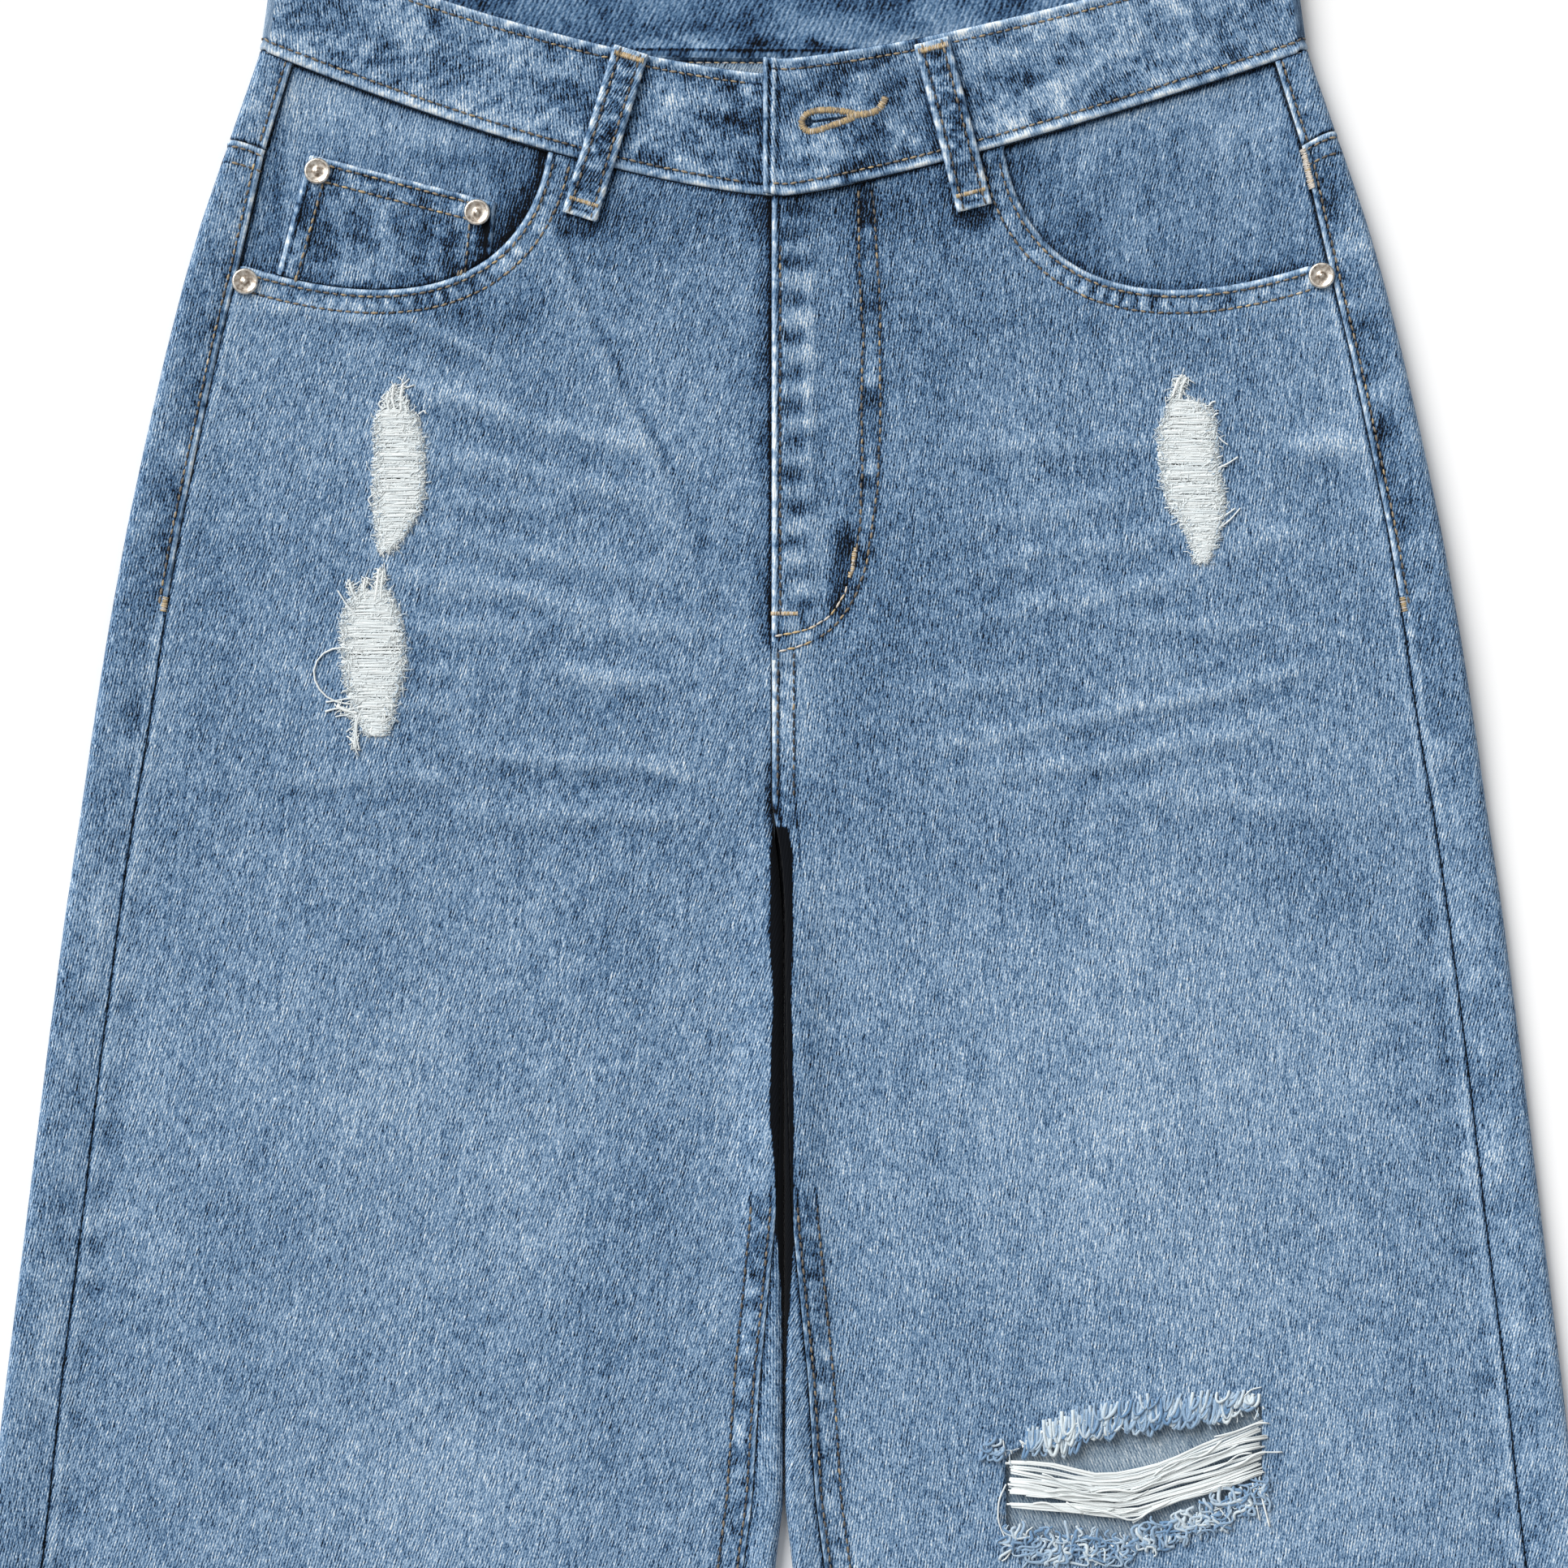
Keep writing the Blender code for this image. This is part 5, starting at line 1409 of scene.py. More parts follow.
def joined(name, template, copies, tints, finish):
    """One mesh from many copies of a template: each copy is an array of its points, with one tint."""
    faces = [[vert.index for vert in face.verts] for face in template.faces]
    count = len(template.verts)
    starts = [count * number for number in range(len(copies))]
    mesh = bpy.data.meshes.new(name)
    all_faces = [[start + index for index in face] for start in starts for face in faces]
    mesh.from_pydata(np.concatenate(copies), [], all_faces)
    paint(mesh, "tint", np.repeat(tints, count))
    mesh.shade_smooth()
    mesh.materials.append(bpy.data.materials[finish])
    piece = add_object(name, mesh)
    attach(piece, "root")
    return piece


def surface_of(name):
    """The outer face of a finished piece of cloth, to find places on it."""
    mesh = bpy.data.objects[name].data
    points = [vert.co for vert in mesh.vertices]
    return BVHTree.FromPolygons(points, [face.vertices for face in mesh.polygons])


Row = namedtuple("Row", "cloth line pitch length width tint across")


def stitches(cloth, line, pitch=3.0, length=2.6, width=0.84, tint=0.44, across=False):
    """A row of stitches along a line of points on a piece of cloth, with sizes in mm."""
    return Row(cloth, np.asarray(line, float), pitch * MM, length * MM, width * MM, tint, across)


def tack(cloth, line, length, tint=GOLD, pitch=0.42, width=0.5):
    """A bartack: close stitches that lie across their line."""
    return stitches(cloth, line, pitch, length, width, tint, True)


def level(line, height):
    """A line of (x, y) points at one height."""
    return points_of(line, np.full(len(line), height))


def on_top(side, line, rise=0.0):
    """A line of (x, y) points laid on the upper cloth face, or at heights above it."""
    line = np.asarray(line, float)
    return points_of(line, upper_face(side, np.abs(line[:, 0]), line[:, 1]) + rise)


def sew(name, rows, seed):
    """Joins the stitches of many rows into one piece."""
    template = bmesh.new()
    bmesh.ops.create_icosphere(template, subdivisions=1, radius=1)
    shape = np.array([vert.co for vert in template.verts])
    random = np.random.default_rng(seed)
    surfaces = {row.cloth: surface_of(row.cloth) for row in rows}
    copies, tints = [], []
    for row in rows:
        marks = resample(row.line, row.pitch)
        for start, end in zip(marks, marks[1:]):
            spot, normal = surfaces[row.cloth].find_nearest(Vector((start + end) / 2))[:2]
            up = np.array(normal)
            along = (end - start) - up * np.dot(end - start, up)
            along /= np.linalg.norm(along) + 1e-12
            if row.across:
                along = np.cross(up, along)
            along = along + 0.08 * random.normal(size=3)
            beside = np.cross(up, along)
            axes = np.stack([along * row.length / 2, beside * row.width / 2, up * row.width * 0.42])
            copies.append(np.array(spot) + up * 0.1 * MM + shape @ axes)
            tints.append(np.clip(row.tint + random.normal(0, 0.14), 0, 1))
    piece = joined(name, template, copies, tints, "topstitch_thread")
    template.free()


def strand_template(steps, sides):
    """A closed round bar of radius 1, cut into rings from z 0 to 1."""
    bm = bmesh.new()
    bmesh.ops.create_cone(bm, cap_ends=True, segments=sides, radius1=1, radius2=1, depth=1)
    sides_up = [edge for edge in bm.edges if abs(edge.verts[0].co.z - edge.verts[1].co.z) > 0.5]
    bmesh.ops.subdivide_edges(bm, edges=sides_up, cuts=steps - 1, use_grid_fill=True)
    bmesh.ops.translate(bm, verts=bm.verts[:], vec=(0, 0, 0.5))
    bm.verts.index_update()
    return bm


Strand = namedtuple("Strand", "path radius tint")


def spin_strands(name, strands, seed, steps=12, sides=5):
    """Joins torn yarns into one piece: each follows its own path of points."""
    template = strand_template(steps, sides)
    shape = np.array([vert.co for vert in template.verts])
    random = np.random.default_rng(seed)
    copies, tints = [], []
    for strand in strands:
        path = smoothed_path(strand.path, np.linalg.norm(np.diff(strand.path, axis=0), axis=1).sum() / 24)
        share = np.linspace(0, 1, len(path))
        along = np.gradient(path, axis=0)
        along /= np.linalg.norm(along, axis=1, keepdims=True) + 1e-12
        up = np.cross(np.cross(along, (0.0, 0.02, 1.0)), along)
        up /= np.linalg.norm(up, axis=1, keepdims=True) + 1e-12
        beside = np.cross(along, up)
        turn = random.uniform(0, math.tau)
        u = shape[:, 0] * math.cos(turn) - shape[:, 1] * math.sin(turn)
        v = shape[:, 0] * math.sin(turn) + shape[:, 1] * math.cos(turn)
        radius = strand.radius * (1 + 0.25 * wobble(shape[:, 2] * 8, 1.0, random.integers(1e6)))
        points, across, raised = (interpolated(shape[:, 2], share, line) for line in (path, beside, up))
        copies.append(points + across * (u * radius)[:, None] + raised * (v * radius * 0.8)[:, None])
        tints.append(strand.tint)
    piece = joined(name, template, copies, tints, "torn_cotton_yarn")
    template.free()
    return piece


# Loose yarns at the thigh rips
RIP_YARNS = {
    "torn_threads_thigh_upper": table(
        "points radius tint",
        (((-0.1372, 0.3405), (-0.1392, 0.3425), (-0.1375, 0.344), (-0.1362, 0.3415)), 0.3, 0.9),
        (((-0.133, 0.34), (-0.1342, 0.345), (-0.1335, 0.349)), 0.45, 1),
        (((-0.131, 0.34), (-0.1312, 0.3455), (-0.1303, 0.3495)), 0.45, 0.95),
        (((-0.135, 0.34), (-0.136, 0.344), (-0.1352, 0.3465)), 0.45, 0.9),
        (((-0.129, 0.3395), (-0.1296, 0.3425), (-0.1318, 0.345)), 0.45, 0.9),
        (((-0.125, 0.339), (-0.1232, 0.3405), (-0.1225, 0.3392)), 0.28, 0.9),
        (((-0.14, 0.312), (-0.1425, 0.31), (-0.1412, 0.3078)), 0.28, 0.9),
        (((-0.1385, 0.296), (-0.1378, 0.2925), (-0.1368, 0.29)), 0.3, 0.85),
    ),
    "torn_threads_thigh_lower": table(
        "points radius tint",
        (((-0.144, 0.2575), (-0.1461, 0.2592), (-0.153, 0.2594), (-0.1572, 0.2586), (-0.1605, 0.2545),
          (-0.1619, 0.2503), (-0.16, 0.2458), (-0.1572, 0.2419), (-0.152, 0.2398), (-0.1461, 0.2397)),
         0.34, 0.95),
        (((-0.1462, 0.27), (-0.1495, 0.2735), (-0.1527, 0.2787)), 0.32, 0.9),
        (((-0.14, 0.275), (-0.1392, 0.28), (-0.1386, 0.286)), 0.5, 1),
        (((-0.138, 0.275), (-0.1378, 0.28), (-0.1372, 0.2855)), 0.45, 0.95),
        (((-0.143, 0.275), (-0.144, 0.2795), (-0.1434, 0.2826)), 0.45, 0.95),
        (((-0.1462, 0.275), (-0.1476, 0.278), (-0.1485, 0.2812)), 0.45, 0.85),
        (((-0.153, 0.2392), (-0.15, 0.2375), (-0.146, 0.2368)), 0.5, 1),
        (((-0.1462, 0.236), (-0.147, 0.23), (-0.1466, 0.2244)), 0.45, 0.8),
        (((-0.157, 0.2372), (-0.153, 0.2386), (-0.149, 0.2378), (-0.144, 0.2392),
          (-0.1405, 0.238)), 0.34, 0.9),
        (((-0.1568, 0.2405), (-0.152, 0.2412), (-0.148, 0.242), (-0.143, 0.241)), 0.34, 0.9),
        (((-0.1535, 0.2355), (-0.15, 0.2362), (-0.146, 0.235), (-0.142, 0.2358)), 0.3, 0.85),
        (((-0.144, 0.2385), (-0.1462, 0.234), (-0.1465, 0.229), (-0.1452, 0.224)), 0.34, 0.9),
        (((-0.143, 0.236), (-0.1405, 0.233), (-0.1418, 0.2295), (-0.1395, 0.229)), 0.4, 0.95),
    ),
    "torn_threads_thigh_left": table(
        "points radius tint",
        (((0.1467, 0.338), (0.1478, 0.3392), (0.1486, 0.3394)), 0.26, 0.9),
        (((0.1481, 0.3319), (0.1502, 0.3296), (0.1519, 0.3286)), 0.26, 0.9),
        (((0.1486, 0.3206), (0.152, 0.3222), (0.1553, 0.3244)), 0.28, 0.95),
        (((0.1475, 0.3031), (0.151, 0.3044), (0.1544, 0.3069)), 0.26, 0.9),
        (((0.1489, 0.3), (0.1528, 0.303), (0.1561, 0.3069)), 0.28, 0.95),
        (((0.133, 0.345), (0.1345, 0.35), (0.1362, 0.3525)), 0.5, 1),
        (((0.1352, 0.344), (0.1362, 0.349), (0.1378, 0.3515)), 0.45, 0.95),
        (((0.1455, 0.342), (0.1468, 0.3437), (0.1475, 0.3434)), 0.34, 0.95),
    ),
}


YARN_PITCH = 0.00046  # the length of rip for each bare yarn, and for each fibre of fluff
FLUFF_PITCH = 0.000035
FUZZY_RADIUS = 0.44  # thicker yarns than this, in mm, have a coat of fluff


def fluff(side, place, random, drift, radius, tint):
    """One short stray fibre, with its drift and its range of radius in mm."""
    step = random.normal(0, 1, 2) * drift * MM
    middle = place + step / 2 + random.normal(0, 0.3 * drift, 2) * MM
    rise = np.array((0.1, random.uniform(0.4, 0.9), random.uniform(0.2, 0.7))) * MM
    path = on_top(side, [place - step * 0.3, middle, place + step], rise)
    return Strand(path, random.uniform(*radius) * MM, tint)


def build_rip(rip):
    """Fills a thigh rip with its bare weft yarns, under a cloud of fluff."""
    random = np.random.default_rng(int(abs(rip.edges[0].y) * 1e5))
    length = rip.edges[0].y - rip.edges[-1].y
    strands, fibres = [], []
    count = int(length / YARN_PITCH)

    def fray(spot, drift, radius, tints):
        fibres.append(fluff(rip.side, spot, random, drift, radius, random.uniform(*tints)))

    for number in range(count):
        left, right, y = rip_edges(rip, (number + 0.5) / count)
        beyond = random.uniform(0.2, 1.5, 2) * MM
        xs = np.linspace(left - beyond[0], right + beyond[1], 11)
        waves = wobble(np.arange(11), 3.0, random.integers(1e6)) + random.normal(0, 0.35)
        uneven = wobble(np.arange(11), 2.0, random.integers(1e6)) * 0.16 * MM
        rise = 0.5 * MM * np.sin(np.linspace(0, math.pi, 11)) ** 0.5 + uneven
        path = on_top(rip.side, points_of(xs, y + waves * 0.36 * MM), rise)
        strands.append(Strand(path, random.uniform(0.32, 0.44) * MM, random.uniform(0.76, 0.96)))
    # Fluff over the yarns, and thicker along the rim
    for _ in range(int(length / FLUFF_PITCH)):
        left, right, y = rip_edges(rip, random.uniform(0.01, 0.99))
        fray(np.array((random.uniform(left, right), y)), 1.3, (0.12, 0.26), (0.7, 0.96))
    left, right, y = rip_edges(rip, np.linspace(0, 1, 60))
    for rim in (points_of(left, y), points_of(right, y)):
        for place in resample(rim, 0.22 * MM):
            fray(place + random.normal(0, 0.7, 2) * MM, 1.3, (0.1, 0.24), (0.3, 0.95))
    for yarn in RIP_YARNS[rip.node]:
        points = resample(yarn.points, 1.2 * MM)
        strands.append(Strand(on_top(rip.side, points, 0.5 * MM), yarn.radius * MM, yarn.tint))
        if yarn.radius > FUZZY_RADIUS:
            for place in resample(yarn.points, 0.14 * MM):
                fray(place + random.normal(0, 0.5, 2) * MM, 1.2, (0.14, 0.3), (0.65, 1.0))
    piece = spin_strands(rip.node.replace("torn_threads", "bare_yarns"), strands, count)
    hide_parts(rip.node)
    spin_strands(rip.node.replace("torn_threads", "fluff"), fibres, count, 3, 3)


# The rolled loops of the knee's upper fray, from the rim down and back up
KNEE_LOOPS = table(
    "x y drop",
    (0.0711, -0.0161, 0.003), (0.085, -0.0095, 0.0095), (0.0905, -0.008, 0.0105), (0.096, -0.0058, 0.011),
    (0.101, -0.0042, 0.0115), (0.1062, -0.0028, 0.0115), (0.1112, -0.0022, 0.011), (0.1165, -0.0014, 0.0105),
    (0.1218, -0.0006, 0.0095), (0.1275, 0.0, 0.009), (0.133, 0.0004, 0.0088), (0.1385, 0.0004, 0.0085),
    (0.144, 0.0006, 0.0085), (0.149, 0.001, 0.007), (0.1535, 0.0014, 0.005), (0.158, 0.002, 0.0036),
)


# The longest single ends at the knee's corners; radius in mm
KNEE_ENDS = table(
    "points rise radius tint",
    (((0.0761, -0.0275), (0.0735, -0.033), (0.0732, -0.04), (0.0761, -0.0469)), 0.0007, 0.3, 0.9),
    (((0.078, -0.05), (0.0762, -0.053), (0.0747, -0.0539)), 0.0006, 0.3, 0.9),
    (((0.1569, 0.0019), (0.16, 0.005), (0.1636, 0.0058)), 0.0006, 0.26, 0.8),
    (((0.1622, -0.0264), (0.164, -0.033), (0.1664, -0.042)), 0.0007, 0.34, 1.0),
    (((0.1606, -0.027), (0.1618, -0.034), (0.163, -0.04)), 0.0007, 0.3, 0.9),
)


def build_knee():
    """Fills the knee hole: a band of long white wefts, fraying loops above it and curled ends below it."""
    random = np.random.default_rng(29)
    strands = []

    def lay(points, rise, radius, tint):
        strands.append(Strand(on_top("left", points, rise), radius * MM, tint))

    # The yarns of the band cling together in bundles, which part and meet again
    bundles, yarns = 9, 5
    for bundle in range(bundles):
        ragged = random.uniform(-1.5, 1.5, 2) * MM
        xs = np.linspace(KNEE_HOLE[0].x + 2.0 * MM + ragged[0], KNEE_HOLE[-1].x + ragged[1], 30)
        band = mix(knee_line("threads_top", xs), knee_line("threads_foot", xs), (bundle + 0.5) / bundles)
        band = band + wobble(xs, 9 * MM, 300 + bundle) * 1.3 * MM
        spread = (0.27 + 0.12 * wobble(xs, 8 * MM, 350 + bundle)) * MM
        rise = 0.4 * MM + wobble(xs, 9 * MM, 500 + bundle) * 0.5 * MM
        for number in range(yarns):
            seed = 400 + yarns * bundle + number
            ys = band + (number - 2) * spread + wobble(xs, 4 * MM, seed) * 0.4 * MM
            line = points_of(xs + random.uniform(-1, 1) * MM, ys)
            lay(line, rise + wobble(xs, 5 * MM, seed + 50) * 0.25 * MM,
                random.uniform(0.26, 0.38), random.uniform(0.8, 1.0))
    for number in range(24):
        start = random.uniform(0.078, 0.15)
        span = random.uniform(0.012, 0.03)
        xs = np.linspace(start, start + span, 9)
        band = mix(knee_line("threads_top", xs), knee_line("threads_foot", xs), random.uniform(0.02, 1.0))
        rise = 0.6 * MM + 0.9 * MM * np.sin(np.linspace(0, math.pi, 9))
        lay(points_of(xs, band + wobble(xs, 6 * MM, 600 + number) * 1.6 * MM), rise,
            random.uniform(0.22, 0.36), random.uniform(0.8, 1.0))
    # Loops that hang from the upper rim
    for x, y, drop in KNEE_LOOPS:
        for _ in range(11):
            lean = random.uniform(-3.0, 1.0) * MM
            left = x + random.normal(0, 1.6 * MM)
            width = random.uniform(1.8, 4.4) * MM
            top = y + random.normal(0.8, 1.4) * MM
            depth = drop * random.uniform(0.5, 1.25)
            points = ((left, top), (left + lean * 0.4, top - depth * 0.6),
                      (left + lean + width * 0.4, top - depth),
                      (left + lean * 0.6 + width, top - depth * 0.55), (left + width, top + 0.5 * MM))
            rise = np.array((0.2, 0.9, 1.3, 1.0, 0.2)) * random.uniform(0.4, 1.2) * MM
            lay(points, rise, random.uniform(0.4, 0.68), 0.66 * random.uniform(0, 1) ** 1.2)
    # Short ends that stand off both rims
    xs = np.linspace(KNEE_HOLE[0].x, KNEE_HOLE[-1].x, 90)
    rims = [points_of(xs, knee_line(name, xs)) for name in ("hole_top", "hole_foot")]
    for place in np.vstack([resample(rim, 1.3 * MM) for rim in rims]):
        drift = np.array((random.normal(0, 1.6), random.normal(0, 2.0))) * MM
        bend = place + drift * 0.6 + random.normal(0, 0.8 * MM, 2)
        lay([place, bend, place + drift], np.array((0.2, 0.8, 0.5)) * MM,
            random.uniform(0.16, 0.34), random.uniform(0.3, 1.0))
    # Curls of the lower fray
    for x in np.linspace(0.075, 0.166, 210):
        y = knee_line("hole_foot", x) + random.uniform(-6.0, 4.0) * MM
        size = random.uniform(1.4, 3.4) * MM
        along = np.linspace(-1, 1, 9)
        lean = random.normal(0, 0.8)
        bow = random.uniform(0.4, 1.3)
        bow = bow * np.sin(random.uniform(2.0, 4.5) * along + random.uniform(0, math.tau))
        points = points_of(x + size * (0.7 * bow + lean * along), y + size * (along - 0.5 * lean * bow))
        lay(points, 0.7 * MM + 0.4 * MM * np.cos(3 * along),
            random.uniform(0.36, 0.62), 0.6 * random.uniform(0, 1) ** 1.2)
    for yarn in KNEE_ENDS:
        lay(yarn.points, yarn.rise, yarn.radius, yarn.tint)
    piece = spin_strands("bare_yarns_knee", strands, 31)
    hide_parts("torn_threads_knee")


# ---- topstitching and small parts


def seam_line(side, offset, low, high, count=160):
    """A line on the upper face, beside the side seam."""
    y = np.linspace(low, high, count)
    return on_top(side, points_of(SIDES[side] * (at("side_seam", y) + offset), y))


def surface_line(surface, columns, rows):
    """A line on a surface, with one of its columns and rows the same all along."""
    columns, rows = np.broadcast_arrays(columns, rows)
    return surface(columns.astype(float), rows.astype(float))


def moved(line, offset):
    """A line of (x, y) points moved to its left by an offset."""
    line = np.asarray(line, float)
    along = np.gradient(line, axis=0)
    along /= np.linalg.norm(along, axis=1, keepdims=True)
    return line + points_of(-along[:, 1], along[:, 0]) * offset


FELLED_FOOT = 0.274  # the side seam is felled and stitched above this height
BAND_OVER = 0.009  # a height above the whole waistband
LOOP_ROW = 0.0035  # a loop's two rows, from its middle line
PATCH_HEM = 0.006  # between the two rows along a back pocket's top


def rows_of_side(side):
    hand = SIDES[side]
    kinds = ("front_panel", "back_panel", "yoke_panel", "patch_pocket")
    front, back, yoke, patch = (f"{kind}_{side}" for kind in kinds)
    for margin in EDGE_ROWS:
        yield stitches(front, on_top(side, mouth_curve(side, margin)[1:]))
        column = (margin - INSEAM_ROPE) / INSEAM_SHARE / FRONT_EDGE_ZONE
        inseam = surface_line(front_surface(side), column, np.linspace(-0.485, 0.068, 240))
        yield stitches(front, inseam, tint=BROWN)
    yield stitches(back, seam_line(side, 2.8 * MM, FELLED_FOOT, 0.425))
    yield stitches(yoke, seam_line(side, 2.6 * MM, 0.432, 0.46))
    for margin in EDGE_ROWS:
        across = np.linspace(0.1785, 0.189, 8)
        yield stitches(back, on_top(side, points_of(hand * across, yoke_seam(side, across) - margin)))
        across = np.linspace(0.186, 0.002, 90)
        line = points_of(hand * across, yoke_seam(side, across, True) - margin)
        yield stitches(back, level(line, at("lift", 0.4)))
    hem = HEM + HEM_DEPTH - 1.5 * MM
    yield stitches(back, surface_line(back_surface(side), np.linspace(0, 4, 400), hem))
    yield stitches(front, surface_line(front_surface(side), np.linspace(0, 3, 300), hem))
    outline = np.array(patch_outline(side))
    centre = np.array((hand * BACK_POCKET[0], BACK_POCKET[1] - BACK_POCKET_DROP[0] / 2))
    for margin, drop in zip(EDGE_ROWS, (0, PATCH_HEM)):
        inset = centre + (outline - centre) * (1 - margin / BACK_POCKET_HALF[0])
        yield stitches(patch, level(np.vstack([inset[1:], inset[:1]]), 0))
        yield stitches(patch, level(inset[:2] - (0, drop), 0))


def rows_of_middle():
    front = "front_panel_left"
    y = np.linspace(0.27, 0.4105, 20)
    yield stitches(front, surface_line(front_surface("left"), 3.0 * MM / FRONT_EDGE_ZONE, y), tint=0.22)
    for line, foot_top in zip(FLY_ROWS, FLY_FOOT_TOPS):
        path = on_top("left", smoothed_path(line, 3 * MM), MM)
        foot = path[:, 1] < foot_top
        yield stitches(front, path[~foot], tint=0.38)
        yield stitches(front, path[foot], length=3.3, tint=0.97)
    yield tack(front, on_top("left", ((-0.0052, 0.2708), (0.0048, 0.2708)), FLY_STEP), 1.7, 0.92)
    side_tack = ((0.0243, 0.2932), (0.0236, 0.288), (0.0223, 0.2832))
    yield tack(front, on_top("left", side_tack, MM), 1.6, 0.95, pitch=0.4)
    for x in (-0.0022, 0.0033):
        yield stitches(front, on_top("left", [(x, y) for y in np.linspace(0.208, 0.258, 20)]), tint=0.2)
    for margin in EDGE_ROWS:
        for kind, low, high, count in (("back", 0.215, 0.388, 80), ("yoke", 0.399, 0.456, 30)):
            y = np.linspace(low, high, count)
            yield stitches(f"{kind}_panel_left", points_of(0 * y + margin, y, at("lift", y)))


def rows_of_band():
    band = "waistband_cloth"
    columns = spans(0.18, (1, 140), (2, 12), (3, 200), (4, 12), (4.985, 160))
    low, high = band_surface(columns, 0 * columns), band_surface(columns, 0 * columns + 1)
    share = BAND_ROW_DISTANCE / (high[:, 1] - low[:, 1])
    for place in (share, 1 - share):
        yield stitches(band, band_surface(columns, place))
    yield stitches(band, points_of(high[:, :2] - (0, 3.2 * MM), high[:, 2] + BAND_CLOTH)[160:340])
    seam = [(x, 0.4605, at("lift", 0.46) + BAND_CLOTH) for x in np.linspace(-0.06, 0.02, 30)]
    yield stitches(band, seam, tint=GOLD)


def rows_of_trim():
    top, left, right = (resample(line, 2 * MM) for line in (COIN_TOP, *zip(COIN_TOP, COIN_FOOT)))
    lines = [moved(top, -margin)[2:-2] for margin in EDGE_ROWS]
    lines += [moved(left, 7.2 * MM)[4:], moved(right, -8.4 * MM)[4:]]
    for line in lines:
        yield stitches("coin_patch", on_top("right", line), tint=0.5)
    for loop in FRONT_LOOPS:
        top, foot, beside = loop_places(loop)
        name = loop.name.removeprefix("belt_")
        for hand in (-1, 1):
            shift = beside * hand * LOOP_ROW
            yield stitches(name, level(resample((top + shift, foot + shift), 4 * MM), BAND_OVER), tint=BROWN)
        length = np.linalg.norm(foot - top)
        along = (foot - top) / length
        for place, reach in ((2.6 * MM, 2.6), (length - 5.0 * MM, 1.8)):
            ends = [top + along * place + beside * hand * 5.2 * MM for hand in (-1, 1)]
            yield tack(name, level(ends, BAND_OVER), reach)
    low, high = BACK_LOOP_SPAN
    for name, middle in BACK_LOOPS.items():
        piece = name.removeprefix("belt_")
        for x in (middle - LOOP_ROW, middle + LOOP_ROW):
            yield stitches(piece, [(x, low, 0), (x, high, 0)], tint=BROWN)
        for y in (low + 5 * MM, high - 5 * MM):
            yield tack(piece, [(middle - 5 * MM, y, 0), (middle + 5 * MM, y, 0)], 2.4)
    yield tack("back_panel_left", on_top("left", ((0.177, 0.4296), (0.1806, 0.4162))), 3.8, 1.1, 0.45, 0.6)
    for side in SIDES:
        yield tack(f"back_panel_{side}", seam_line(side, 1.0 * MM, 0.2715, 0.2765, 4), 2.4, pitch=0.5)


# Buttonhole binding: the upper leg, the eye and the lower leg, then the bar that ties off its tail
BUTTONHOLE_PATH = (
    (0.024, 0.4416), (0.018, 0.4427), (0.0125, 0.4428), (0.0096, 0.4424), (0.0068, 0.4415), (0.0053, 0.439),
    (0.006, 0.4361), (0.0083, 0.4348), (0.0115, 0.4357), (0.016, 0.4374), (0.0205, 0.4389), (0.024, 0.4402),
)
BUTTONHOLE_TAIL = ((0.0215, 0.4408), (0.03, 0.4416), (0.033, 0.4428), (0.0348, 0.4474))


def build_buttonhole():
    """Binds the buttonhole with a close row, and a looser one a little beside it."""
    rows = []
    for path, length, shift in ((BUTTONHOLE_PATH, 2.7, (0.25, 0.1, 0)),
                                (BUTTONHOLE_TAIL, 2.9, (0.2, 0.1, 0))):
        line = level(smoothed_path(path, 1.2 * MM), BAND_OVER)
        rows.append(tack("waistband_cloth", line, length, 0.72, width=0.52))
        rows.append(tack("waistband_cloth", line + np.array(shift) * MM, length - 0.5, 0.5, pitch=0.9))
    sew("buttonhole_binding", rows, 37)


RIVET_RADIUS = 0.0045
# Turned outline of a rivet cap: share of the radius, height
RIVET_OUTLINE = (
    (0.0, 0.0), (0.98, 0.0), (1.0, 0.0003), (1.0, 0.0009), (0.95, 0.0014), (0.86, 0.0016), (0.76, 0.0014),
    (0.68, 0.0011), (0.45, 0.001), (0.28, 0.001), (0.22, 0.0013), (0.14, 0.0017), (0.0, 0.0018),
)


def build_rivet(name, place):
    x, y = place
    side = "right" if x < 0 else "left"
    bm = bmesh.new()
    profile = [bm.verts.new((share * RIVET_RADIUS, 0, z)) for share, z in RIVET_OUTLINE]
    edges = [bm.edges.new(pair) for pair in zip(profile, profile[1:])]
    bmesh.ops.spin(bm, geom=profile + edges, axis=(0, 0, 1), cent=(0, 0, 0), angle=math.tau, steps=36,
                   use_merge=True, use_duplicate=False)
    bmesh.ops.remove_doubles(bm, verts=bm.verts[:], dist=0.00001)
    bmesh.ops.recalc_face_normals(bm, faces=bm.faces[:])
    low, high = (upper_face(side, abs(x + reach), y) for reach in (-RIVET_RADIUS, RIVET_RADIUS))
    bmesh.ops.rotate(bm, verts=bm.verts[:], cent=(0, 0, 0),
                     matrix=Matrix.Rotation(-math.atan2(high - low, 2 * RIVET_RADIUS), 3, "Y"))
    height = max(upper_face(side, abs(x), y), (low + high) / 2)
    bmesh.ops.translate(bm, verts=bm.verts[:], vec=(x, y, height))
    mesh = mesh_of(name, bm, "antiqued_rivet_metal")
    share = np.array([math.hypot(vert.co.x - x, vert.co.y - y) for vert in mesh.vertices]) / RIVET_RADIUS
    paint(mesh, "film", 0.5 * bump(share, 0.74, 0.09) + 0.8 * bump(share, 0.3, 0.18))
    mesh.shade_smooth()
    cap = add_object(name.replace("rivet", "rivet_cap"), mesh)
    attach(cap, "root")
    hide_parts(name)


# ---- finishes


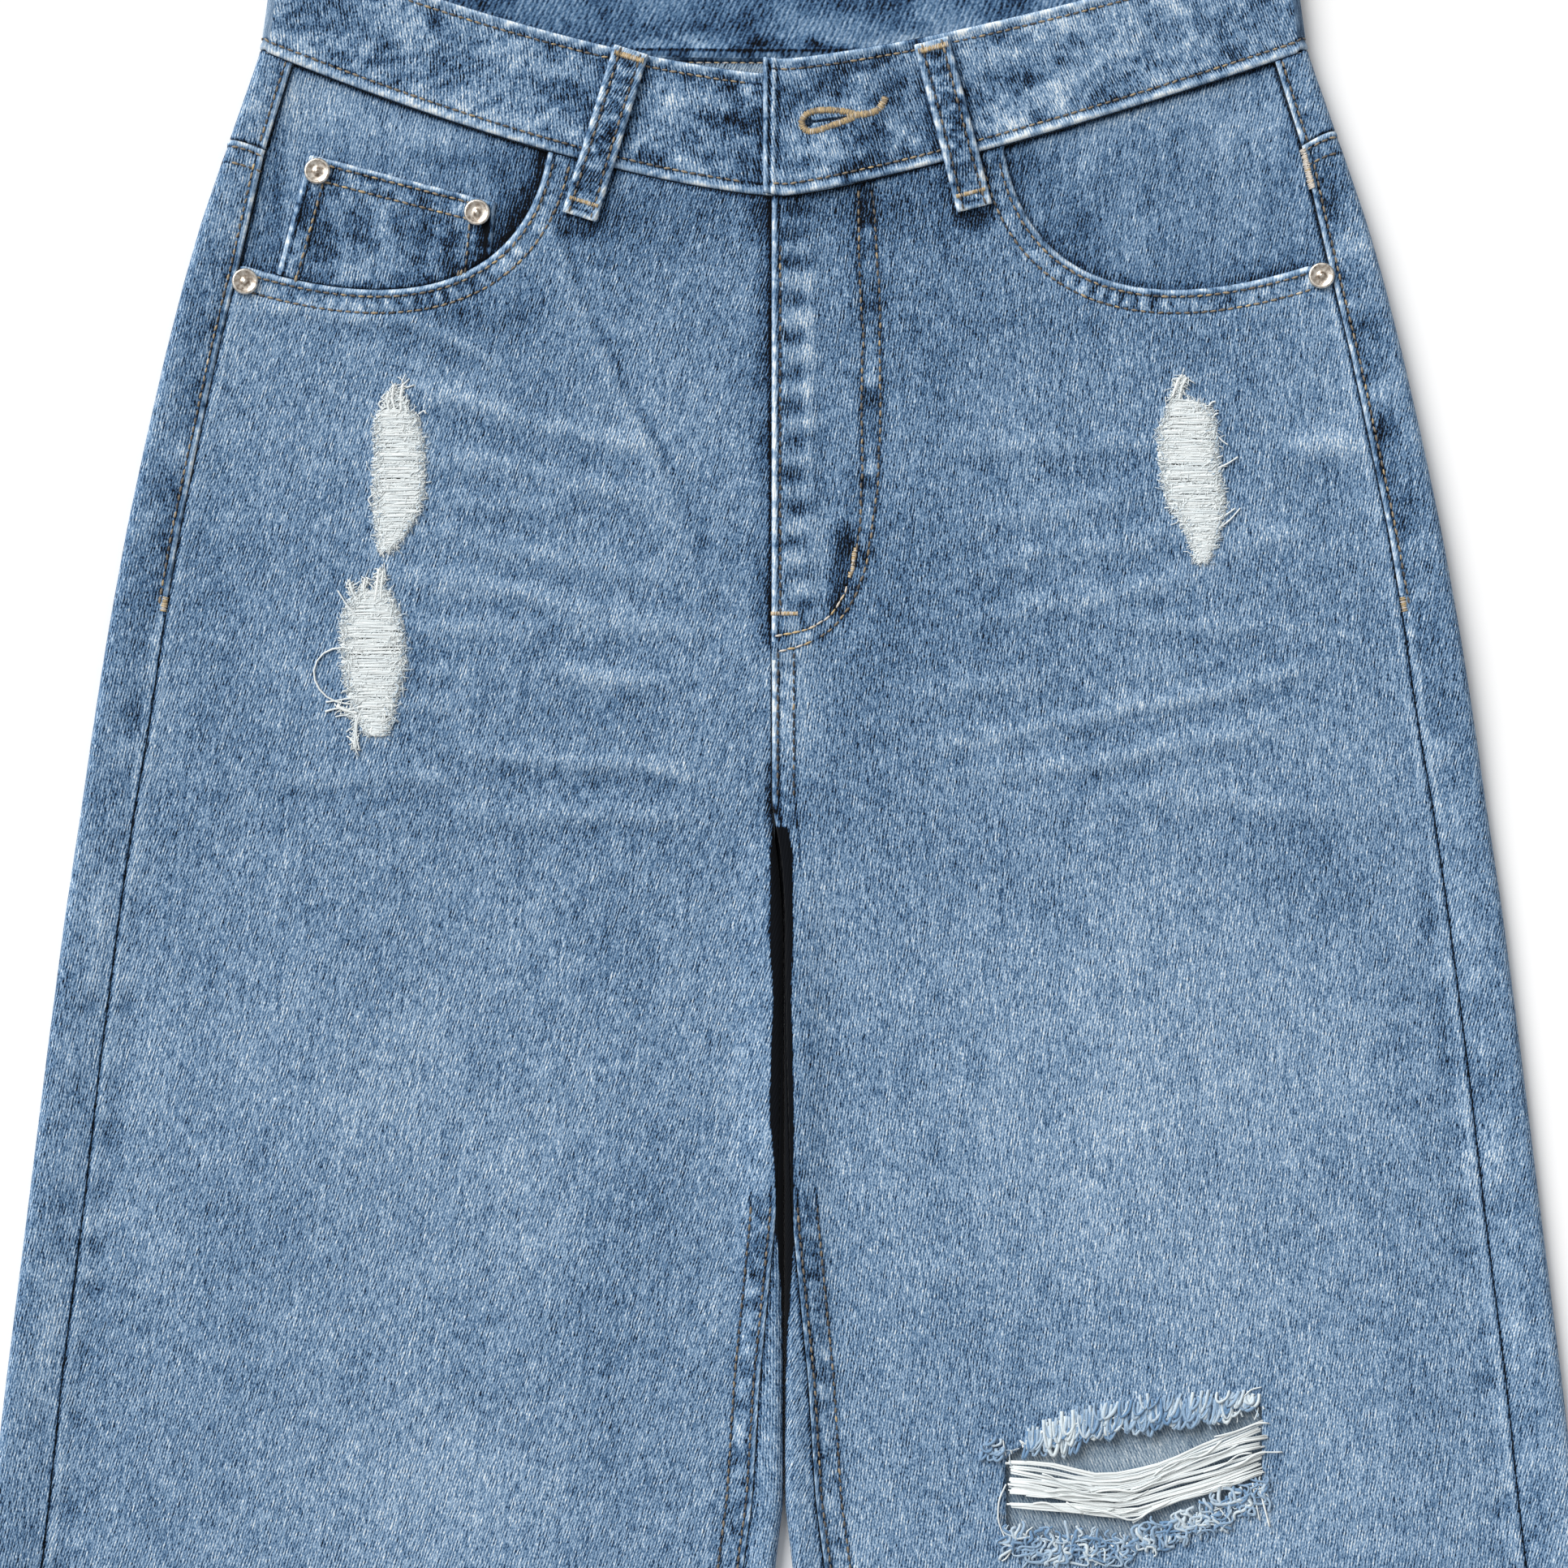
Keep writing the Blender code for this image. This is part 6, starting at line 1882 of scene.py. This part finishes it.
def linear(hex_colour):
    """An sRGB hex colour as linear RGBA."""
    parts = [int(hex_colour[i:i + 2], 16) / 255 for i in (0, 2, 4)]
    return (*(c / 12.92 if c <= 0.04045 else ((c + 0.055) / 1.055) ** 2.4 for c in parts), 1.0)


def set_sockets(tree, node, sockets):
    """Gives each input socket a value, or a link from another node's output."""
    for name, value in sockets.items():
        if isinstance(value, bpy.types.NodeSocket):
            tree.links.new(value, node.inputs[name])
        else:
            node.inputs[name].default_value = value


def add_node(tree, kind, sockets=None, output=0, stops=(), **settings):
    """Adds a node with its settings, its links and its ramp's stops, and gives one of its outputs."""
    made = tree.nodes.new("ShaderNode" + kind)
    for name, value in settings.items():
        setattr(made, name, value)
    set_sockets(tree, made, sockets or {})
    for number, (place, colour) in enumerate(stops):
        elements = made.color_ramp.elements
        if number == len(elements):
            elements.new(1.0)
        elements[number].position = place
        elements[number].color = linear(colour) if isinstance(colour, str) else (colour, colour, colour, 1.0)
    return made.outputs[output]


def new_finish(name, roughness, metallic=0.0, sheen=0.0, specular=0.3):
    """An empty finish: its node tree and its shader."""
    finish = bpy.data.materials.new(name)
    finish.use_nodes = True
    shader = finish.node_tree.nodes["Principled BSDF"]
    set_sockets(finish.node_tree, shader, {
        "Roughness": roughness, "Metallic": metallic, "Sheen Weight": sheen, "Sheen Roughness": 0.5,
        "Specular IOR Level": specular})
    return finish.node_tree, shader


# Indigo that has been washed off the raised yarns: dark in the creases, near white on the rims
# The darkest stops give the painted shade between the legs and under tucked edges
DENIM_STOPS = (
    (0.0, "05080E"), (0.1, "18283E"), (0.2, "2A4361"), (0.3, "3D5B7C"), (0.4, "527191"), (0.5, "6885A4"),
    (0.6, "7C96B1"), (0.7, "90A9C2"), (0.8, "A3BAD1"), (0.9, "B8CADB"), (1.0, "E0E7EA"),
)
# The wrong side shows the undyed weft between the blue warp
WRONG_SIDE_STOPS = (
    (0.0, "0A0C12"), (0.2, "3C4A5C"), (0.4, "62788E"), (0.6, "879AAA"), (0.8, "A9B8C4"), (1.0, "E0E6E8"),
)

Weave = namedtuple("Weave", "size_across size_along turn detail gain seed")
# Layers of the cloth's pattern, sizes in mm. The real twill line is 0.5 mm apart; it's drawn at about
# 1 mm, at which its groups of worn yarns show
TWILL_LINES = Weave(1.02, 3.6, -14, 1.0, 0.36, 21.0)
WEAVE_LAYERS = (
    Weave(0.5, 3.4, -14, 1.0, 0.75, 0.0),  # single warp yarns
    Weave(0.4, 0.8, -14, 0.0, 0.65, 3.0),  # worn crowns of the yarns
    Weave(0.6, 5.0, 16, 0.0, 0.3, 6.0),  # slubs, leaning the other way
    Weave(8.0, 9.5, 0, 2.0, 0.22, 9.0),  # blotches of the wash
    Weave(34.0, 52.0, 0, 1.0, 0.16, 12.0),  # broad cloudiness
    Weave(1.3, 26.0, 0, 1.0, 0.24, 15.0),  # upright streaks of thicker warp
)
SEAM_PATCHES = Weave(5.6, 3.2, -30, 1.0, 1.0, 18.0)


def edge_profile(channels):
    """Tones across a turned edge, up to 10 mm from it: its pale rim, and a dark channel under each row."""
    stops = [(0.0, 0.36), (0.03, 0.95), (0.1, 0.86)]
    for channel in channels:
        stops += [(channel * 100 - 0.07, 0.49), (channel * 100, 0.0), (channel * 100 + 0.07, 0.49)]
    return (*stops, (1.0, 0.5))


def make_denim(name, base, stops, contrast=1.0, channels=EDGE_ROWS, seam_patches=0.55, patches=0.0):
    """Denim whose cloth is patchy within 10 mm of a seam, and by `patches` away from it."""
    tree, shader = new_finish(name, 0.88, sheen=0.06, specular=0.1)
    weave = add_node(tree, "UVMap", uv_map="cloth", output="UV")
    tone = add_node(tree, "Attribute", attribute_name="tone", output="Fac")
    edge = add_node(tree, "Attribute", attribute_name="edge", output="Fac")

    def placed(layer):
        return add_node(tree, "Mapping", {
            "Vector": weave, "Location": (layer.seed, layer.seed, 0),
            "Rotation": (0, 0, math.radians(layer.turn)),
            "Scale": (layer.size_across * MM, layer.size_along * MM, 1)}, vector_type="TEXTURE")

    def pattern(layer):
        return add_node(tree, "TexNoise", {"Vector": placed(layer), "Scale": 1.0, "Detail": layer.detail},
                        noise_dimensions="2D")

    # A wave texture's bands are pi / 10 apart, so this scale makes its period the size that is given
    twill = add_node(tree, "TexWave", {
        "Vector": placed(TWILL_LINES), "Scale": math.pi / 10, "Distortion": 3.0, "Detail": TWILL_LINES.detail,
        "Detail Scale": 3.0}, output="Fac")
    gains = [layer.gain * contrast for layer in (TWILL_LINES, *WEAVE_LAYERS)]
    noises = [twill] + [pattern(layer) for layer in WEAVE_LAYERS]
    yarns = -sum(gains) / 2
    for noise, gain in zip(noises, gains):
        yarns = add_node(tree, "Math", {0: noise, 1: gain, 2: yarns}, operation="MULTIPLY_ADD")
    # The distance to a worked edge in cm. The yarns of its rim are rubbed down to one level
    reach = add_node(tree, "Math", {0: edge, 1: 100.0}, operation="MULTIPLY")
    rubbed = add_node(tree, "MapRange", {"Value": reach, "From Min": 0.15, "From Max": 0.25, "To Min": 0.5})
    value = add_node(tree, "Math", {0: tone, 1: base}, operation="ADD")
    value = add_node(tree, "Math", {0: yarns, 1: rubbed, 2: value}, operation="MULTIPLY_ADD")
    blotch = add_node(tree, "Math", {0: pattern(SEAM_PATCHES), 1: 0.5}, operation="SUBTRACT")
    zone = add_node(tree, "MapRange", {
        "Value": reach, "From Min": 0.75, "To Min": seam_patches, "To Max": patches})
    value = add_node(tree, "Math", {0: blotch, 1: zone, 2: value}, operation="MULTIPLY_ADD")
    profile = add_node(tree, "ValToRGB", {"Fac": reach}, stops=edge_profile(channels))
    worn = add_node(tree, "Math", {0: profile, 1: 0.5}, operation="SUBTRACT")
    broken = add_node(tree, "Math", {0: blotch, 1: 1.4, 2: 0.75}, operation="MULTIPLY_ADD")
    value = add_node(tree, "Math", {0: worn, 1: broken, 2: value}, operation="MULTIPLY_ADD")
    colour = add_node(tree, "ValToRGB", {"Fac": value}, stops=stops)
    height = add_node(tree, "Math", {0: noises[0], 1: noises[1]}, operation="ADD")
    relief = add_node(tree, "Bump", {"Strength": 0.5, "Distance": 0.25 * MM, "Height": height})
    set_sockets(tree, shader, {"Base Color": colour, "Normal": relief})


def make_yarn(name, stops, roughness, pitch):
    """Twisted cotton: its plies show as fine slanting lines."""
    tree, shader = new_finish(name, roughness, sheen=0.2)
    tint = add_node(tree, "Attribute", attribute_name="tint", output="Fac")
    place = add_node(tree, "TexCoord", output="Object")
    noise = add_node(tree, "TexNoise", {"Vector": place, "Scale": 1 / (pitch * MM), "Detail": 1.0})
    shade = add_node(tree, "Math", {0: noise, 1: 0.3, 2: -0.15}, operation="MULTIPLY_ADD")
    value = add_node(tree, "Math", {0: tint, 1: shade}, operation="ADD")
    colour = add_node(tree, "ValToRGB", {"Fac": value}, stops=stops)
    relief = add_node(tree, "Bump", {"Strength": 0.2, "Distance": 0.1 * MM, "Height": noise})
    set_sockets(tree, shader, {"Base Color": colour, "Normal": relief})


def make_rivet_metal():
    """Die-cast zinc with an antiqued nickel plating: soft shine, brown film in the hollows."""
    tree, shader = new_finish("antiqued_rivet_metal", 0.36, metallic=1.0)
    place = add_node(tree, "TexCoord", output="Object")
    noise = add_node(tree, "TexNoise", {"Vector": place, "Scale": 900.0, "Detail": 3.0})
    film = add_node(tree, "Attribute", attribute_name="film", output="Fac")
    clean = add_node(tree, "Math", {0: film, 1: -0.3, 2: noise}, operation="MULTIPLY_ADD")
    stops = ((0.08, "7A6656"), (0.3, "BDB0A2"), (0.45, "E3DACE"), (0.7, "F8F3EB"))
    colour = add_node(tree, "ValToRGB", {"Fac": clean}, stops=stops)
    rough = add_node(tree, "MapRange", {"Value": noise, "To Min": 0.28, "To Max": 0.5})
    relief = add_node(tree, "Bump", {"Strength": 0.3, "Distance": 0.05 * MM, "Height": noise})
    set_sockets(tree, shader, {"Base Color": colour, "Roughness": rough, "Normal": relief})


def make_zip_finish():
    """Brass teeth on navy woven tape: the teeth shine, the tape doesn't."""
    tree, shader = new_finish("brass_zip_on_tape", 0.55)
    place = add_node(tree, "TexCoord", output="Object")
    x = add_node(tree, "SeparateXYZ", {"Vector": place}, output="X")
    beside = add_node(tree, "Math", {0: x, 1: 0.001}, operation="ADD")
    reach = add_node(tree, "Math", {0: beside}, operation="ABSOLUTE")
    chain = add_node(tree, "Math", {0: reach, 1: 2.8 * MM}, operation="LESS_THAN")
    teeth = add_node(tree, "TexWave", {"Vector": place, "Scale": 320.0}, bands_direction="Y", output="Fac")
    metal = ((0.2, "3B2D1A"), (0.55, "B08A4C"), (0.9, "D9BC80"))
    brass = add_node(tree, "ValToRGB", {"Fac": teeth}, stops=metal)
    weave = add_node(tree, "TexNoise", {"Vector": place, "Scale": 2500.0, "Detail": 1.0})
    tape = add_node(tree, "ValToRGB", {"Fac": weave}, stops=((0.3, "1A2233"), (0.7, "34425A")))
    colour = add_node(tree, "Mix", {"Factor": chain, "A": tape, "B": brass}, "Result", data_type="RGBA")
    relief = add_node(tree, "Bump", {"Strength": 0.6, "Distance": 0.3 * MM, "Height": teeth})
    set_sockets(tree, shader, {"Base Color": colour, "Metallic": chain, "Normal": relief})


def make_floor_finish():
    """Matt white paper sweep: it takes soft shadows and no gloss."""
    tree, shader = new_finish("matt_white_floor", 0.95)
    place = add_node(tree, "TexCoord", output="Object")
    noise = add_node(tree, "TexNoise", {"Vector": place, "Scale": 40.0})
    colour = add_node(tree, "ValToRGB", {"Fac": noise}, stops=((0.3, "FAFAFA"), (0.7, "FBFBFB")))
    set_sockets(tree, shader, {"Base Color": colour})


def make_finishes(settings):
    """Mixes the finishes of the cloth, the thread, the metal parts and the floor."""
    # Stonewashed cotton denim: matt and a little fuzzy, with pale worn yarns over faded indigo ones
    make_denim("stonewashed_denim", settings.wash, DENIM_STOPS)
    make_denim("pocket_facing_denim", settings.wash - 0.03, DENIM_STOPS, 0.9, patches=0.15)
    make_denim("waistband_denim", settings.wash, DENIM_STOPS, 1.0, (BAND_ROW_DISTANCE,), 0.6, 0.55)
    make_denim("pocket_denim", settings.wash - 0.06, DENIM_STOPS, 1.0, EDGE_ROWS, 0.7, 0.45)
    make_denim("belt_loop_denim", settings.wash - 0.02, DENIM_STOPS, 1.0, (0.0028,), 1.0, 1.0)
    # The wrong side is greyer and paler. Inside the waistband the denim is darker, as painted shade
    make_denim("denim_wrong_side", 0.58, WRONG_SIDE_STOPS, 0.7)
    make_denim("waistband_inside", 0.34, DENIM_STOPS, 0.6, (BAND_ROW_DISTANCE,))
    # Carded cotton weft, bleached: matt white with a cold blue where the dye has bled
    bleached = ((0.0, "6285A8"), (0.3, "98B0C6"), (0.62, "CED8DC"), (1.0, "E6EAE9"))
    make_yarn("torn_cotton_yarn", bleached, 0.9, 0.5)
    # Spun polyester topstitching thread, faded from tan: a faint sheen along each stitch
    gold = ((0.0, "33343A"), (0.3, "645C52"), (0.55, "978872"), (0.85, "C6AC7C"), (1.0, "D2CAC0"))
    make_yarn("topstitch_thread", gold, 0.7, 0.4)
    make_rivet_metal()
    make_zip_finish()
    make_floor_finish()


# ---- stage


FLOOR_HALF = 4.0
FLOOR_DROP = 0.0005
KEY_DIRECTION = (0.62, -0.62, -0.62)
CAMERA_HEIGHT = 1.497
VIEW_CENTRE = (0.0, 0.2125)
LENS = 100  # mm, on a sensor of this width
SENSOR = 36


def set_stage(settings):
    """A white floor under soft light from the upper left, and the camera straight above the upper half."""
    bm = bmesh.new()
    bmesh.ops.create_grid(bm, x_segments=8, y_segments=8, size=FLOOR_HALF)
    bmesh.ops.translate(bm, verts=bm.verts[:], vec=(0, 0, -FLOOR_DROP))
    floor = add_object("floor", mesh_of("floor", bm, "matt_white_floor"))
    floor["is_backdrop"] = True

    world = bpy.data.worlds.new("studio")
    world.use_nodes = True
    set_sockets(world.node_tree, world.node_tree.nodes["Background"],
                {"Color": linear("FFFFFF"), "Strength": settings.fill_light})
    bpy.context.scene.world = world
    key = bpy.data.lights.new("key", "SUN")
    key.energy = settings.key_light
    key.angle = settings.key_spread
    add_object("key", key).rotation_euler = Vector(KEY_DIRECTION).to_track_quat("-Z", "Y").to_euler()

    camera = add_object("camera", bpy.data.cameras.new("camera"))
    camera.location = (*VIEW_CENTRE, CAMERA_HEIGHT)
    camera.data.lens = LENS
    camera.data.sensor_width = SENSOR
    bpy.context.scene.camera = camera
    bpy.context.scene.view_settings.view_transform = "Standard"


# ---- add-on


class JEANS_PG_cloth(bpy.types.PropertyGroup):
    """How washed the denim is"""

    wash: bpy.props.FloatProperty(
        name="Wash", description="How far the indigo has faded, from raw to bleached",
        default=0.49, min=0.2, max=0.9, subtype="FACTOR")


class JEANS_PG_stage(bpy.types.PropertyGroup):
    """The studio's light"""

    fill_light: bpy.props.FloatProperty(
        name="Fill Light", description="Strength of the even light from all round", default=0.44, min=0.0)
    key_light: bpy.props.FloatProperty(
        name="Key Light", description="Strength of the light from the upper left", default=3.7, min=0.0)
    key_spread: bpy.props.FloatProperty(
        name="Key Spread", description="Apparent width of the key light; wider is softer",
        default=math.radians(44), min=0.0, max=math.radians(90), subtype="ANGLE", unit="ROTATION")


class JEANS_OT_finishes(bpy.types.Operator):
    """Mixes the denim, thread, metal and floor finishes"""

    bl_idname = "jeans.finishes"
    bl_label = "Finishes"

    def execute(self, context):
        make_finishes(context.scene.jeans_cloth)
        return {"FINISHED"}


class JEANS_OT_backs(bpy.types.Operator):
    """Lays the back panels and yokes"""

    bl_idname = "jeans.backs"
    bl_label = "Backs and Yokes"

    def execute(self, context):
        for side in SIDES:
            build_back(side)
            build_yoke(side)
        return {"FINISHED"}


class JEANS_OT_pockets(bpy.types.Operator):
    """Lays the pocket facings, the coin pocket and the back patch pockets"""

    bl_idname = "jeans.pockets"
    bl_label = "Pockets"

    def execute(self, context):
        for side in SIDES:
            build_facing(side)
            build_patch_pocket(side)
        build_coin_pocket()
        return {"FINISHED"}


class JEANS_OT_fronts(bpy.types.Operator):
    """Lays the front panels, with the pocket mouths and torn holes cut out"""

    bl_idname = "jeans.fronts"
    bl_label = "Fronts"

    def execute(self, context):
        for side in SIDES:
            build_front(side)
        return {"FINISHED"}


class JEANS_OT_waistband(bpy.types.Operator):
    """Lays the waistband round the waist, and its belt loops"""

    bl_idname = "jeans.waistband"
    bl_label = "Waistband and Loops"

    def execute(self, context):
        build_waistband()
        for loop in FRONT_LOOPS:
            build_front_loop(loop)
        for name, middle in BACK_LOOPS.items():
            build_back_loop(name, middle)
        return {"FINISHED"}


class JEANS_OT_torn(bpy.types.Operator):
    """Fills the thigh rips and the knee hole with torn yarns"""

    bl_idname = "jeans.torn"
    bl_label = "Torn Yarns"

    def execute(self, context):
        for rip in RIPS:
            build_rip(rip)
        build_knee()
        return {"FINISHED"}


class JEANS_OT_stitching(bpy.types.Operator):
    """Sews the topstitching and binds the buttonhole"""

    bl_idname = "jeans.stitching"
    bl_label = "Stitching"

    def execute(self, context):
        rows = [*rows_of_middle(), *rows_of_band(), *rows_of_trim()]
        for side in SIDES:
            rows += rows_of_side(side)
        sew("topstitching", rows, 43)
        build_buttonhole()
        return {"FINISHED"}


class JEANS_OT_metal(bpy.types.Operator):
    """Sets the rivets and finishes the zip"""

    bl_idname = "jeans.metal"
    bl_label = "Rivets and Zip"

    def execute(self, context):
        for name, place in RIVETS.items():
            build_rivet(name, place)
        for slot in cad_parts["fly_zip"].material_slots:
            slot.material = bpy.data.materials["brass_zip_on_tape"]
        return {"FINISHED"}


class JEANS_OT_stage(bpy.types.Operator):
    """Sets the floor, the light and the camera"""

    bl_idname = "jeans.stage"
    bl_label = "Stage"

    def execute(self, context):
        set_stage(context.scene.jeans_stage)
        return {"FINISHED"}


OPERATORS = (
    JEANS_OT_finishes, JEANS_OT_stage, JEANS_OT_backs, JEANS_OT_pockets, JEANS_OT_fronts, JEANS_OT_waistband,
    JEANS_OT_torn, JEANS_OT_stitching, JEANS_OT_metal,
)


class JEANS_PT_panel(bpy.types.Panel):
    """Lists the steps that dress the jeans"""

    bl_idname = "JEANS_PT_panel"
    bl_label = "Ripped Jeans"
    bl_space_type = "VIEW_3D"
    bl_region_type = "UI"
    bl_category = "Jeans"

    def draw(self, context):
        for group in (context.scene.jeans_cloth, context.scene.jeans_stage):
            for name in group.__annotations__:
                self.layout.prop(group, name)
        for operator in OPERATORS:
            self.layout.operator(operator.bl_idname)


CLASSES = (JEANS_PG_cloth, JEANS_PG_stage, *OPERATORS, JEANS_PT_panel)


def register():
    for cls in CLASSES:
        bpy.utils.register_class(cls)
    bpy.types.Scene.jeans_cloth = bpy.props.PointerProperty(type=JEANS_PG_cloth)
    bpy.types.Scene.jeans_stage = bpy.props.PointerProperty(type=JEANS_PG_stage)


def unregister():
    del bpy.types.Scene.jeans_stage
    del bpy.types.Scene.jeans_cloth
    for cls in reversed(CLASSES):
        bpy.utils.unregister_class(cls)


def main():
    register()
    bpy.ops.jeans.finishes()
    bpy.ops.jeans.stage()
    bpy.ops.jeans.backs()
    bpy.ops.jeans.pockets()
    bpy.ops.jeans.fronts()
    bpy.ops.jeans.waistband()
    bpy.ops.jeans.torn()
    bpy.ops.jeans.stitching()
    bpy.ops.jeans.metal()
    sizes = {"cad": CAD_BOX, "visual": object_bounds()}
    {name: [list(corner) for corner in box] for name, box in sizes.items()}


if __name__ == "__main__":
    main()
